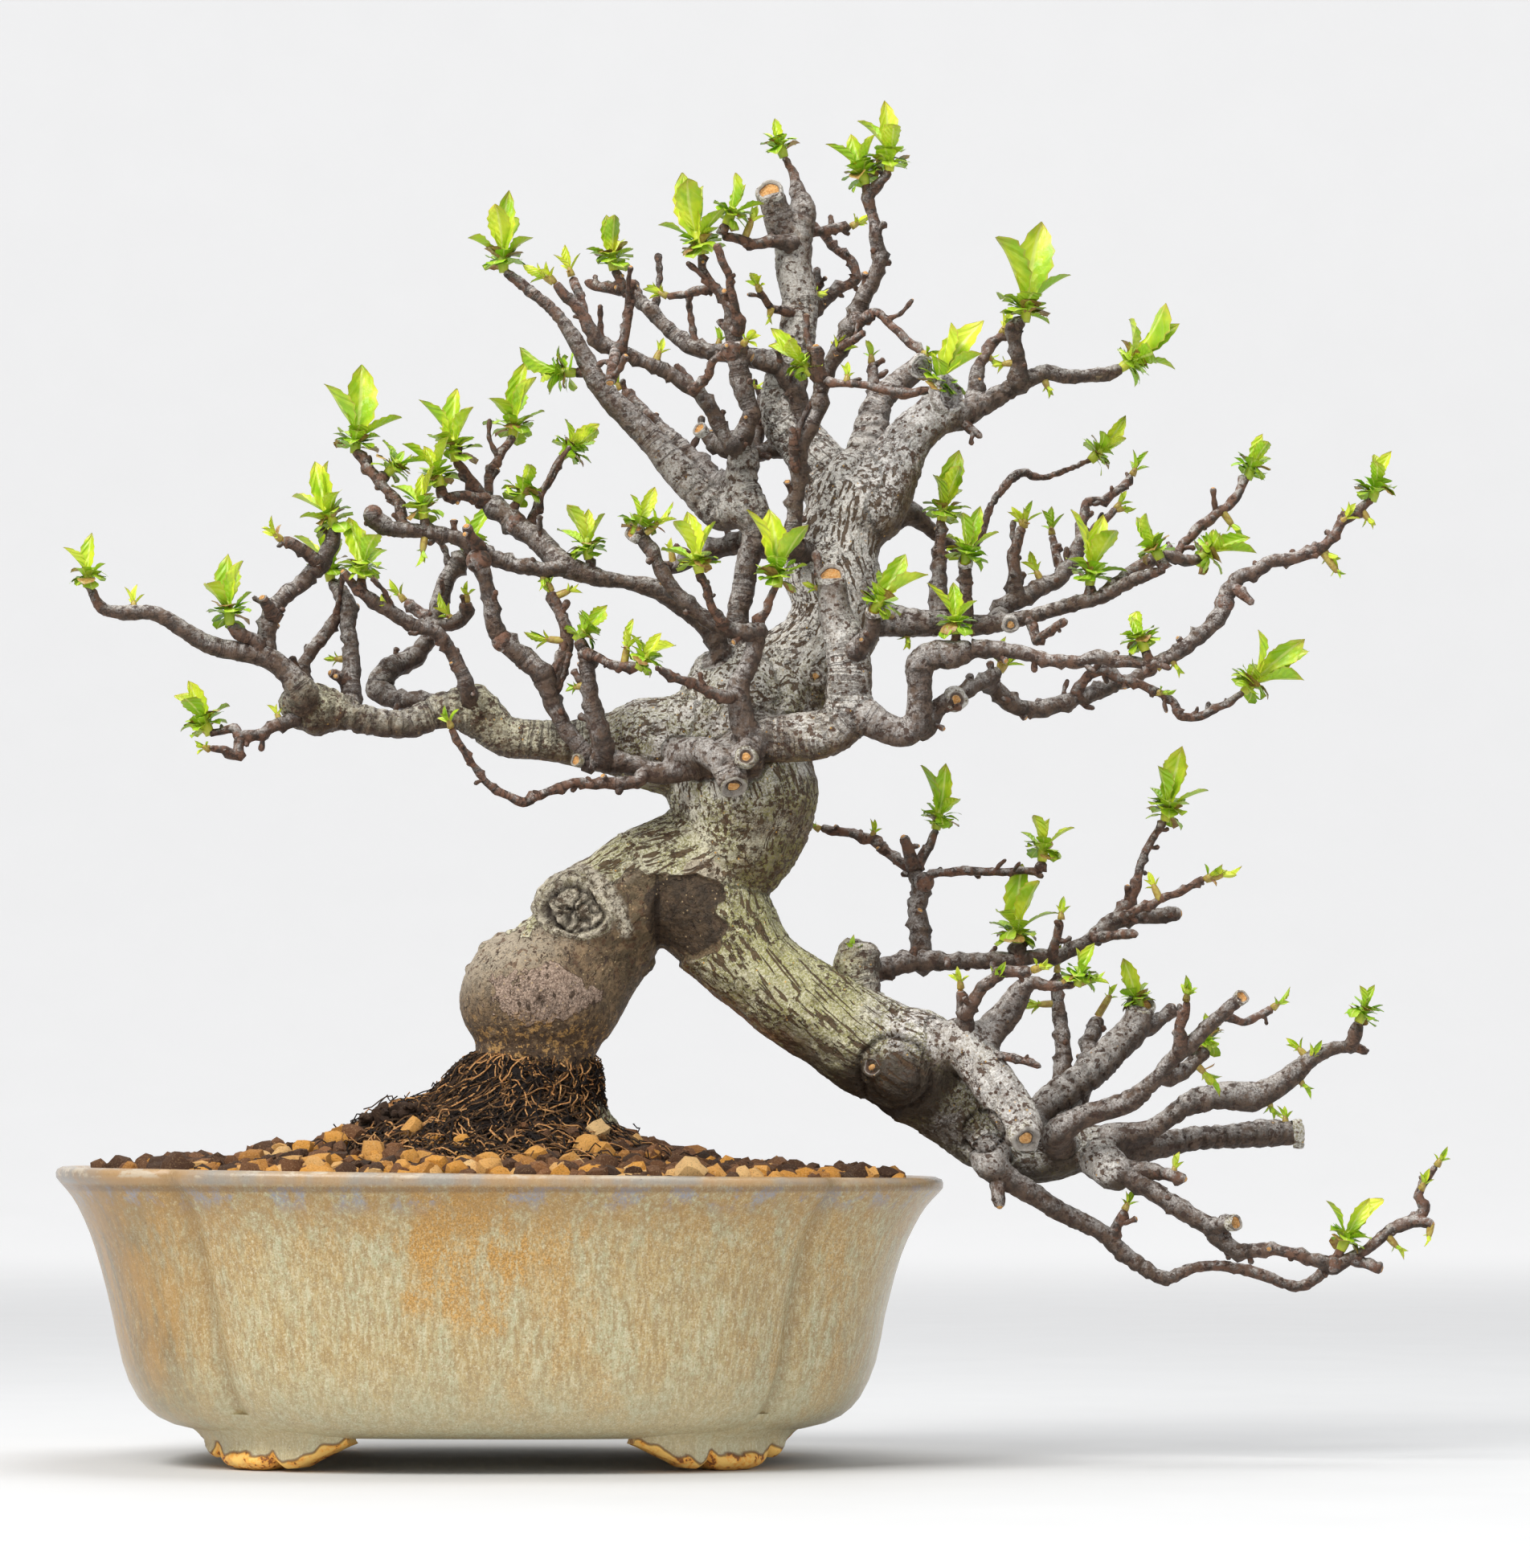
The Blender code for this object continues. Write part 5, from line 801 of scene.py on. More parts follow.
def write_points(mesh: Mesh, points: np.ndarray, values: dict[str, np.ndarray]) -> None:
    """Moves a mesh's points.

    Args:
        mesh: the mesh.
        points: their new places, in millimetres.
        values: point values by name, which the finish reads.
    """
    mesh.vertices.foreach_set("co", (points * MM).astype(np.float32).reshape(-1))
    for name, value in values.items():
        mesh.attributes.new(name, "FLOAT", "POINT").data.foreach_set("value", value)
    mesh.update()


@dataclass
class Shape:
    """Points, faces and point values gathered for one mesh, in millimetres in the pot's frame."""

    points: list[np.ndarray] = field(default_factory=list)
    faces: list[list[tuple[int, ...]]] = field(default_factory=list)
    values: dict[str, list[np.ndarray]] = field(default_factory=dict)
    count: int = 0

    def add(self, points: np.ndarray, faces: list[tuple[int, ...]], **values: np.ndarray) -> None:
        """Adds a part of the mesh.

        Args:
            points: its points.
            faces: its faces, numbered from 0.
            values: point values by name.
        """
        start = self.count
        self.points.append(np.asarray(points, dtype=float))
        self.faces.append([tuple(i + start for i in face) for face in faces])
        for name in values:
            self.values.setdefault(name, [np.zeros(start)] if start else [])
        for name, kept in self.values.items():
            kept.append(np.broadcast_to(np.asarray(values.get(name, 0.0), dtype=float), (len(points),)))
        self.count += len(points)

    def build(self, name: str, shift: Vector, smooth: float | None = 180) -> Object:
        """Makes the mesh object.

        Args:
            name: the object's name.
            shift: where the pot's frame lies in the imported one, in millimetres.
            smooth: the largest angle that is shaded smooth, in degrees, or None for flat faces.

        Returns:
            The object, at the origin.
        """
        mesh = bpy.data.meshes.new(name)
        places = (np.concatenate(self.points) + np.array(shift)) * MM
        mesh.from_pydata(places.tolist(), [], [face for part in self.faces for face in part])
        for key, kept in self.values.items():
            layer = mesh.attributes.new(key, "FLOAT", "POINT")
            layer.data.foreach_set("value", np.concatenate(kept).astype(np.float32))
        made = bpy.data.objects.new(name, mesh)
        bpy.context.scene.collection.objects.link(made)
        pick(made)
        if smooth is not None:
            bpy.ops.object.shade_smooth_by_angle(angle=radians(smooth))
        return made


def close_up(made: Object) -> None:
    """Turns all of an object's faces outwards."""
    pick(made)
    bpy.ops.object.mode_set(mode="EDIT")
    bpy.ops.mesh.select_all(action="SELECT")
    bpy.ops.mesh.normals_make_consistent(inside=False)
    bpy.ops.object.mode_set(mode="OBJECT")


def apply(made: Object, kind: str, **settings: object) -> None:
    """Adds a modifier and applies it.

    Args:
        made: the object.
        kind: the modifier's type.
        settings: its settings.
    """
    pick(made)
    modifier = made.modifiers.new(kind.lower(), kind)
    for key, value in settings.items():
        setattr(modifier, key, value)
    bpy.ops.object.modifier_apply(modifier=modifier.name)


@dataclass
class Bar:
    """A bar of wood or root along a smooth line, in millimetres."""

    points: np.ndarray
    radii: np.ndarray

    @classmethod
    def through(cls, stations: Stations, step: float, bend: float = 1.0) -> "Bar":
        """A smooth bar through stations.

        Args:
            stations: the places and radii.
            step: how far apart the rings are.
            bend: how round its bends are, 1 for a full curve and 0 for a straight run between stations.

        Returns:
            The bar.
        """
        places = np.array([[*p, r] for p, r in stations])
        padded = np.vstack([2 * places[0] - places[1], places, 2 * places[-1] - places[-2]])
        kept = []
        for i in range(1, len(padded) - 2):
            a, b, c, d = padded[i - 1:i + 3]
            count = max(1, round(float(np.linalg.norm((c - b)[:3])) / step))
            t = (np.arange(count) / count)[:, None]
            leave, arrive = (c - a) * 0.5 * bend, (d - b) * 0.5 * bend
            kept.append(b * (2 * t ** 3 - 3 * t ** 2 + 1) + leave * (t ** 3 - 2 * t ** 2 + t)
                + c * (3 * t ** 2 - 2 * t ** 3) + arrive * (t ** 3 - t ** 2))
        line = np.vstack(kept + [places[-1:]])
        return cls(line[:, :3], np.maximum(line[:, 3], 0.2))

    def along(self) -> np.ndarray:
        """How far along the bar each ring is."""
        steps = np.linalg.norm(np.diff(self.points, axis=0), axis=1)
        return np.concatenate([[0], np.cumsum(steps)])

    def frames(self) -> tuple[np.ndarray, np.ndarray, np.ndarray]:
        """The direction and the two side directions at each ring."""
        run = np.gradient(self.points, axis=0)
        run /= np.linalg.norm(run, axis=1)[:, None]
        side = np.array(Vector(run[0]).orthogonal().normalized())
        sides = []
        for direction in run:
            side = side - direction * side.dot(direction)
            side = side / np.linalg.norm(side)
            sides.append(side)
        sides = np.array(sides)
        return run, sides, np.cross(run, sides)

    def into(self, shape: Shape, count: int, relief: np.ndarray | float = 0.0, **values: object) -> None:
        """Adds the bar's surface to a mesh, with a closed end.

        Args:
            shape: the mesh.
            count: how many sides it has.
            relief: the height of the surface over the radius, ring by ring and side by side.
            values: point values by name, one for each ring.
        """
        _, side, up = self.frames()
        turn = np.arange(count) * 2 * pi / count
        out = side[:, None] * np.cos(turn)[None, :, None] + up[:, None] * np.sin(turn)[None, :, None]
        reach = (self.radii[:, None] + relief) * np.ones((1, count))
        points = (self.points[:, None] + out * reach[:, :, None]).reshape(-1, 3)
        rings = len(self.points)
        faces = net(rings, count)
        points = np.vstack([points, self.points[:1], self.points[-1:]])
        last = rings * count
        faces += [(last, (j + 1) % count, j) for j in range(count)]
        start = (rings - 1) * count
        faces += [(last + 1, start + j, start + (j + 1) % count) for j in range(count)]
        # top: how far each side faces the painted light, which paints light and shade into the bark.
        spread = {"top": np.concatenate([(out @ PAINTED_LIGHT_FROM).reshape(-1), np.zeros(2)])}
        for name, value in values.items():
            ring = np.broadcast_to(np.asarray(value, dtype=float), (rings,))
            spread[name] = np.concatenate([np.repeat(ring, count), ring[:1], ring[-1:]])
        shape.add(points, faces, **spread)


class Finishes:
    """The materials, made once each."""

    @staticmethod
    def glaze() -> Material:
        """Streaked celadon glaze with ochre runs, a grey lip and bare orange clay at the feet."""
        s = Shader("streaked_glaze")
        place = s.where()
        x, y, z = s.axes(place)
        streak = s.noise(s.where((1, 1, 0.13)), 0.2, 6, 0.65)
        fine = s.noise(s.where((1, 1, 0.42)), 1.7, 5, 0.75)
        mottle = s.noise(place, 0.6, 6, 0.8)
        broad = s.noise(s.where((1, 1, 0.5)), 0.035, 4, 0.65)
        color = s.mix(streak.between(0.38, 0.6), (0.47, 0.445, 0.265), (0.48, 0.345, 0.14))
        color = s.layers(color,
            (mottle.between(0.46, 0.6) * 0.7, (0.37, 0.24, 0.09)),
            (fine.between(0.47, 0.66) * 0.62, (0.66, 0.605, 0.41)))
        thread = s.noise(s.where((1, 1, 0.1)), 0.95, 4, 0.65)
        color = s.layers(color,
            (thread.between(0.5, 0.62) * 0.6, (0.33, 0.215, 0.085)),
            (thread.between(0.46, 0.36) * 0.35, (0.72, 0.68, 0.47)))
        grit = s.noise(place, 2.2, 3, 0.75)
        color = s.layers(color,
            (grit.between(0.55, 0.64) * 0.75, (0.26, 0.175, 0.07)),
            (grit.between(0.43, 0.34) * 0.55, (0.84, 0.8, 0.58)))
        side = (x + broad * 60).between(-26, -70)
        front = s.patch(place, (-4, 60), (14, 20), 6.0, 0.6, 0.1) * y.between(0, -10)
        high = z.between(44, 66) * streak.between(0.4, 0.58)
        ochre = front * 0.95 + side * 0.6 + broad.between(0.54, 0.66) * 0.4 + high * 0.35
        color = s.mix(ochre * fine.between(0.66, 0.46) * streak.between(0.3, 0.55), color,
            s.mix(grit.between(0.44, 0.56), (0.64, 0.36, 0.09), (0.36, 0.18, 0.03)))
        rust = s.mix(streak.between(0.36, 0.62), (0.2, 0.125, 0.045), (0.38, 0.21, 0.055))
        color = s.layers(color,
            (side * mottle.between(0.26, 0.52) * 0.85, rust),
            (z.between(34, 10) * 0.4, (0.7, 0.66, 0.45)),
            (z.between(57, 68) * mottle.between(0.35, 0.55) * 0.6, (0.36, 0.21, 0.07)))
        blotch = s.noise(s.where((1, 1, 0.6)), 0.16, 4, 0.65).between(0.5, 0.6)
        under_lip = z.between(64, 69.5) * (1 - z.between(71, 72))
        # Blue-grey blotches under the lip, and a thin dark brown line where the lip turns under, which is
        # painted shade.
        color = s.layers(color,
            (under_lip * blotch * fine.between(0.66, 0.4) * 0.8, (0.28, 0.31, 0.38)),
            (z.between(69.8, 70.6) * z.between(72.2, 71.2) * 0.5, (0.16, 0.09, 0.045)))
        lip_tone = s.mix(broad.between(0.38, 0.56), (0.27, 0.26, 0.24), (0.4, 0.25, 0.12))
        color = s.mix(z.between(71.4, 72.4) * 0.8, color, lip_tone)
        # Pale tan along the top of the lip, broken by noise like wear: a painted highlight.
        wear_and_highlight = s.noise(s.where((0.5, 0.5, 1)), 0.3, 4, 0.6).between(0.5, 0.6) * z.between(73.2, 74.0)
        color = s.mix(wear_and_highlight * 0.8, color, (0.5, 0.42, 0.31))
        speck = s.cells(place, 0.75).between(0.16, 0.08)
        color = s.mix(speck * mottle.between(0.5, 0.6) * 0.7, color, (0.1, 0.06, 0.03))
        # A darker brown line along the creases: painted shade in the folds.
        crease = s.attribute("crease")
        color = s.mix(crease * fine.between(0.8, 0.3) * 0.6, color, (0.23, 0.14, 0.05))
        bare = s.attribute("bare")
        edge = bare.between(0.15, 0.42) * bare.between(0.85, 0.55)
        curl = s.noise(place, 0.35, 3, 0.7)
        clay = s.mix(curl.between(0.44, 0.58), (1.0, 0.62, 0.16), (0.95, 0.42, 0.06))
        clay = s.mix(curl.between(0.57, 0.62), clay, (0.3, 0.1, 0.02))
        color = s.layers(color, (bare.between(0.35, 0.6), clay), (edge * 0.8, (0.16, 0.075, 0.025)))
        rough = s.mix(bare.between(0.3, 0.6), (0.27, 0.27, 0.27), (0.75, 0.75, 0.75))
        height = fine * 0.5 + mottle * 0.5 + s.noise(place, 2.5, 3) * 0.25 + curl * bare * 2.0
        return s.finish(color, rough, height, 0.00024, Coat_Weight=0.22, Coat_Roughness=0.18)

    @staticmethod
    def bark() -> Material:
        """Quince bark: silver-grey above and dark below as painted light and shade, cracked along the limbs
        and smooth where it peeled.
        """
        s = Shader("quince_bark")
        place = s.where()
        thick, cut, along, crack, hollow, callus, top = (s.attribute(name)
            for name in ("thick", "cut", "along", "crack", "hollow", "callus", "top"))
        peel = s.attribute("peel").between(0.38, 0.62)
        flow = s.combine(s.attribute("flow_x"), s.attribute("flow_y"), s.attribute("flow_z"))
        wide, _, high = s.axes(place)
        large = s.noise(place, 0.09, 4, 0.6)
        medium = s.noise(place, 0.42, 5, 0.65)
        fine = s.noise(place, 1.9, 5, 0.75)
        lit = (top * 0.55 + large * 0.8 + fine * 0.5).between(0.24, 0.76)
        rows = s.noise(flow, 0.92, 2, 0.55)
        dash = rows.between(0.54, 0.565) * s.noise(place, 0.3, 3, 0.6).between(0.36, 0.42)
        dash = dash * thick.between(0.25, 0.45)
        fleck = s.noise(s.where((0.8, 0.8, 1)), 0.62, 3, 0.6).between(0.575, 0.6)
        # The twigs' dark and pale copies, mixed by how far they face the light from the upper left: painted
        # shade and painted light, broken by noise.
        dark = s.mix(medium.between(0.38, 0.62), (0.045, 0.026, 0.016), (0.125, 0.074, 0.046))
        pale = s.mix(fine.between(0.38, 0.6), (0.3, 0.255, 0.22), (0.62, 0.58, 0.55))
        twig = s.mix((top * 0.55 + large * 0.7 + fine * 0.5).between(0.45, 1.05)
            * medium.between(0.66, 0.42), dark, pale)
        young = thick.between(0.115, 0.075) * medium.between(0.4, 0.55)
        twig = s.layers(twig, (young * 0.7, (0.2, 0.085, 0.045)), (fleck * 0.85, (0.055, 0.024, 0.013)))
        dark = s.mix(medium.between(0.36, 0.6), (0.07, 0.037, 0.016), (0.17, 0.105, 0.05))
        # The lower half of the big boss on the cascade, which is darkened as painted shade.
        boss = s.patch(place, (97, 96), (14, 8), 2.0, 0.5)
        pale = s.mix(fine.between(0.36, 0.55), (0.37, 0.32, 0.18), (0.76, 0.72, 0.53))
        silver = s.mix(fine.between(0.36, 0.55), (0.44, 0.375, 0.33), (0.86, 0.83, 0.8))
        pale = s.layers(pale,
            (high.between(152, 178) * wide.between(6, 32) * 0.85, silver),
            (wide.between(86, 98) * 0.9, silver))
        shady = (high.between(158, 166) * high.between(192, 180)
            * s.noise(place, 0.055, 3, 0.6).between(0.46, 0.58))
        shady = shady + boss * 0.6
        # Dark and pale copies of the bark, mixed by how far each place faces the light with noise: painted
        # shade and painted light. shady adds more painted shade.
        limb = s.mix(lit * medium.between(0.82, 0.5) * (1 - shady * 0.6), dark, pale)
        moss = s.noise(place, 0.1, 4, 0.65).between(0.4, 0.54) * thick.between(0.25, 0.5)
        moss = moss * fine.between(0.6, 0.42) * (1 - high.between(178, 215))
        limb = s.mix(moss * 0.75, limb, (0.29, 0.27, 0.07))
        olive = wide.between(47, 53) * wide.between(92, 82) * high.between(148, 140)
        # Olive on the cascade, painted shade on the boss, a pale patch and the dark crack dashes.
        limb = s.layers(limb,
            (olive * top.between(-0.3, 0.3) * fine.between(0.66, 0.42) * 0.6, (0.37, 0.36, 0.09)),
            (boss * 0.9, (0.045, 0.028, 0.014)),
            (s.patch(place, (49.8, 148.3), (4.6, 4.2), 3.5) * 0.8, (0.52, 0.44, 0.33)),
            (dash * 0.92, (0.092, 0.047, 0.015)))
        dots = (s.cells(place, 0.42).between(0.24, 0.16) * thick.between(0.62, 0.42)
            * medium.between(0.4, 0.46))
        limb = s.mix(dots * 0.9, limb, (0.095, 0.036, 0.015))
        crust = s.noise(s.where((0.7, 0.7, 1)), 0.95, 4, 0.7).between(0.53, 0.56)
        crust = crust * s.noise(place, 0.085, 3, 0.6).between(0.44, 0.6)
        limb = s.layers(limb,
            (crust * thick.between(0.2, 0.32) * 0.9, (0.08, 0.038, 0.016)),
            (fleck * (1 - thick.between(0.35, 0.55)) * 0.9, (0.095, 0.042, 0.018)),
            (s.cells(place, 0.5).between(0.15, 0.09) * medium.between(0.5, 0.56), (0.75, 0.42, 0.09)))
        # On the cascade, the sides that face away from the light from the upper left turn orange-brown and
        # then nearly black: painted shade.
        under = ((0 - top).between(0.15, 0.5) * wide.between(42, 47) * wide.between(82, 66)
            * high.between(135, 128))
        limb = s.mix(under * medium.between(0.35, 0.55) * 0.8, limb, (0.42, 0.17, 0.055))
        gloom = (0 - top).between(-0.05, 0.45) * wide.between(58, 76) * high.between(140, 122)
        limb = s.mix(gloom * medium.between(0.3, 0.5) * 0.8, limb, (0.04, 0.026, 0.013))
        color = s.mix(thick.between(0.16, 0.34), twig, limb)
        skin = s.mix(medium.between(0.36, 0.62), (0.3, 0.2, 0.105), (0.15, 0.1, 0.055))
        # The smooth skin is darker on the right and paler where it faces the light from the upper left:
        # painted shade and painted light.
        skin = s.mix(wide.between(19, 32) * medium.between(0.3, 0.6) * 0.7, skin, (0.13, 0.095, 0.045))
        lit_skin = (top * 0.7 + fine * 0.6).between(0.4, 0.95)
        skin = s.mix(lit_skin * 0.85, skin, (0.5, 0.42, 0.31))
        ring = s.noise(place, 0.5, 3, 0.6).between(0.575, 0.6) * high.between(118, 126)
        skin = s.mix(ring * 0.8, skin, (0.13, 0.065, 0.03))
        flake = s.patch(place, (11, 117.5), (12.5, 7), 4.5, 0.06, 0.11)
        skin = s.mix(flake, skin, s.mix(fine.between(0.4, 0.6), (0.22, 0.145, 0.1), (0.58, 0.43, 0.33)))
        edge = flake.between(0.1, 0.4) * flake.between(0.9, 0.6)
        # The flake's dark edge, and the skin darker towards the bottom as painted shade.
        skin = s.layers(skin,
            (edge * 0.8, (0.08, 0.04, 0.02)),
            (high.between(113.5, 106) * medium.between(0.3, 0.5) * 0.85, (0.085, 0.045, 0.02)))
        tan = s.noise(place, 0.5, 5, 0.75).between(0.535, 0.57) * high.between(116, 109)
        skin = s.mix(tan * 0.9, skin, (0.62, 0.36, 0.12))
        # Dark patch in the crotch where the cascade leaves the trunk: painted shade.
        fork_shade = s.patch(place, (46.5, 138.5), (11, 10), 1.6)
        skin = s.mix(fork_shade * 0.9, skin, s.mix(medium.between(0.4, 0.6), (0.095, 0.06, 0.032),
            (0.045, 0.028, 0.015)))
        fold = s.patch(place, (38.8, 139), (0.8, 9.5), 0.5, 0.3)
        skin = s.layers(skin,
            (fold * 0.85, (0.035, 0.02, 0.01)),
            (s.cells(place, 0.55).between(0.16, 0.09) * 0.8, (0.62, 0.45, 0.24)),
            (s.noise(s.where((1, 1, 0.45)), 0.8, 3).between(0.6, 0.65), (0.085, 0.05, 0.028)))
        color = s.mix(peel, color, skin)
        peel_edge = peel.between(0.05, 0.4) * peel.between(0.95, 0.6)
        color = s.mix(peel_edge * 0.7, color, (0.045, 0.026, 0.013))
        bands = s.noise(s.combine(along * 0.55 + medium * 0.8, thick * 3, 0.0), 1.0, 2, 0.5) - 0.5
        bands = (bands.maths("ABSOLUTE").between(0.04, 0.012) * thick.between(0.62, 0.38)
            * large.between(0.46, 0.58))
        bands = bands * (1 - wide.between(88, 100) * 0.7)
        color = s.layers(color, (bands * 0.6, (0.045, 0.022, 0.014)), (crack * 0.9, (0.035, 0.02, 0.011)))
        rolled = s.mix((medium * 0.6 + fine * 0.4).between(0.43, 0.54), (0.13, 0.09, 0.055),
            (0.68, 0.61, 0.48))
        color = s.mix(callus * 0.9, color, rolled)
        wood = s.mix(fine.between(0.35, 0.65), (0.66, 0.28, 0.06), (0.84, 0.52, 0.22))
        color = s.mix(cut.between(0.45, 0.6), color, wood)
        lip = cut.between(0.12, 0.25) * cut.between(0.52, 0.4)
        color = s.mix(lip * 0.8, color, (0.42, 0.38, 0.34))
        rim = cut.between(0.42, 0.47) * cut.between(0.56, 0.5)
        color = s.layers(color, (rim * 0.9, (0.07, 0.03, 0.014)), (hollow, (0.035, 0.022, 0.014)))
        height = (fine * 0.7 + medium * 0.7 - crack * 1.0 - dash * 3.0 - crust * 1.2 - bands * 0.8
            - fleck * 0.5 + flake * peel * 0.8)
        return s.finish(color, 0.58, height, 0.0006)

    @staticmethod
    def leaf() -> Material:
        """Young leaves: yellow-green, with pink and orange along the edges and at the tips."""
        s = Shader("spring_leaf")
        place = s.where()
        edge, run, age, scale, vein = (s.attribute(name) for name in ("edge", "run", "age", "scale", "vein"))
        tone = s.noise(place, 0.1, 3)
        fine = s.noise(place, 1.3, 4)
        color = s.mix(tone.between(0.38, 0.62), (0.3, 0.52, 0.012), (0.64, 0.74, 0.04))
        color = s.layers(color,
            (age.between(0.3, 0.9) * 0.6, (0.25, 0.5, 0.015)),
            (edge.between(0.16, 0.05) * 0.6, (0.72, 0.78, 0.22)),
            (vein.between(0.75, 1.0) * 0.25, (0.62, 0.72, 0.16)))
        blush = run.between(0.75, 1.0) * 0.45 + edge.between(0.84, 1.0) * 0.55
        warm = s.mix(tone.between(0.42, 0.6), (0.62, 0.24, 0.1), (0.66, 0.34, 0.08))
        color = s.mix(blush * (1 - age * 0.45) * fine.between(0.25, 0.6), color, warm)
        husk = s.mix(fine.between(0.4, 0.6), (0.42, 0.27, 0.08), (0.3, 0.11, 0.05))
        color = s.mix(scale, color, husk)
        return s.finish(color, 0.4, fine * 0.35 - vein * 0.8, 0.00025, Subsurface_Weight=0.12,
            Subsurface_Scale=0.0012)

    @staticmethod
    def soil() -> Material:
        """Fired clay grains from dark brown to orange, and roots over nearly black humus."""
        s = Shader("akadama_grains")
        place = s.where()
        tone = s.attribute("tone")
        fine = s.noise(place, 2.2, 6, 0.75)
        ramp = [(0.0, (0.012, 0.007, 0.004)), (0.3, (0.08, 0.034, 0.014)), (0.55, (0.26, 0.105, 0.034)),
            (0.75, (0.74, 0.33, 0.045)), (1.0, (0.85, 0.58, 0.27))]
        color = s.node("ShaderNodeValToRGB", {"stops": ramp}, {0: tone})
        color = s.layers(color,
            (fine.between(0.52, 0.7) * tone, (0.8, 0.56, 0.28)),
            (fine.between(0.47, 0.34) * 0.6, (0.045, 0.022, 0.01)))
        pale = s.mix(fine.between(0.4, 0.6), (0.52, 0.2, 0.055), (0.86, 0.5, 0.2))
        fibre = s.mix(tone, (0.012, 0.006, 0.004), pale)
        color = s.mix(s.attribute("root"), color, fibre)
        return s.finish(color, 0.93, fine, 0.0007)

    @staticmethod
    def plastic() -> Material:
        """The black plastic of the drainage meshes."""
        s = Shader("drain_plastic")
        grain = s.noise(s.where(), 1.2, 3)
        color = s.mix(grain, (0.012, 0.012, 0.012), (0.03, 0.03, 0.028))
        return s.finish(color, 0.55, grain, 0.00005)

    @staticmethod
    def paper() -> Material:
        """The pale ground and backdrop."""
        s = Shader("pale_paper")
        place = s.where()
        _, back, _ = s.axes(place)
        grain = s.noise(place, 0.02, 3)
        color = s.mix(grain, (0.57, 0.575, 0.58), (0.61, 0.615, 0.62))
        glow = s.mix(back.between(350, 2600), (0.0, 0.0, 0.0), (0.96, 0.955, 0.95))
        s.tree.links.new(glow.link, s.principled.inputs["Emission Color"])
        return s.finish(color, 0.7, Emission_Strength=0.5)


def ruffle(point: np.ndarray, scale: float, offset: float = 0.0) -> float:
    """Soft noise between -1 and 1 at a point.

    Args:
        point: the place.
        scale: the noise's frequency.
        offset: moves the pattern.

    Returns:
        The noise.
    """
    return noise.noise(Vector((point[0] * scale + offset, point[1] * scale + 3.1,
        point[2] * scale - offset)))


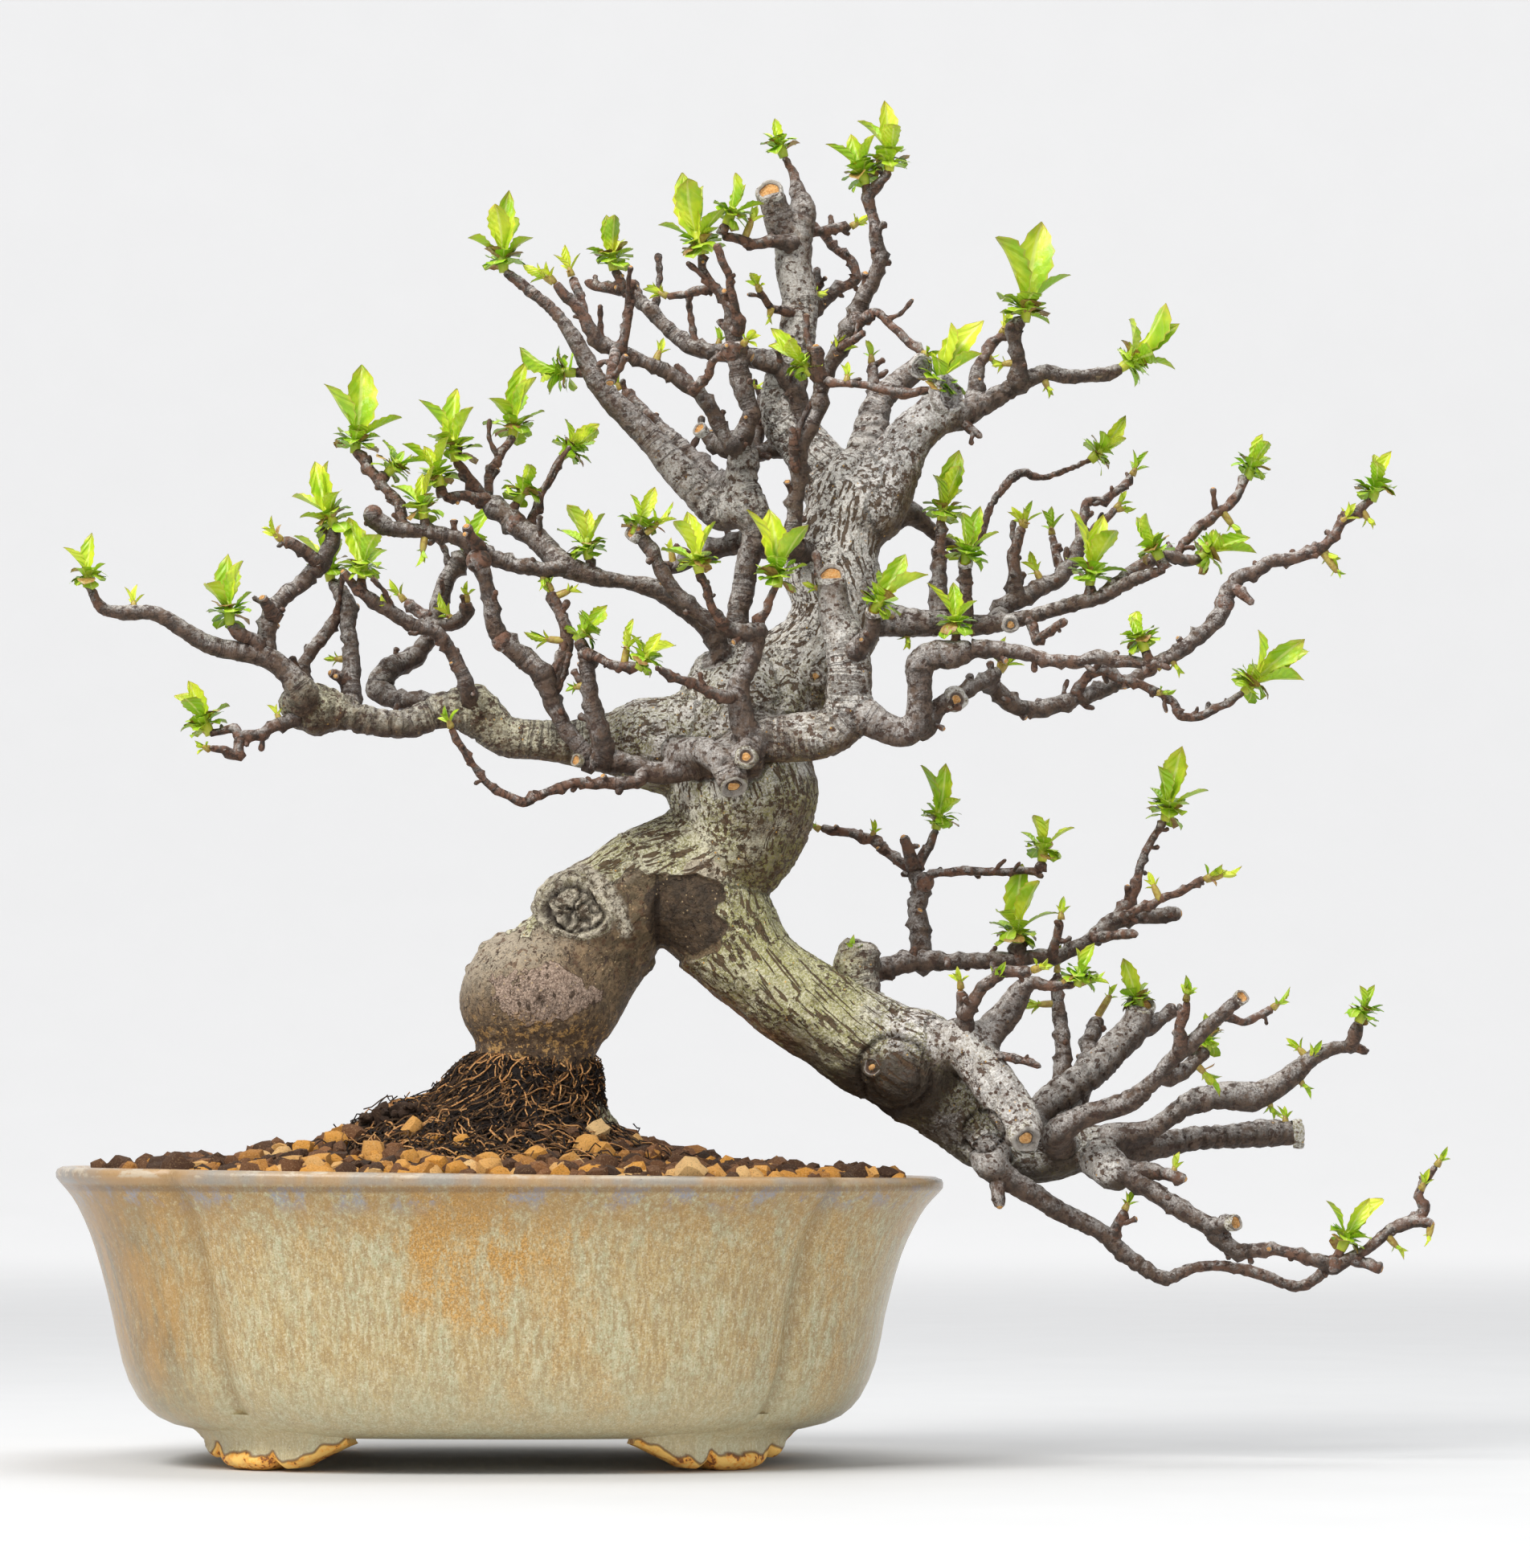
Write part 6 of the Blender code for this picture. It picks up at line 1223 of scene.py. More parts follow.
@dataclass
class Wood:
    """Trunk, limbs and twigs over the shared branch tables."""

    shift: Vector
    thick_from: float = 3.3
    voxel: float = 0.97
    twig_step: float = 0.85
    twig_sides: int = 8
    knot: tuple[float, float, float] = (18, 139.2, 8)
    knot_depth: float = 1.8
    roll: tuple[tuple[float, float], ...] = ((17, 148), (22, 148), (26.5, 144.5), (29, 139.5), (30.5, 134.5))
    calm: tuple[tuple[float, float, float], ...] = ((88, 126, 11), (117, 103, 10), (126, 90, 12))
    gnarled: tuple[tuple[float, float, float], ...] = ((-41, 190, 10), (-7, 189, 7), (88, 127, 7),
        (60, 175, 8))
    collars: tuple[tuple[float, float, float], ...] = ((97.5, 99, 8.8), (119.5, 84.5, 5))
    ridge: float = 0.8
    spur_gap: tuple[float, float] = (3.5, 9.0)
    long_share: float = 0.16
    swellings: tuple[tuple[float, float, float, float, float], ...] = ((9.5, 0, 117.8, 20.2, 0.88),
        (18, -7, 139.6, 8.4, 0.8), (102, -5, 102.5, 12.6, 0.95), (60, -2, 168, 17.5, 1),
        (88.8, -1, 126.8, 4.9, 1), (90.8, -3, 128.6, 2.9, 1), (86.6, -1, 129.9, 2.7, 1),
        (29, -9, 143, 6.5, 0.9))
    seed: int = 11

    def __post_init__(self) -> None:
        """Grows the branches and sorts them into limbs and twigs."""
        self.grown = grow()
        self.parents = {name: parent for name, parent, _, _ in BRANCHES}
        self.limbs = [name for name, line in self.grown.items()
            if max(r for _, r in line[1:]) > self.thick_from]
        self.near_limbs = Clearance([self.grown[name] for name in self.limbs])
        self.near_all = Clearance(list(self.grown.values()))

    def build_limbs(self, bark: Material) -> Object:
        """The trunk and the thick limbs as one skin of bark.

        Args:
            bark: the finish.

        Returns:
            The piece.
        """
        shape = Shape()
        for name in self.limbs:
            bar = Bar.through(self.grown[name], 1.5)
            if self.parents[name] in self.grown:
                flare = np.exp(-bar.along() / (bar.radii[0] * 1.1))
                bar.radii = bar.radii * (1 + 0.3 * flare)
            bar.into(shape, 24)
        self.add_roots(shape)
        for x, z, radius in KNOBS:
            carrier = self.find(x, z, 5)
            if carrier and self.near_limbs.wood(carrier[0]) < radius:
                self.ball(shape, carrier[0], radius)
        for x, y, z, radius, squash in self.swellings:
            self.ball(shape, Vector((x, y, z)), radius, squash)
        made = shape.build("limbs", Vector((0, 0, 0)))
        close_up(made)
        apply(made, "REMESH", mode="VOXEL", voxel_size=self.voxel * MM)
        apply(made, "SMOOTH", factor=0.5, iterations=4)
        self.refine(made)
        self.carve(made)
        made.data.transform(Matrix.Translation(self.shift * MM))
        self.skin = made
        return dress(made, bark, Slot.BARK, "tree")

    @staticmethod
    def refine(made: Object) -> None:
        """Divides the skin once more round the knot, where its relief is finest."""
        pick(made)
        bpy.context.tool_settings.mesh_select_mode = False, False, True
        for face in made.data.polygons:
            x, y, z = face.center / MM
            face.select = 2 < x < 54 and y < 4 and (124 < z < 158) and (face.normal.y < 0.25)
        bpy.ops.object.mode_set(mode="EDIT")
        bpy.ops.mesh.subdivide(number_cuts=1)
        bpy.ops.object.mode_set(mode="OBJECT")
        bpy.context.tool_settings.mesh_select_mode = True, False, False

    def on_skin(self, x: float, z: float) -> tuple[Vector, Vector] | None:
        """Where the line of sight through a place meets the limbs' skin.

        Args:
            x: how far right the place is seen.
            z: how high it is seen.

        Returns:
            The point and the normal there, or None.
        """
        start = (EYE + self.shift) * MM
        aim = (Vector((x, 0, z)) + self.shift) * MM
        hit, place, normal, _ = self.skin.ray_cast(start, (aim - start).normalized())
        return (place / MM - self.shift, normal) if hit else None

    def add_roots(self, shape: Shape) -> None:
        """The root flare, which spreads into the soil."""
        rng = random.Random(self.seed)
        for i in range(13):
            turn = i * 2 * pi / 13 + rng.uniform(-0.2, 0.2)
            out = Vector((cos(turn), sin(turn) * 0.9, 0))
            thick = rng.uniform(2.2, 4.4)
            start = Vector((7, 0, 97)) + out * 9
            line = [(start, thick), (start + out * 6 + Vector((0, 0, -9)), thick * 0.9),
                (start + out * rng.uniform(10, 13) + Vector((0, 0, -16)), thick * 0.6),
                (start + out * rng.uniform(15, 20) + Vector((0, 0, -24)), thick * 0.35)]
            Bar.through(line, 1.5).into(shape, 12)

    @staticmethod
    def ball(shape: Shape, middle: Vector, radius: float, squash: float = 1.0) -> None:
        """A knob of wood.

        Args:
            shape: the mesh that it goes into.
            middle: its centre.
            radius: its size.
            squash: its height over its width.
        """
        count = 9 if radius < 8 else 17
        turn = np.linspace(0.05, pi - 0.05, count)
        heights = middle.z + radius * squash * np.cos(turn)
        line = np.stack([np.full(count, middle.x), np.full(count, middle.y), heights], axis=1)
        Bar(line, radius * np.sin(turn)).into(shape, 2 * count)

    def find(self, x: float, z: float, within: float) -> tuple[Vector, float, Vector] | None:
        """The front-most wood that is seen at a place.

        Args:
            x: how far right it is seen.
            z: how high it is seen.
            within: how far off it may be seen.

        Returns:
            The point on the middle line, the radius and the direction there, or None.
        """
        best = None
        for line in self.grown.values():
            point, radius, run = nearest_on(line, x, z)
            px, pz = seen_at(point)
            away = hypot(px - x, pz - z)
            if away < max(within, radius) and (best is None or point.y - radius < best[0].y - best[1]):
                best = point, radius, run
        return best

    def carve(self, made: Object) -> None:
        """Gives the limbs' skin its ridges, knot and peeled places, and the values that colour it."""
        mesh = made.data
        count = len(mesh.vertices)
        points = read_points(mesh) / MM
        normals = read_points(mesh, "normal")
        near = self.near_limbs
        names = "thick", "peel", "cut", "along", "crack", "hollow", "callus", "flow_x", "flow_y", "flow_z"
        values = {name: np.zeros(count, np.float32) for name in names}
        # top: how far each point faces the painted light, which paints light and shade into the bark.
        values["top"] = (normals @ PAINTED_LIGHT_FROM).astype(np.float32)
        move = np.zeros(count)
        inward = np.zeros((count, 3))
        lengths = np.concatenate([[0], np.cumsum(np.sqrt(near.square))])
        knot_x, knot_z, knot_r = self.knot
        for i, point in enumerate(points):
            _, number, share = near.nearest(point)
            radius = float(near.start_r[number] + near.grow_r[number] * share)
            run = near.run[number] / sqrt(near.square[number])
            along = lengths[number] + share * sqrt(near.square[number])
            values["thick"][i] = radius / 16
            values["along"][i] = along
            out = normals[i]
            x, z = point[0], point[2]
            rough = min(1.0, radius / 10)
            peel = self.peeled(x, point[1], z, out)
            values["peel"][i] = peel
            drawn = point - near.starts[number] - near.run[number] * share + along * 0.13
            values["flow_x"][i], values["flow_y"][i], values["flow_z"][i] = drawn
            ridge = 1 - abs(ruffle(drawn, 0.2)) * 2
            small = 1 - abs(ruffle(drawn, 0.55, 7)) * 2
            wrinkle = sin(along * 1.7 + 2.6 * ruffle(point, 0.12) + 1.5 * ruffle(point, 0.4, 6))
            ringed = bell(radius - 4.2, 3, 4) * clip(0.2 + 2.5 * ruffle(point, 0.05, 21))
            for calm_x, calm_z, calm_r in self.calm:
                ringed *= 1 - bell((x - calm_x) ** 2 + (z - calm_z) ** 2, calm_r ** 2)
            groove = ringed * max(0.0, -wrinkle - 0.4)
            lump = ruffle(point, 0.075, 11)
            bark = (1 - peel) * rough
            fold = exp(-((x - 39 - 1.5 * ruffle(point, 0.15)) / 1.1) ** 2 - ((z - 139) / 9) ** 4)
            nick = (exp(-((x - 10.6 + (z - 116.4) * 0.3) / 0.9) ** 2 - ((z - 116.4) / 2) ** 2)
                if point[1] < 0 else 0.0)
            bark_edge = max(0.0, 1 - abs(peel - 0.5) * 2) * rough
            move[i] = bark * (0.45 + ridge * self.ridge * 0.55 + small * 0.42) + lump * 1.1 * rough
            move[i] += bark_edge * 0.35 - fold * 1.3 - nick * 1.4
            gnarl = sum(bell((x - a) ** 2 + (z - b) ** 2, c ** 2) for a, b, c in self.gnarled)
            bumps = ruffle(point, 0.33, 13) + 0.4 * ruffle(point, 0.8, 3)
            move[i] += gnarl * bumps * 1.1
            move[i] += ((1 - rough) * ruffle(point, 0.6, 5) * 0.35 + ruffle(point, 0.9, 2) * 0.16
                - groove * 0.62)
            deep_crack = bark * clip((-ridge - 0.35) * 1.6 + (-small - 0.2) * 0.7)
            values["hollow"][i] = max(0.0, nick * 1.3 - 0.35)
            pits = gnarl * max(0.0, -bumps - 0.2) * 1.6
            values["crack"][i] = min(1.0, max(deep_crack, groove * 1.2, pits))
            if out[1] < 0.25 and point[1] < 4:
                px, pz = seen_at(Vector(point))
                band = self.off_roll(px, pz) + 0.8 * ruffle(point, 0.3, 4)
                if band < 3.2:
                    move[i] += 1.3 * bell(band, 1.9)
                    values["callus"][i] = clip(2.4 - band)
                    values["peel"][i] *= min(1.0, band / 3.2)
                for collar_x, collar_z, collar_r in self.collars:
                    off = hypot(px - collar_x, pz - collar_z) / collar_r + 0.1 * ruffle(point, 0.18, 5)
                    if off < 1.5:
                        seam = bell(off - 1, 0.09) + 0.5 * bell(off - 0.72, 0.06)
                        move[i] += 0.9 * max(0.0, 1 - off ** 2) - 1.2 * seam
                        values["crack"][i] = max(values["crack"][i], min(1.0, seam * 0.95))
                away = hypot(px - knot_x, (pz - knot_z) * 1.32 + (px - knot_x) * 0.12) / knot_r
                away += 0.16 * ruffle(point, 0.28, 9)
                if away < 1.7:
                    turn = atan2(pz - knot_z, px - knot_x)
                    lip = bell(away - 1.08, 0.15)
                    swirl = cos(turn * 5 + away * 4 + 7 * ruffle(point, 0.3, 4))
                    inside = max(0.0, 1 - away ** 4)
                    deep = bell(away, 0.2)
                    gap = bell(away - 0.86, 0.07)
                    move[i] = move[i] * (1 - inside) + lip * 1.5 + inside * swirl * 0.8 - gap * 0.9
                    move[i] += inside * 0.5 * ruffle(point, 0.9, 6)
                    inward[i] = 0, deep * self.knot_depth, 0
                    groove = inside * max(0.0, -swirl - 0.25)
                    values["hollow"][i] = min(1.0, deep * 0.8 + groove * 1.15 + gap * 0.9)
                    values["peel"][i] *= 1 - max(inside, lip)
                    values["crack"][i] *= 1 - max(inside, lip)
                    values["callus"][i] = max(values["callus"][i], min(1.0, inside * 1.4 + lip))
        write_points(mesh, points + normals * move[:, None] + inward, values)

    def off_roll(self, x: float, z: float) -> float:
        """How far a place is seen from the rolled edge of bark over the knot."""
        best = 99.0
        for (ax, az), (bx, bz) in zip(self.roll, self.roll[1:]):
            long = (bx - ax) ** 2 + (bz - az) ** 2
            share = clip(((x - ax) * (bx - ax) + (z - az) * (bz - az)) / long)
            best = min(best, hypot(x - ax - share * (bx - ax), z - az - share * (bz - az)))
        return best

    @staticmethod
    def peeled(x: float, y: float, z: float, out: np.ndarray) -> float:
        """How much of the bark has peeled off at a place."""
        under = exp(-((x - 40) / 15) ** 4 - ((z - 137) / 10.5) ** 4) * 1.5
        bulb = exp(-((x - 12) / 28) ** 4 - ((z - 113) / 22) ** 4) * 1.3
        patch = noise.noise(Vector((x * 0.07, y * 0.07 + 8, z * 0.07))) * 1.3 - 0.55
        edge = 0.45 * noise.noise(Vector((x * 0.22, y * 0.22, z * 0.22)))
        return clip((max(under, bulb, patch) + edge - 0.45) * 4)

    def build_twigs(self, name: str, names: list[str], bark: Material, spurs: list[Stations]) -> Object:
        """The thin wood of one part of the tree, ringed and knobbed.

        Args:
            name: the piece's name.
            names: its branches.
            bark: the finish.
            spurs: short spurs that carry shoots.

        Returns:
            The piece.
        """
        rng = random.Random(self.seed + len(names))
        shape = Shape()
        for line in [self.grown[key] for key in names if key not in self.limbs] + spurs:
            bar = Bar.through(line, self.twig_step, 0.65)
            self.ring(bar, shape, rng)
            self.side_spurs(bar, shape, rng)
        for x, z, radius in KNOBS:
            carrier = self.find(x, z, 4)
            own = (carrier and any(min((carrier[0] - p).length for p, _ in self.grown[key]) < 6
                for key in names))
            if own and self.near_limbs.wood(carrier[0]) > 0.5:
                self.ball(shape, carrier[0], radius)
        made = shape.build(name, self.shift)
        return dress(made, bark, Slot.BARK, "tree")

    def ring(self, bar: Bar, shape: Shape, rng: random.Random) -> None:
        """Adds one twig with its flare, ring scars, wrinkles and bud knobs."""
        along = bar.along()
        thick = bar.radii.copy()
        flare = np.exp(-along / (thick[0] * 1.6 + 0.4))
        swell = np.ones(len(along))
        scars = np.zeros(len(along))
        place = rng.uniform(2, 5)
        while place < along[-1]:
            width = rng.uniform(0.3, 0.55)
            scar = np.exp(-((along - place) / width) ** 2)
            swell += np.exp(-((along - place + 0.5) / 1.2) ** 2) * rng.uniform(0.02, 0.2)
            swell -= scar * 0.06
            scars += scar * rng.choice((0.2, 0.5, 1.4))
            place += rng.uniform(1.6, 7.5)
        start = rng.uniform(0, 60)
        wave = np.array([noise.noise(Vector((start + s * 0.5, thick[0], 0))) for s in along])
        wobble = np.array([[noise.noise(Vector((start + s * 0.22, 9.5 * k, 2))) for k in (1, 2, 3)]
            for s in along])
        bar.points = bar.points + wobble * np.minimum(along / 6, 1)[:, None] * 0.55
        bar.radii = thick * (1 + 0.28 * flare) * swell * (1 + 0.16 * wave)
        sides = self.twig_sides
        turn = np.arange(sides) / sides * 2 * pi
        relief = np.zeros((len(along), sides))
        spot = rng.uniform(1, 4)
        while spot < along[-1] - 1:
            angle = rng.uniform(0, 2 * pi)
            round_about = np.exp(-((np.cos(turn - angle) - 1) / 0.35) ** 2)
            size = rng.uniform(0.3, 0.95) * min(1.6, thick[0] ** 0.5)
            relief += (np.exp(-((along - spot) / rng.uniform(0.6, 1.1)) ** 2)[:, None] * round_about[None]
                * size)
            spot += rng.uniform(2.0, 6.5)
        rough = np.array([[noise.noise(Vector((start + s * 1.3, k * 2.7, 5))) for k in range(sides)]
            for s in along])
        relief += rough * 0.13 * thick.mean() ** 0.5
        cap = np.minimum(1, np.sqrt(np.maximum(0,
            1 - (1 - np.minimum(1, (along[-1] - along) / thick[-1])) ** 2)))
        bar.radii = bar.radii * np.maximum(cap, 0.35)
        cut = np.zeros(len(along))
        cut[-1] = 1.0 if thick[-1] > 1.15 else 0.2
        bar.into(shape, sides, relief, thick=thick / 16, along=along + start, cut=cut, crack=scars * 0.5)

    def side_spurs(self, bar: Bar, shape: Shape, rng: random.Random) -> None:
        """Adds the short knobby spurs that stand out from a twig."""
        along = bar.along()
        run, side, up = bar.frames()
        place = rng.uniform(*self.spur_gap)
        while place < along[-1] - 1.5:
            i = int(np.searchsorted(along, place))
            angle = rng.uniform(0, 2 * pi)
            out = side[i] * cos(angle) + up[i] * sin(angle)
            lean = (out + run[i] * rng.uniform(0.2, 1.1)) / 1.3
            reach = bar.radii[i] + rng.choice((0.8, 1.2, 1.6, 2.4, 3.4))
            if rng.random() < self.long_share and bar.points[i][2] > 185:
                reach = rng.uniform(6, 14)
                lean = np.array((lean + np.array((0, 0, 0.9))) / 1.5)
            thick = min(bar.radii[i] * 0.62, rng.uniform(0.7, 1.1))
            foot, end = Vector(bar.points[i]), Vector(bar.points[i] + lean * reach)
            sway = 0.3 + 0.1 * reach
            bent = foot.lerp(end, 0.55) + Vector((rng.uniform(-sway, sway), 0, rng.uniform(-sway, sway)))
            spur = Bar.through([(foot, thick * 1.25), (bent, thick * 0.85), (end, thick)], 0.55, 0.6)
            spur.radii *= 1 + 0.16 * np.sin(spur.along() * 2.1 + place)
            spur.radii[-1] *= 0.45
            cut = np.zeros(len(spur.points))
            cut[-1] = 0.9 if rng.random() < 0.25 else 0.0
            spur.into(shape, 6, thick=thick / 16, along=place, cut=cut, crack=0.25)
            place += rng.uniform(*self.spur_gap)

    def build_cuts(self, bark: Material) -> Object:
        """The healed and fresh cut faces.

        Args:
            bark: the finish.

        Returns:
            The piece.
        """
        shape = Shape()
        bpy.context.view_layer.update()
        for x, z, radius, turn, kind in CUTS:
            found = self.find(x, z, 5)
            if not found:
                LOG.info("no wood at the cut (%s, %s)", x, z)
                continue
            point, thick, run = found
            angle = radians(turn)
            face = Vector((sin(angle), -cos(angle), 0.12)).normalized()
            seen = set_back(x, z, point.y)
            if kind in ("fresh", "broad", "broken", "old"):
                face = (face + run * 0.8).normalized()
                middle = seen + face * 0.35 * radius
            else:
                off = seen - point
                ahead = sqrt(max(thick ** 2 - off.length_squared, 0.2 * thick ** 2))
                face = (face + off / thick * 0.8).normalized()
                middle = seen + Vector((0, -ahead, 0)) + face * 0.25 * radius
                met = self.on_skin(x, z) if thick > self.thick_from else None
                if met:
                    face = (met[1] * 1.5 + Vector((0, -1, 0))).normalized()
                    middle = met[0] + face * 0.05 * radius
            self.disc(shape, middle, face, radius, kind)
        made = shape.build("cut_faces", self.shift)
        return dress(made, bark, Slot.BARK, "tree")

    @staticmethod
    def disc(shape: Shape, middle: Vector, face: Vector, radius: float, kind: str) -> None:
        """One cut face: a rolled callus round a dished heart."""
        shares = np.array([1.02, 1.1, 1.12, 1.05, 0.94, 0.84, 0.76, 0.7, 0.5, 0.3, 0.1])
        rise = np.array([-1.0, -0.45, -0.05, 0.22, 0.28, 0.18, 0.02, -0.1, -0.13, -0.15, -0.15])
        if kind == "callus":
            shares = np.array([1.1, 1.14, 1.08, 0.98, 0.88, 0.76, 0.66, 0.6, 0.52, 0.34, 0.1])
            rise = np.array([-1.0, -0.4, 0.0, 0.26, 0.32, 0.24, 0.02, -0.16, 0.02, 0.1, 0.12])
        if kind in ("broken", "old"):
            rise = np.where(shares < 0.9, 0.12 + 0.1 * np.cos(shares * 19), rise * 0.6)
        if kind == "eye":
            shares = np.array([2.2, 2.0, 1.75, 1.5, 1.25, 1.05, 0.8, 0.55, 0.4, 0.25, 0.1])
            rise = np.array([-1.0, -0.3, 0.1, 0.15, 0.0, -0.15, -0.2, -0.1, 0.05, 0.1, 0.1])
        line = np.array([middle + face * radius * float(r) for r in rise])
        bar = Bar(line, radius * shares)
        side = np.array(face.orthogonal().normalized())
        up = np.cross(np.array(face), side)
        sides = 28
        turn = np.arange(sides) * 2 * pi / sides
        uneven = 1 + 0.05 * np.sin(turn * 3 + radius) + 0.035 * np.sin(turn * 5 + 2 * radius)
        out = side[None] * np.cos(turn)[:, None] + up[None] * np.sin(turn)[:, None]
        points = (bar.points[:, None] + out[None]
            * (bar.radii[:, None] * uneven[None])[:, :, None]).reshape(-1, 3)
        rings = len(line)
        faces = net(rings, sides)
        faces.append(tuple(range((rings - 1) * sides, rings * sides)))
        heart = np.interp(shares, [0, 0.7, 0.78, 0.84, 1.12], [1, 0.75, 0.47, 0.3, 0.0])
        if kind == "callus":
            heart = np.interp(shares, [0, 0.34, 0.46, 0.66, 0.98, 1.12], [1, 0.7, 0.47, 0.3, 0.22, 0.0])
        if kind == "eye":
            heart = np.interp(shares, [0, 0.5, 0.7, 0.9, 1.3, 1.5, 2.2],
                [1, 0.75, 0.52, 0.47, 0.45, 0.05, 0.0])
        wear_and_highlight = np.interp(shares, [0, 0.76, 0.94], [0.75, 0.6, 0.1]) if kind == "old" else 0 * shares
        if kind == "old":
            heart = np.interp(shares, [0.9, 1.0, 1.1, 1.2], [0.05, 0.18, 0.18, 0.0])
        rough = np.array([ruffle(place, 0.9, radius) for place in points])
        points = (points + np.array(face)[None]
            * (rough * (0.45 if kind in ("old", "broken") else 0.08))[:, None])
        shape.add(points, faces, cut=np.repeat(heart, sides), crack=np.repeat(wear_and_highlight, sides) * (0.8 + rough),
            thick=0.4)


@dataclass
class Foliage:
    """The opening shoots and the buds."""

    wood: Wood
    shift: Vector
    seed: int = 3
    lean_tries: tuple[float, ...] = (0, -0.35, 0.35, -0.7, 0.7, -1.1, 1.1, -1.6, 1.6)

    def __post_init__(self) -> None:
        """Models one blade, which every leaf is a bent copy of."""
        self.blade = self.model_blade(12, 8)
        self.small_blade = self.model_blade(6, 4)
        self.spurs: dict[str, list[Stations]] = {}

    @staticmethod
    def model_blade(runs: int, across: int) -> tuple[np.ndarray, list[tuple[int, ...]]]:
        """A flat grid that leaves are bent from, as shares of length and half width.

        Args:
            runs: how many faces it has along.
            across: how many faces it has across.

        Returns:
            Its points and faces.
        """
        deselect()
        bpy.ops.mesh.primitive_grid_add(x_subdivisions=runs, y_subdivisions=across, size=2)
        made = bpy.context.object
        points = np.array([v.co[:2] for v in made.data.vertices])
        faces = [tuple(p.vertices) for p in made.data.polygons]
        bpy.data.objects.remove(made, do_unlink=True)
        points[:, 0] = points[:, 0] / 2 + 0.5
        return points, faces

    def leaf(self, shape: Shape, base: Vector, along: Vector, face: Vector, length: float, width: float,
            rng: random.Random, age: float, scale: float = 0.0) -> None:
        """Adds one leaf.

        Args:
            shape: the mesh that it goes into.
            base: where its stalk starts.
            along: the way that it points.
            face: the way that its upper side faces.
            length: its length.
            width: its full width.
            rng: the draw.
            age: 0 for a leaf that is still folded, 1 for an open one.
            scale: 1 for a brown bud scale.
        """
        grid, faces = self.blade if length > 6 else self.small_blade
        run, side = grid[:, 0], grid[:, 1]
        across = along.cross(face).normalized()
        face = across.cross(along).normalized()
        stops = [0, 0.07, 0.18, 0.34, 0.5, 0.66, 0.8, 0.91, 0.97, 1.0]
        broad = np.interp(run, stops, [0.1, 0.14, 0.5, 0.86, 1.0, 0.94, 0.7, 0.38, 0.16, 0.02])
        blunt = np.interp(run, stops, [0.1, 0.16, 0.36, 0.64, 0.86, 1.0, 0.97, 0.76, 0.46, 0.1])
        broad = broad + (blunt - broad) * min(1.0, max(0.0, age - 0.15) / 0.5)
        teeth = 1 + 0.075 * np.where(np.round(run * 12).astype(int) % 2 == 0, 1, -1) * (np.abs(side) > 0.95)
        half = broad * teeth * width / 2
        fold = radians(44 - 30 * age + rng.uniform(-8, 8))
        arch = (0.04 + 0.22 * age) * rng.uniform(0.5, 1.6)
        curl = rng.uniform(-0.16, 0.16)
        wave = rng.uniform(0, 6)
        out = half * side * cos(fold)
        rise = half * np.abs(side) ** 1.25 * sin(fold)
        rise = rise + 0.045 * width * np.sin(run * 9 + wave + side * 2) * np.abs(side)
        rise = rise - length * arch * run ** 2
        ahead = length * (run - arch * 0.45 * run ** 3)
        out = out + length * curl * run ** 2
        points = (np.array(base)[None] + ahead[:, None] * np.array(along)[None]
            + out[:, None] * np.array(across)[None] + rise[:, None] * np.array(face)[None])
        vein = 0.5 + 0.5 * np.cos((run * 7 - np.abs(side) * 1.4) * 2 * pi)
        shape.add(points, faces, edge=np.abs(side), run=run, age=age, scale=scale, vein=vein)

    def seat(self, branch: str, seen: tuple[float, float], tip: tuple[float, float]) -> tuple[Vector,
            Vector]:
        """Where a shoot stands and its axis. A shoot off a twig's end gets a spur.

        Args:
            branch: the branch that carries it.
            seen: where it is seen.
            tip: where its longest leaf points to.

        Returns:
            The end of its twig and its axis.
        """
        stations = self.wood.grown[branch]
        carrier, radius, run = nearest_on(stations, *seen)
        last = stations[-1][0]
        at_tip = (carrier - last).length < 2.5
        if at_tip:
            carrier, radius = stations[-1]
            run = (last - stations[-2][0]).normalized()
        straight = (set_back(*tip, carrier.y) - set_back(*seen, carrier.y)).normalized()
        reach = max((set_back(*seen, carrier.y) - carrier).dot(straight), radius + 2.2)
        for lean in self.lean_tries + (0,):
            axis = (straight + Vector((0, lean, 0))).normalized()
            end = last if at_tip and run.dot(axis) > 0.2 else carrier + axis * reach
            foot = radius if end is last else 1.2
            clear = self.wood.near_all.wood
            if all(clear(end + axis * ahead) > min(2.2, ahead - foot - 0.6) for ahead in (3, 5, 8)):
                break
        if end is not last:
            self.spurs.setdefault(branch, []).append([(carrier, 1.25), (carrier.lerp(end, 0.6), 1.1),
                (end, 1.15)])
        return end, axis

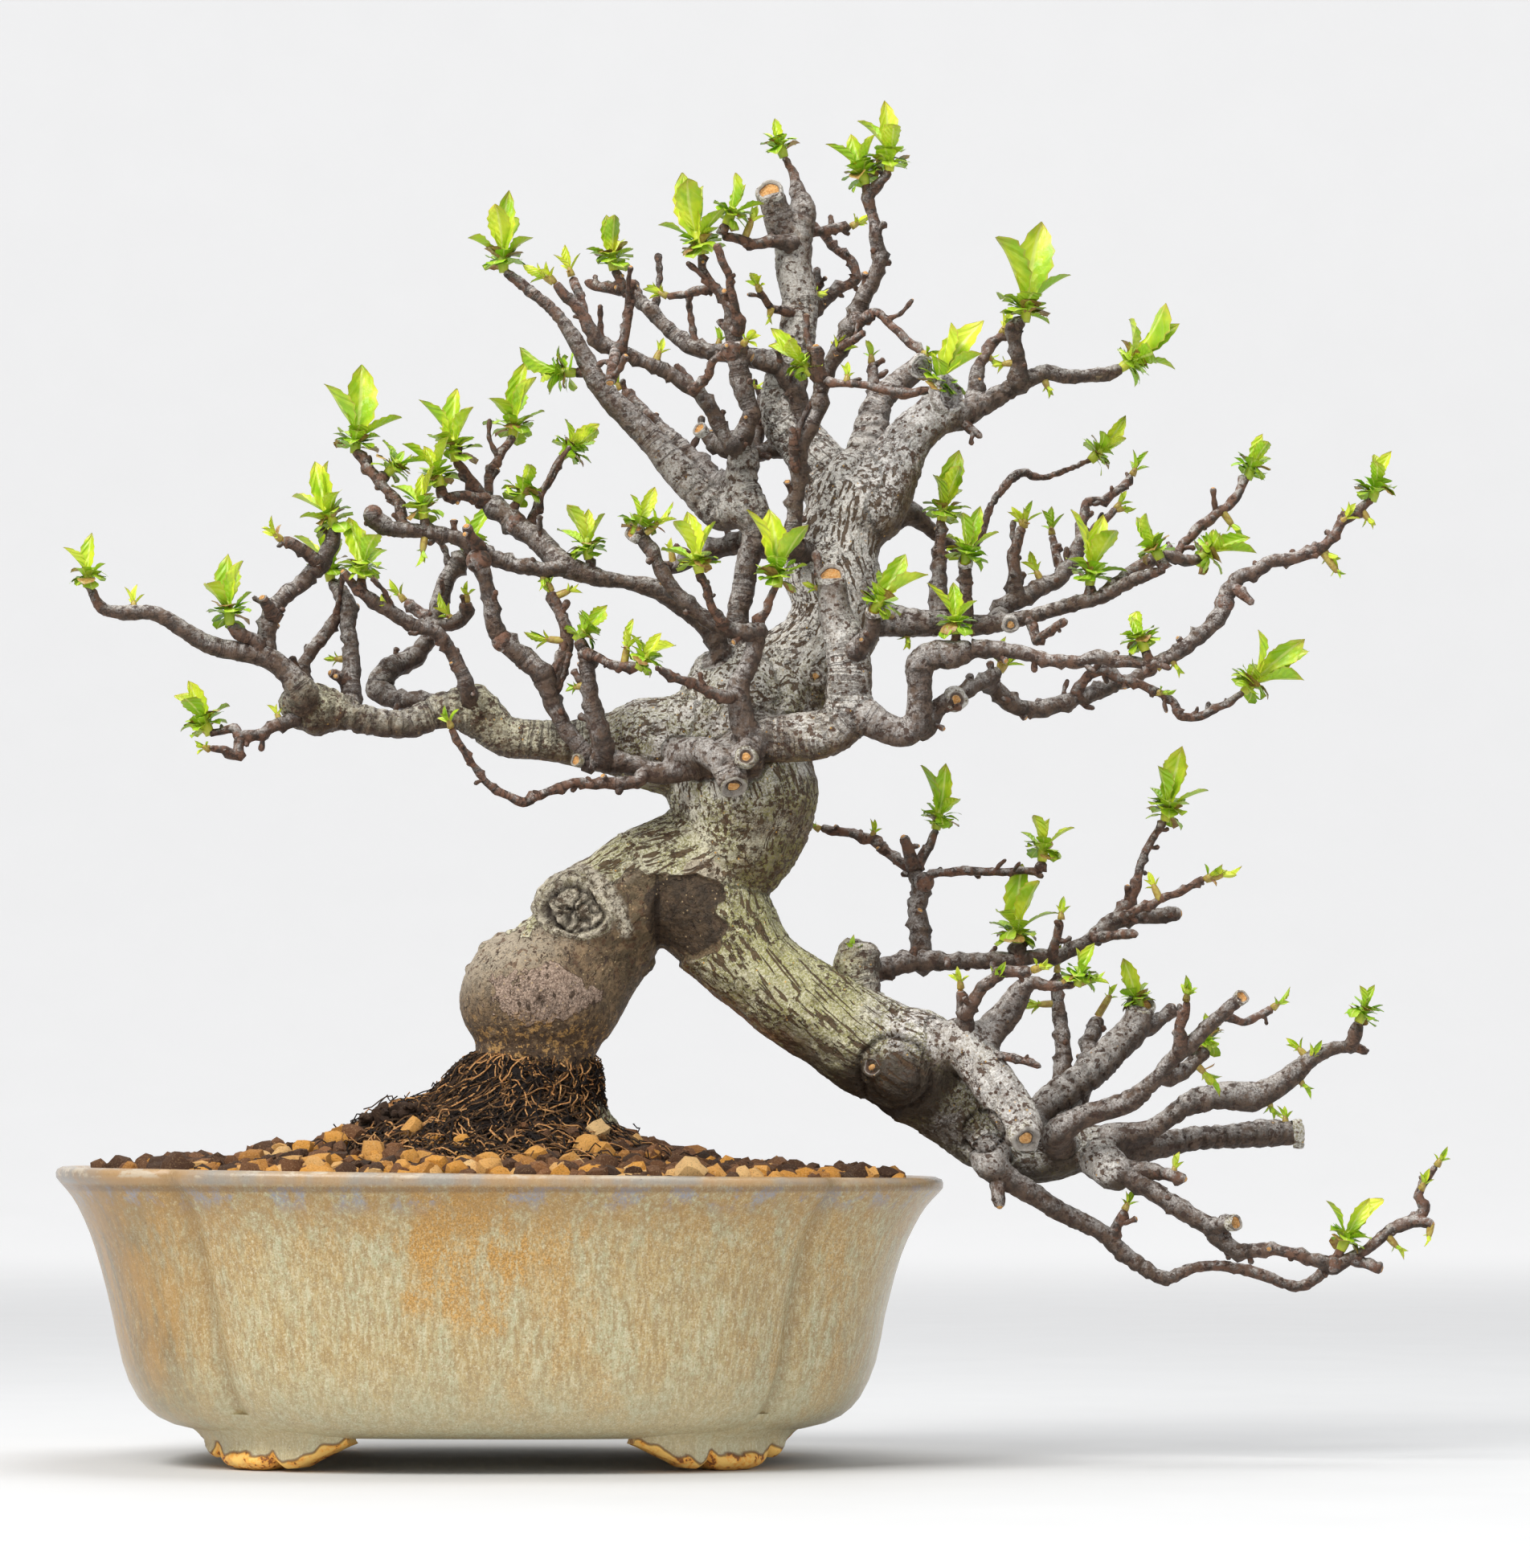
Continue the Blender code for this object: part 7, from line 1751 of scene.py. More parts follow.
    def shoot(self, number: int, branch: str, seen: tuple[float, float], tip: tuple[float, float],
            size: float, leaf_finish: Material) -> Object:
        """One shoot of young leaves.

        Args:
            number: the cluster's number.
            branch: the branch that carries it.
            seen: where it is seen.
            tip: where its longest leaf points to.
            size: the longest leaf.
            leaf_finish: the finish.

        Returns:
            The piece.
        """
        rng = random.Random(self.seed * 1000 + number)
        end, axis = self.seat(branch, seen, tip)
        shape = Shape()
        heart = end + axis * 1.6
        stem = [(end - axis * 0.6, 1.15), (heart, 1.35), (heart + axis * size * 0.22, 0.8)]
        Bar.through(stem, 0.8).into(shape, 8, scale=0.25, age=0.4, edge=0.5, run=0.3)
        reach = (set_back(*tip, end.y) - heart).length
        front = Vector((rng.uniform(-0.7, 0.7), -1, rng.uniform(-0.2, 0.4)))
        self.place(shape, heart, axis, front, min(reach, size * 1.25), rng.uniform(0.36, 0.46), 0.2, rng)
        side = axis.orthogonal().normalized()
        turn = rng.uniform(0, 2 * pi)
        count = 3 if size < 12 else 4 if size < 17 else 5
        for i in range(count):
            age = 0.1 + 0.9 * (i + 1) / count
            lean = radians(9 + 50 * age + rng.uniform(-9, 9))
            out, along = splay(axis, side, turn + i * 2.4, lean)
            length = size * (0.95 - 0.5 * age) * rng.uniform(0.85, 1.2)
            start = heart + axis * size * 0.22 * (1 - age) + out * 0.5
            self.place(shape, start, along, axis * 0.7 - out, length, 0.46 + 0.15 * age, age, rng)
        for i in range(17):
            lean = radians(rng.uniform(25, 105))
            out, along = splay(axis, side, turn + 1.2 + i * 2.4, lean)
            small = rng.uniform(2.6, 4.2) + size * 0.11
            husk = 0.9 if i % 6 == 1 else 0.0
            base = heart + axis * rng.uniform(-0.8, 1.6) + out * 0.6
            self.leaf(shape, base, along, axis - out * 0.5, small, small * 0.85, rng, rng.uniform(0.8, 1.8),
                husk)
        made = shape.build(f"leaves_{number:02d}", self.shift)
        return dress(made, leaf_finish, Slot.LEAF, f"leaf_cluster_{number:02d}")

    def place(self, shape: Shape, start: Vector, along: Vector, face: Vector, length: float, slim: float,
            age: float, rng: random.Random) -> None:
        """Adds a leaf, turned until it is clear of the wood."""
        axis = along
        for _ in range(24):
            arch = start + along * length * 0.95
            middle = start + along * length * 0.55
            clear = self.wood.near_all.wood
            if clear(arch) > 0.8 and clear(middle) > 0.7:
                break
            swing = Vector((rng.gauss(0, 1), rng.gauss(0, 1), rng.gauss(0, 1)))
            turned = Matrix.Rotation(rng.uniform(-0.7, 0.7), 3, swing)
            along = (turned @ axis).normalized()
            length *= 0.985
        if face.cross(along).length < 0.2:
            face = Vector((rng.uniform(-0.5, 0.5), -1, 0.3))
        face = (face - along * face.dot(along)).normalized()
        self.leaf(shape, start, along, face, length, length * slim, rng, age)

    def buds(self, leaf_finish: Material) -> Object:
        """The small opening buds along the twigs.

        Args:
            leaf_finish: the finish.

        Returns:
            The piece.
        """
        rng = random.Random(self.seed)
        shape = Shape()
        listed = [(self.wood.grown[branch], (x, z), size) for branch, x, z, size in BUDS]
        for x, z, size in SMALL_BUDS:
            nearest = min(self.wood.grown.values(), key=lambda line: self.off(line, x, z))
            if self.off(nearest, x, z) < 7:
                listed.append((nearest, (x, z), size))
        for line, seen, size in listed:
            carrier, radius, run = nearest_on(line, *seen)
            base = set_back(*seen, carrier.y)
            out = base - carrier
            axis = out.normalized() if out.length > 1 else (run + Vector((0, -0.6, 0.4))).normalized()
            start = carrier + axis * max(radius * 0.9, out.length - 1)
            Bar.through([(carrier, 1.0), (start, 0.9), (start + axis * 1.4, 0.5)], 0.7).into(shape, 7,
                scale=0.8, age=0.2, edge=0.5, run=0.2)
            side = axis.orthogonal().normalized()
            for i in range(5 if size > 6 else 4):
                outward, along = splay(axis, side, i * 2.4 + rng.uniform(0, 1), radians(8 + 15 * i))
                length = size * rng.uniform(0.75, 1.1) * (1 - 0.13 * i)
                self.leaf(shape, start, along, axis - outward * 0.6, length, length * 0.42, rng, 0.12 * i,
                    1.0 if i == 4 else 0.0)
        made = shape.build("small_buds", self.shift)
        return dress(made, leaf_finish, Slot.LEAF)

    @staticmethod
    def off(line: Stations, x: float, z: float) -> float:
        """How far from a branch a place is seen."""
        px, pz = seen_at(nearest_on(line, x, z)[0])
        return hypot(px - x, pz - z)

    def build(self, leaf_finish: Material) -> None:
        """Builds every shoot and the buds."""
        for number, (branch, x, z, tip_x, tip_z, size) in enumerate(SHOOTS, 1):
            self.shoot(number, branch, (x, z), (tip_x, tip_z), size, leaf_finish)
        self.buds(leaf_finish)


@dataclass
class Pot:
    """The four-lobed pot on cloud feet, in one piece."""

    shift: Vector
    outline: tuple[tuple[float, float], ...] = ((109, 74.2), (109.3, 73.4), (109.2, 72.2), (108.2, 71),
        (106.7, 69.4), (105.2, 67.6), (103.8, 65.4), (102.3, 62.5), (100.7, 59), (99.2, 55), (97.7, 50),
        (96.4, 45), (95.2, 40), (94, 34), (92.6, 28), (91, 23.5), (88.8, 19.2), (86.6, 16.6), (84, 14.6),
        (80.6, 13), (76.5, 12), (72, 11.3))
    inside: tuple[tuple[float, float], ...] = ((107.6, 74.9), (105.4, 74.8), (103.6, 73.9), (102, 71.8),
        (100.4, 69), (98, 64), (95.4, 58), (91, 45), (88, 31), (84.5, 22), (80, 17), (66, 16), (40, 16))
    depth_ratio: float = 0.78
    power: float = 2.6
    crease_angle: float = 39
    crease_turn: float = 2.2
    tilt: float = 0.0125
    crease_depth: float = 4.6
    segments: int = 320
    ground: float = 3.2
    foot_x: float = 58
    foot_reach: float = 27
    hole_x: float = 45
    hole_r: float = 9

    def __post_init__(self) -> None:
        """Spaces out the points along a foot."""
        self.foot_steps = np.linspace(-self.foot_reach, self.foot_reach, 91)

    def plan(self, half: float, creased: float = 1.0) -> np.ndarray:
        """The outline at one level.

        Args:
            half: half its length.
            creased: how deep the creases are there, as a share.

        Returns:
            The (x, y) of each point.
        """
        t = np.arange(self.segments) * 2 * pi / self.segments
        x = np.sign(np.cos(t)) * np.abs(np.cos(t)) ** (2 / self.power)
        y = np.sign(np.sin(t)) * np.abs(np.sin(t)) ** (2 / self.power)
        off = self.off_crease(x, y)
        depth = np.exp(-(off / 1.7) ** 2) * 0.42 + np.exp(-(off / 8) ** 2) * 0.58
        pinch = 1 - creased * self.crease_depth / half * depth
        return np.stack([x * half * pinch, y * half * self.depth_ratio * pinch], axis=1)

    def off_crease(self, x: np.ndarray, y: np.ndarray) -> np.ndarray:
        """How many degrees off the nearest crease a direction is."""
        turn = np.degrees(np.arctan2(y * self.depth_ratio, x)) - self.crease_turn
        turn = np.degrees(np.arctan2(np.abs(np.sin(np.radians(turn))), np.abs(np.cos(np.radians(turn)))))
        return np.abs(turn - self.crease_angle)

    def build(self, glaze: Material) -> Object:
        """Extrudes the wall from the base ring up over the lip and down to the floor, then adds the feet.

        Args:
            glaze: the finish.

        Returns:
            The piece.
        """
        deselect()
        levels = [(half, z) for half, z in reversed(self.outline)] + list(self.inside)
        half, z = levels[0]
        bpy.ops.mesh.primitive_circle_add(vertices=self.segments, radius=half * MM, location=(0, 0, z * MM))
        made = bpy.context.object
        made.name = "glazed_pot"
        bpy.ops.object.transform_apply(location=True)
        bpy.ops.object.mode_set(mode="EDIT")
        bpy.ops.mesh.select_all(action="SELECT")
        for (before, low), (after, high) in zip(levels, levels[1:]):
            bpy.ops.mesh.extrude_region_move(TRANSFORM_OT_translate={"value": (0, 0, (high - low) * MM)})
            bpy.ops.transform.resize(value=(after / before, after / before, 1))
        bpy.ops.mesh.edge_face_add()
        bpy.ops.mesh.select_all(action="DESELECT")
        bpy.ops.object.mode_set(mode="OBJECT")
        self.shape_wall(made, levels)
        self.add_feet(made)
        self.drill(made)
        made.data.transform(Matrix.Translation(self.shift * MM))
        close_up(made)
        bpy.ops.object.shade_smooth_by_angle(angle=radians(50))
        return dress(made, glaze, Slot.GLAZE, "pot")

    def shape_wall(self, made: Object, levels: list[tuple[float, float]]) -> None:
        """Gives each level its lobed plan and a hand-thrown unevenness."""
        mesh = made.data
        count = len(mesh.vertices)
        points = read_points(mesh) / MM
        outside = len(self.outline)
        crease = np.zeros(count, np.float32)
        for number, (half, z) in enumerate(levels):
            rows = slice(number * self.segments, (number + 1) * self.segments)
            creased = 1.0 if number < outside else 0.8
            ring = self.plan(half, creased)
            turn = np.arctan2(points[rows, 1], points[rows, 0])
            own = np.round(turn / (2 * pi) * self.segments).astype(int) % self.segments
            points[rows, :2] = ring[own]
            if number < outside:
                uneven = [0.45 * ruffle(p, 0.03) + 0.16 * ruffle(p, 0.11, 4) for p in points[rows]]
                away = np.linalg.norm(points[rows, :2], axis=1)[:, None]
                points[rows, :2] *= 1 + np.array(uneven)[:, None] / away
                crease[rows] = np.exp(-(self.off_crease(ring[own][:, 0] / half,
                    ring[own][:, 1] / half / self.depth_ratio) / 1.2) ** 2)
                points[rows, 2] += [0.3 * ruffle(p, 0.025, 6) for p in points[rows]]
            points[rows, 2] -= (self.tilt * points[rows, 0] + 0.3) * np.clip((z - 20) / 50, 0, 1)
        write_points(mesh, points, {"crease": crease, "bare": np.zeros(count, np.float32)})

    def foot_height(self, u: float) -> float:
        """How high the scalloped lower edge of a foot is, u along the pot's plan from the foot's middle."""
        return (self.ground + float(np.interp(u,
            [-24, -20, -17, -14.5, -12.5, -11, -9.6, -8.6, -7.6, -6, -3.5, 1, 5, 7.2, 8.6, 9.4, 10.4, 12,
            14.5, 18, 24, 29], [8.2, 7.4, 5.6, 3.4, 2.5, 2.6, 3.6, 3.2, 1.7, 0.7, 0.12, 0, 0.15, 0.8, 2.0,
            2.9, 1.6, 0.7, 0.9, 2.6, 5.4, 7.4])))

    def foot_line(self, half: float) -> tuple[np.ndarray, np.ndarray]:
        """The plan round the front right corner, evenly spaced, with the directions out of the pot.

        Args:
            half: half the plan's length.

        Returns:
            The places from side to front and the outward directions.
        """
        t = np.linspace(0.02, pi / 2 - 0.02, 400)
        x = np.cos(t) ** (2 / self.power) * half
        y = np.sin(t) ** (2 / self.power) * half * self.depth_ratio
        along = np.concatenate([[0], np.cumsum(np.hypot(np.diff(x), np.diff(y)))])
        middle = float(np.interp(-self.foot_x, -x, along))
        wanted = middle + self.foot_steps
        line = np.stack([np.interp(wanted, along, x), np.interp(wanted, along, y)], axis=1)
        run = np.gradient(line, axis=0)
        out = np.stack([run[:, 1], -run[:, 0]], axis=1)
        return line, out / np.linalg.norm(out, axis=1)[:, None]

    def add_feet(self, made: Object) -> None:
        """The four feet: aprons that carry the wall on round the corners, with bare, scalloped edges."""
        shape = Shape()
        line, out = self.foot_line(72)
        levels = np.array([0.0, 0.02, 0.05, 0.09, 0.14, 0.2, 0.28, 0.37, 0.47, 0.58, 0.7, 0.82, 0.92, 1.0])
        rows = len(levels)
        for side_x in (-1, 1):
            for side_y in (-1, 1):
                points, bare = [], []
                for j in range(2 * rows):
                    share = levels[j] if j < rows else levels[2 * rows - 1 - j]
                    for (x, y), (ox, oy), u in zip(line, out, self.foot_steps):
                        low = self.foot_height(float(u))
                        z = low + (17 - low) * share
                        push = np.interp(z - self.ground, [0, 1, 2.5, 4.5, 6.5, 8.5, 10.5, 12.5, 14],
                            [2.4, 3.3, 3.6, 3.3, 3.5, 4.6, 7.4, 10, 11])
                        push *= bell(max(0.0, abs(u) - 17), 9)
                        round_edge = exp(-(z - low) / 0.8)
                        lobe = max(bell(u, 6.4, 4), 0.6 * bell(u - 14, 4.5, 4), 0.6 * bell(u + 12.5, 2.6, 4))
                        push += 1.5 * lobe * bell(z - low - 2.2, 2.4) - 2.0 * round_edge
                        roll = sin(u * 1.1 + (z - low) * 1.6
                            + 2 * noise.noise(Vector((u * 0.2, side_x, side_y))))
                        push += 0.28 * roll * bell(z - low - 2, 2)
                        if j >= rows:
                            push = min(push, 4) - 7
                        points.append((side_x * (x + ox * push), side_y * (y + oy * push), z))
                        top = 1.6 + 2.6 * bell(u, 9)
                        top += 1.6 * noise.noise(Vector((u * 0.3, side_x * 3.0, side_y * 5.0)))
                        bare.append(1.0 if j >= rows else clip((top - (z - low)) / 1.5 + 0.5))
                count = len(self.foot_steps)
                faces = [(a * count + i, a * count + i + 1, (a + 1) % (2 * rows) * count + i + 1,
                    (a + 1) % (2 * rows) * count + i) for a in range(2 * rows) for i in range(count - 1)]
                faces.append(tuple(a * count for a in range(2 * rows)))
                faces.append(tuple(a * count + count - 1 for a in range(2 * rows - 1, -1, -1)))
                shape.add(np.array(points), faces, bare=np.array(bare))
        feet = shape.build("feet", Vector((0, 0, 0)), 50)
        close_up(feet)
        pick(made)
        feet.select_set(True)
        bpy.ops.object.join()

    def drill(self, made: Object) -> None:
        """Cuts the two drainage holes."""
        for x in (-self.hole_x, self.hole_x):
            deselect()
            bpy.ops.mesh.primitive_cylinder_add(vertices=48, radius=self.hole_r * MM, depth=0.03,
                location=(x * MM, 0, 0.012))
            cutter = bpy.context.object
            apply(made, "BOOLEAN", operation="DIFFERENCE", object=cutter, solver="EXACT")
            bpy.data.objects.remove(cutter, do_unlink=True)


@dataclass
class SoilBed:
    """The mound of akadama grains with the root mat at the neck."""

    shift: Vector
    pot: Pot
    neck_x: float = 6
    edge_half: float = 100
    reach: tuple[float, ...] = (0, 15, 20, 26, 33, 39, 47, 58, 74, 110)
    left_heights: tuple[float, ...] = (99, 98, 94, 91, 90, 86.5, 82.5, 79, 75.5, 73)
    right_heights: tuple[float, ...] = (97, 90, 86, 82.5, 79.6, 77.8, 76, 74.7, 73.8, 72.8)
    mat_levels: tuple[float, ...] = (-105.5, -103, -100, -97, -94, -91, -88, -84)
    mat_reach: tuple[tuple[float, ...], ...] = ((3, 8, 11, 13.5, 16.5, 21, 27, 35),
        (19, 22.5, 23.4, 23.6, 23.8, 24.2, 25, 28), (9, 14, 16.5, 18, 20, 23, 27, 32))
    marked: tuple[tuple[float, float, float, float], ...] = ((24, 84, 5.6, 0.98), (22.5, 80.5, 6.4, 0.8),
        (26, 79, 5, 0.78), (-20.5, 85.2, 4.4, 0.8), (-29, 79.2, 5.4, 0.8), (-19.5, 77.6, 5, 0.77),
        (-39.5, 82, 5, 0.76), (-47, 80, 4.6, 0.74), (-27, 88.0, 7, 0.16), (-22, 88.8, 6.5, 0.14),
        (-24.5, 88.9, 6, 0.1), (-30.5, 86.2, 6, 0.15), (-35, 83.5, 5.2, 0.42), (-1, 77, 5, 0.78),
        (11, 77.6, 6, 0.77), (19, 76.6, 5, 0.8))
    mat_fibres: int = 1000
    grain_count: int = 3000
    fibre_count: int = 1100
    seed: int = 8

    def height(self, x: float, y: float) -> float:
        """The top of the mound at a place."""
        off = x - self.neck_x
        away = hypot(off, y * 1.12)
        left = 0.5 - 0.5 * off / max(away, 0.1)
        level = sum(share * float(np.interp(away, self.reach, heights))
            for share, heights in ((left, self.left_heights), (1 - left, self.right_heights)))
        return level - self.pot.tilt * x * min(1.0, away / 70)

    def inside(self, x: float, y: float, half: float) -> bool:
        """Whether a place is inside the pot's plan at this half length."""
        return abs(x / half) ** self.pot.power + abs(y / (half * self.pot.depth_ratio)) ** self.pot.power < 1

    def rooted(self, x: float, y: float) -> float:
        """How much a place is covered by the root mat."""
        away = hypot((x + 4) / 1.15, y * (0.62 if y < 0 else 1))
        return clip((36 - away) / 7 + 0.9 * noise.noise(Vector((x * 0.11, y * 0.11, 4))))

    def build(self, finish: Material) -> list[Object]:
        """The bed with its grains, and the root mat with its fibres.

        Args:
            finish: the soil's finish.

        Returns:
            The two pieces.
        """
        rng = random.Random(self.seed)
        bed = Shape()
        self.add_bed(bed)
        self.add_grains(bed, rng)
        roots = Shape()
        self.add_fibres(roots, rng)
        self.add_sleeve(roots, rng)
        return [dress(shape.build(name, self.shift, 50), finish, Slot.SOIL, "soil")
            for shape, name in ((bed, "soil_bed"), (roots, "root_mat"))]

    def add_bed(self, shape: Shape) -> None:
        """The closed body of the bed under the loose grains."""
        segments = 150
        shares = [1.0, 1.0] + [1 - 0.04 * i for i in range(1, 25)]
        points, tones, roots = [], [], []
        for number, share in enumerate(shares):
            for i in range(segments):
                t = 2 * pi * i / segments
                c, s = cos(t), sin(t)
                x = copysign(abs(c) ** (2 / self.pot.power), c) * self.edge_half
                y = copysign(abs(s) ** (2 / self.pot.power), s) * self.edge_half * self.pot.depth_ratio
                x, y = self.neck_x * (1 - share) + x * share, y * share
                z = self.height(x, y) - 2.2
                place = np.array((x, y, z))
                z += 1.3 * ruffle(place, 0.25) + 0.8 * ruffle(place, 0.6, 3)
                if number == 0:
                    x, y, z = x * 0.9, y * 0.9, 50
                points.append((x, y, z))
                tones.append(0.08 + 0.1 * ruffle(place, 0.3, 8))
                roots.append(self.rooted(x, y) * 0.8)
        faces = net(len(shares), segments)
        faces.append(tuple(reversed(range(segments))))
        faces.append(tuple(range((len(shares) - 1) * segments, len(shares) * segments)))
        shape.add(np.array(points), faces, tone=np.array(tones), root=np.array(roots))

    @staticmethod
    def model_grains(rng: random.Random) -> list[tuple[np.ndarray, list[tuple[int, ...]]]]:
        """Eight worn pebbles, each from a subdivided cube."""
        kinds = []
        for _ in range(8):
            deselect()
            bpy.ops.mesh.primitive_cube_add(size=1)
            bpy.ops.object.mode_set(mode="EDIT")
            bpy.ops.mesh.subdivide(number_cuts=1)
            bpy.ops.transform.tosphere(value=0.72)
            bpy.ops.transform.vertex_random(offset=0.16, seed=rng.randrange(1000))
            bpy.ops.object.mode_set(mode="OBJECT")
            made = bpy.context.object
            kinds.append((np.array([v.co[:] for v in made.data.vertices]),
                [tuple(p.vertices) for p in made.data.polygons]))
            bpy.data.objects.remove(made, do_unlink=True)
        return kinds

    def add_grains(self, shape: Shape, rng: random.Random) -> None:
        """Loose grains, larger and more orange towards the rim."""
        kinds = self.model_grains(rng)
        placed = 0
        while placed < self.grain_count:
            x = rng.uniform(-self.edge_half, self.edge_half)
            y = rng.uniform(-self.edge_half, self.edge_half) * self.pot.depth_ratio
            if not self.inside(x, y, self.edge_half - 0.8):
                continue
            near_neck = hypot((x - self.neck_x) / 1.1, y)
            if near_neck < 13 or rng.random() < self.rooted(x, y) * 0.85:
                placed += 1
                continue
            rim = not self.inside(x, y, self.edge_half * 0.91)
            if x < -84 and rng.random() < 0.7:
                continue
            size = (rng.choice((2.0, 2.6, 3.2, 4.0, 5.0, 6.4)) * rng.uniform(0.85, 1.15)
                * (1.0 if rim else 0.85))
            front = not self.inside(x, min(y * 1.12, 0), self.edge_half * 0.93)
            if front:
                size = max(size, rng.uniform(3.0, 5.0))
            orange = (0.48 if front else 0.5 if rim else 0.11) * (1 if x > -70 else 0.6)
            orange += 0.15 if -45 < x < -5 and y < 0 else 0
            tone = rng.gauss(0.77, 0.08) if rng.random() < orange else rng.gauss(0.34, 0.1)
            tone = min(1.0, max(0.08, tone))
            points, faces = kinds[placed % len(kinds)]
            turn = self.tumble(rng)
            stretch = np.array((size, size * rng.uniform(0.55, 1.0), size * rng.uniform(0.5, 0.9)))
            z = self.height(x, y) + rng.uniform(-1.8, 1.0) - (0.9 if rim and size < 4 else 0.0)
            shape.add(points * stretch @ turn.T + np.array((x, y, z)), faces, tone=tone, root=0.0)
            placed += 1
        for number, (x, z, size, tone) in enumerate(self.marked):
            points, faces = kinds[number % len(kinds)]
            y = next(float(y) for y in range(-58, 8) if self.height(x, float(y)) > z - 1.2 or y == 7)
            for lump in range(1 if tone > 0.2 else 26):
                turn = self.tumble(rng)
                off = np.array([rng.uniform(-1, 1) * size * reach if tone <= 0.2 else 0.0
                    for reach in (0.55, 0.45, 0.3)])
                wide = size * (1.0 if tone > 0.2 else rng.uniform(0.16, 0.4))
                middle = np.array((x, y, z)) + off
                shape.add(points * (wide, wide * 0.85, wide * 0.75) @ turn.T + middle, faces, tone=tone,
                    root=0.0)

    @staticmethod
    def tumble(rng: random.Random) -> np.ndarray:
        """A random turn of a grain."""
        axis = rng.uniform(0, 6.3), rng.gauss(0, 1), rng.gauss(0, 1)
        return np.array(Matrix.Rotation(axis[0], 3, Vector((axis[1], axis[2], 1))))

    def mat(self, z: float, turn: float, lift: float = 0.0) -> Vector:
        """A place on the root mat that clothes the trunk's foot.

        Args:
            z: the height.
            turn: the direction from its middle.
            lift: how far out of the mat it is.

        Returns:
            The place.
        """
        left, right, deep = (float(np.interp(-z, self.mat_levels, row)) + lift for row in self.mat_reach)
        return Vector(((right - left) / 2 + cos(turn) * (right + left) / 2, sin(turn) * deep, z))

    def add_sleeve(self, shape: Shape, rng: random.Random) -> None:
        """The matted roots that clothe the trunk's foot, with fibres running over them."""
        sides, count = 110, 36
        points = []
        for z in np.linspace(105, 84, count):
            for j in range(sides):
                turn = j * 2 * pi / sides
                place = self.mat(z, turn)
                lift = (1.6 * ruffle(place, 0.2) + 1.0 * ruffle(place, 0.6, 5) + 0.5 * ruffle(place, 1.4, 2)
                    - 0.6)
                points.append(self.mat(z, turn, lift))
        faces = [(a, d, c, b) for a, b, c, d in net(count, sides)]
        faces += [tuple(reversed(range(sides))), tuple(range((count - 1) * sides, count * sides))]
        shape.add(np.array(points), faces, tone=0.0, root=1.0)
        for _ in range(self.mat_fibres):
            turn = rng.uniform(0, 2 * pi)
            z = rng.uniform(86, 104)
            heading = rng.uniform(0, 2 * pi)
            lift = rng.uniform(-0.6, 1.5)
            thick = rng.choice((0.05, 0.06, 0.08, 0.1, 0.14, 0.22))
            line = []
            for k in range(rng.randrange(5, 11)):
                line.append((self.mat(z, turn, lift + 0.8 * sin(k * 1.9 + turn * 3)), thick * (1 - k / 16)))
                heading += rng.uniform(-0.9, 0.9)
                turn += cos(heading) * 0.095
                z += sin(heading) * 1.7
                if z < 84 or z > 105:
                    break
            if len(line) > 3:
                Bar.through(line, 1.25).into(shape, 3, tone=rng.choice((0.0, 0.02, 0.07, 0.25, 1.0)),
                    root=1.0)

    def add_fibres(self, shape: Shape, rng: random.Random) -> None:
        """Thin roots matted round the neck, with a few that stray over the grains."""
        for i in range(self.fibre_count):
            stray = i % 12 == 0
            turn = rng.uniform(0, 2 * pi)
            start_r = rng.uniform(13, 36)
            x = self.neck_x - 4 + cos(turn) * start_r * 1.05
            y = sin(turn) * start_r * (1.5 if turn > pi else 1)
            heading = turn + rng.uniform(-1.9, 1.9)
            line = []
            lift = rng.uniform(-0.4, 1.0)
            thick = rng.choice((0.1, 0.12, 0.15, 0.2, 0.3)) * (1.0 if not stray else 0.8)
            for k in range(rng.randrange(6, 14)):
                height = (self.height(x, y) + lift + 1.4 * sin(k * rng.uniform(0.6, 1.1))
                    + (k * 0.25 if stray else 0))
                line.append((Vector((x, y, height)), thick * (1 - k / 18)))
                heading += rng.uniform(-0.95, 0.95)
                x += cos(heading) * 2.0
                y += sin(heading) * 2.0
                if not self.inside(x, y, self.edge_half - 8):
                    break
            if len(line) > 3:
                Bar.through(line, 1.6).into(shape, 3, tone=rng.choice((0.0, 0.02, 0.07, 0.25, 1.0)),
                    root=1.0)


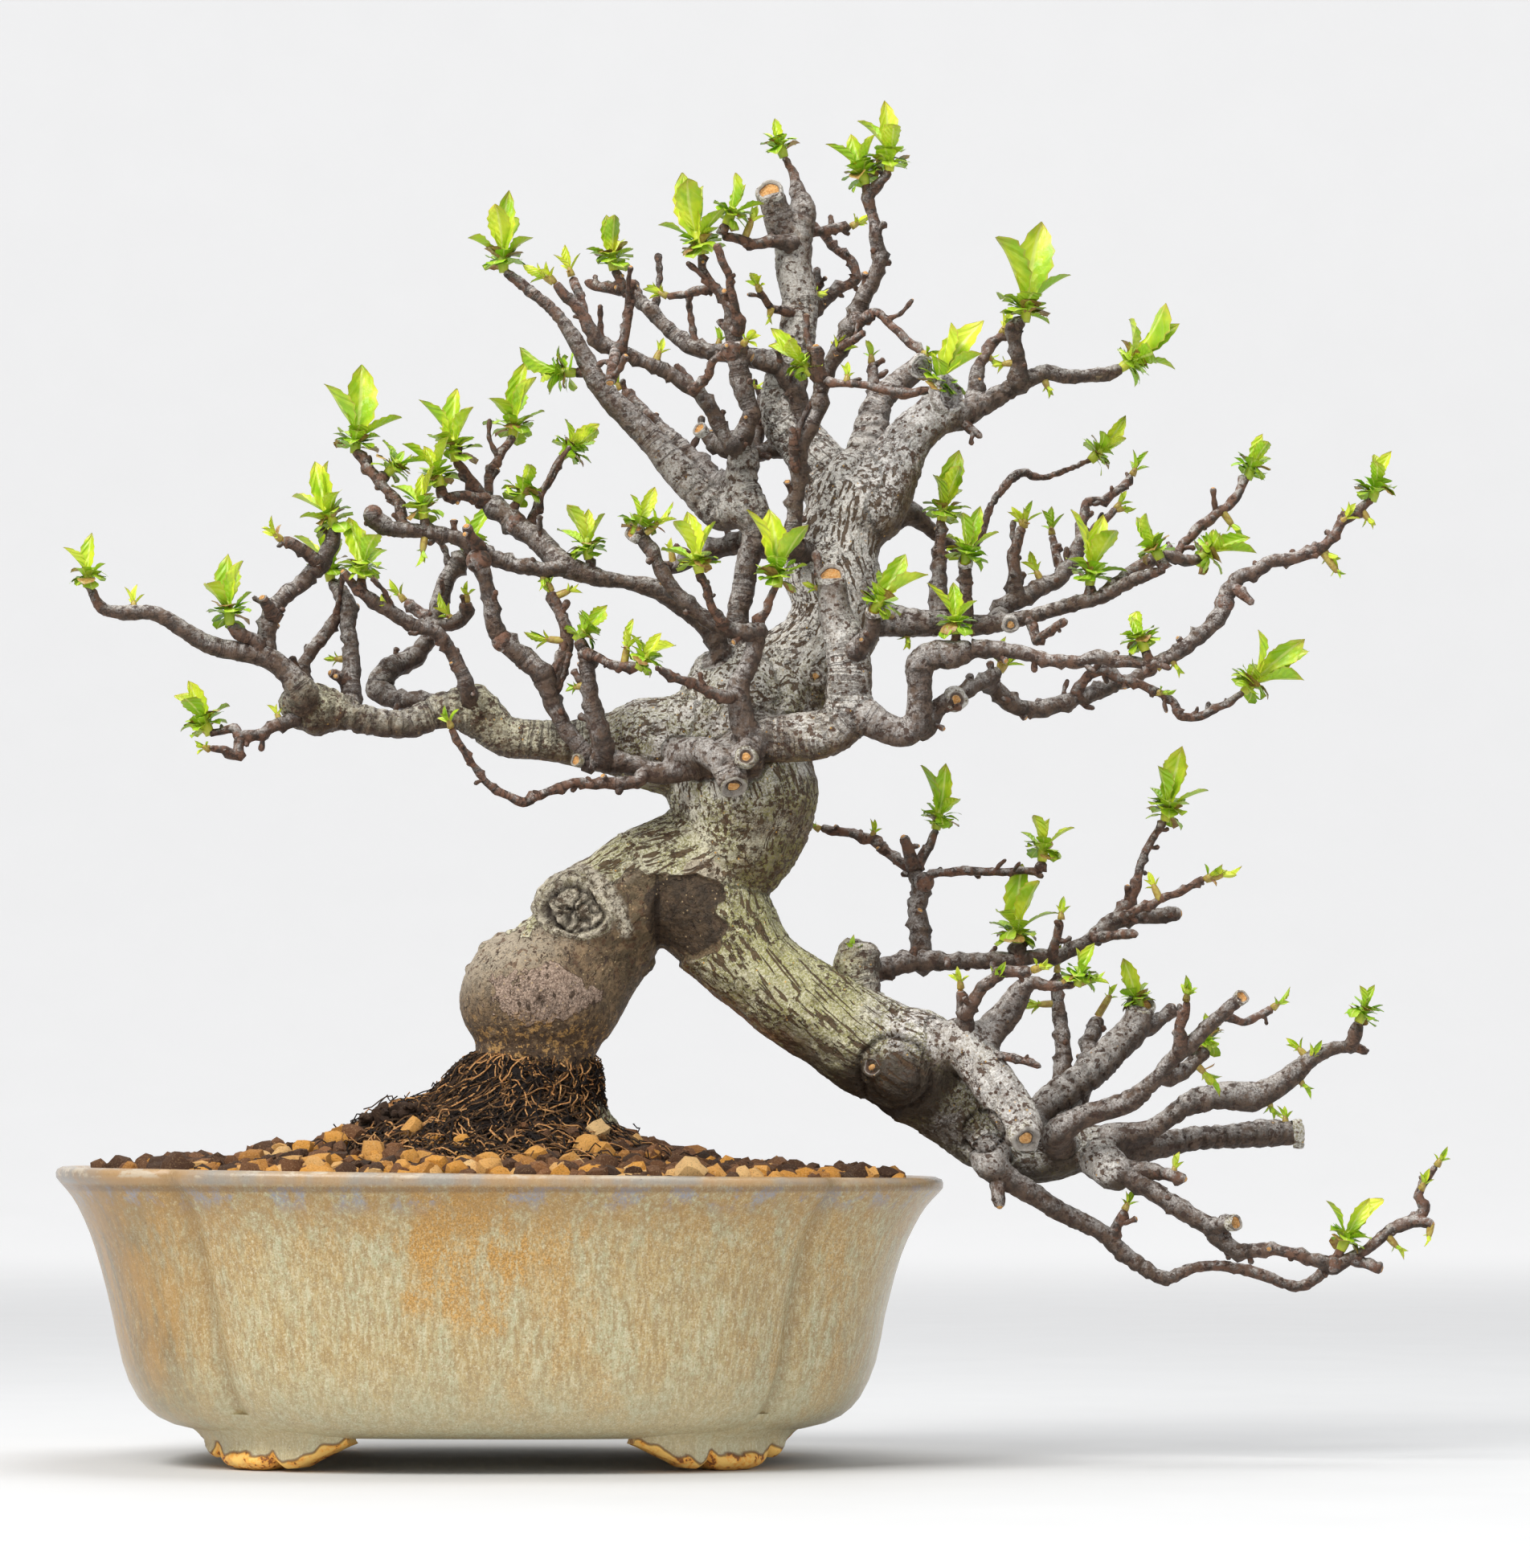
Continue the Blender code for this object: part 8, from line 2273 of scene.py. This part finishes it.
@dataclass
class Stage:
    """Camera, soft light, floor and backdrop."""

    shift: Vector
    floor_half: float = 3.0
    lens: float = 138.6

    def build(self, paper: Material) -> None:
        """Sets the stage.

        Args:
            paper: the floor's finish.
        """
        self.add_camera()
        self.add_floor(paper)
        self.add_light("key", (-0.75, -0.9, 1.4), 0.85, 31.5, (1.0, 0.985, 0.96))
        self.add_light("fill", (1.3, -1.2, 0.7), 1.6, 4, (0.96, 0.98, 1.0))
        self.add_light("top", (0.15, 0.25, 1.5), 0.9, 13, (1.0, 1.0, 1.0))
        self.add_light("low", (0.0, -1.0, 0.06), 0.7, 1.5, (1.0, 0.97, 0.92))
        world = bpy.data.worlds.new("studio")
        world.use_nodes = True
        world.node_tree.nodes["Background"].inputs["Color"].default_value = 0.96, 0.97, 1.0, 1
        world.node_tree.nodes["Background"].inputs["Strength"].default_value = 0.44
        bpy.context.scene.world = world
        bpy.context.scene.view_settings.view_transform = "Standard"

    def add_camera(self) -> None:
        """The camera of the photo."""
        data = bpy.data.cameras.new("camera")
        data.lens = self.lens
        data.sensor_width = 36
        camera = bpy.data.objects.new("camera", data)
        place = (EYE + self.shift) * MM
        aim = (LOOK_AT + self.shift) * MM
        camera.location = place
        camera.rotation_euler = (aim - place).to_track_quat("-Z", "Y").to_euler()
        bpy.context.scene.collection.objects.link(camera)
        bpy.context.scene.camera = camera

    def add_floor(self, paper: Material) -> None:
        """A floor that rolls up into the backdrop."""
        deselect()
        bpy.ops.mesh.primitive_plane_add(size=2 * self.floor_half, location=(0, 0, 0))
        floor = bpy.context.object
        floor.name = "floor"
        bpy.ops.object.mode_set(mode="EDIT")
        bpy.ops.mesh.select_all(action="DESELECT")
        bpy.ops.object.mode_set(mode="OBJECT")
        for edge in floor.data.edges:
            ends = [floor.data.vertices[i].co for i in edge.vertices]
            edge.select = all(end.y > self.floor_half - 0.01 for end in ends)
        for step in range(1, 13):
            bpy.ops.object.mode_set(mode="EDIT")
            turn = pi / 2 * step / 12
            move = 0, 0.13 * cos(turn), 0.13 * sin(turn)
            bpy.ops.mesh.extrude_region_move(TRANSFORM_OT_translate={"value": move})
            bpy.ops.object.mode_set(mode="OBJECT")
        bpy.ops.object.mode_set(mode="EDIT")
        bpy.ops.mesh.extrude_region_move(TRANSFORM_OT_translate={"value": (0, 0, 3)})
        bpy.ops.object.mode_set(mode="OBJECT")
        bpy.ops.object.shade_smooth()
        floor.data.materials.append(paper)

    @staticmethod
    def add_light(name: str, place: tuple[float, float, float], size: float, power: float,
            color: tuple[float, float, float]) -> None:
        """One large soft light, aimed at the tree."""
        data = bpy.data.lights.new(name, "AREA")
        data.size = size
        data.energy = power
        data.color = color
        light = bpy.data.objects.new(name, data)
        light.location = place
        light.rotation_euler = (Vector((0, 0, 0.16)) - Vector(place)).to_track_quat("-Z", "Y").to_euler()
        bpy.context.scene.collection.objects.link(light)


def main() -> None:
    """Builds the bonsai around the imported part."""
    logging.basicConfig(level=logging.INFO, format="%(message)s")
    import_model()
    low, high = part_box("pot")
    shift = Vector(((low.x + high.x) / 2 / MM, 0, low.z / MM - Pot.ground))
    Shader.home = shift
    bark = Finishes.bark()
    leaf = Finishes.leaf()
    wood = Wood(shift)
    foliage = Foliage(wood, shift)
    foliage.build(leaf)
    wood.build_limbs(bark)
    for part, rows in (("left", LEFT), ("crown", CROWN), ("right", RIGHT), ("cascade", TRUNK + CASCADE)):
        names = [entry[0] for entry in rows]
        spurs = [spur for name in names for spur in foliage.spurs.get(name, [])]
        wood.build_twigs(f"twigs_{part}", names, bark, spurs)
    wood.build_cuts(bark)
    pot = Pot(shift)
    pot.build(Finishes.glaze())
    SoilBed(shift, pot).build(Finishes.soil())
    plastic = Finishes.plastic()
    for name in ("drain_mesh_left", "drain_mesh_right"):
        mesh = bpy.data.objects[name]
        for material_slot in mesh.material_slots:
            material_slot.material = plastic
    Stage(shift).build(Finishes.paper())


if __name__ == "__main__":
    main()
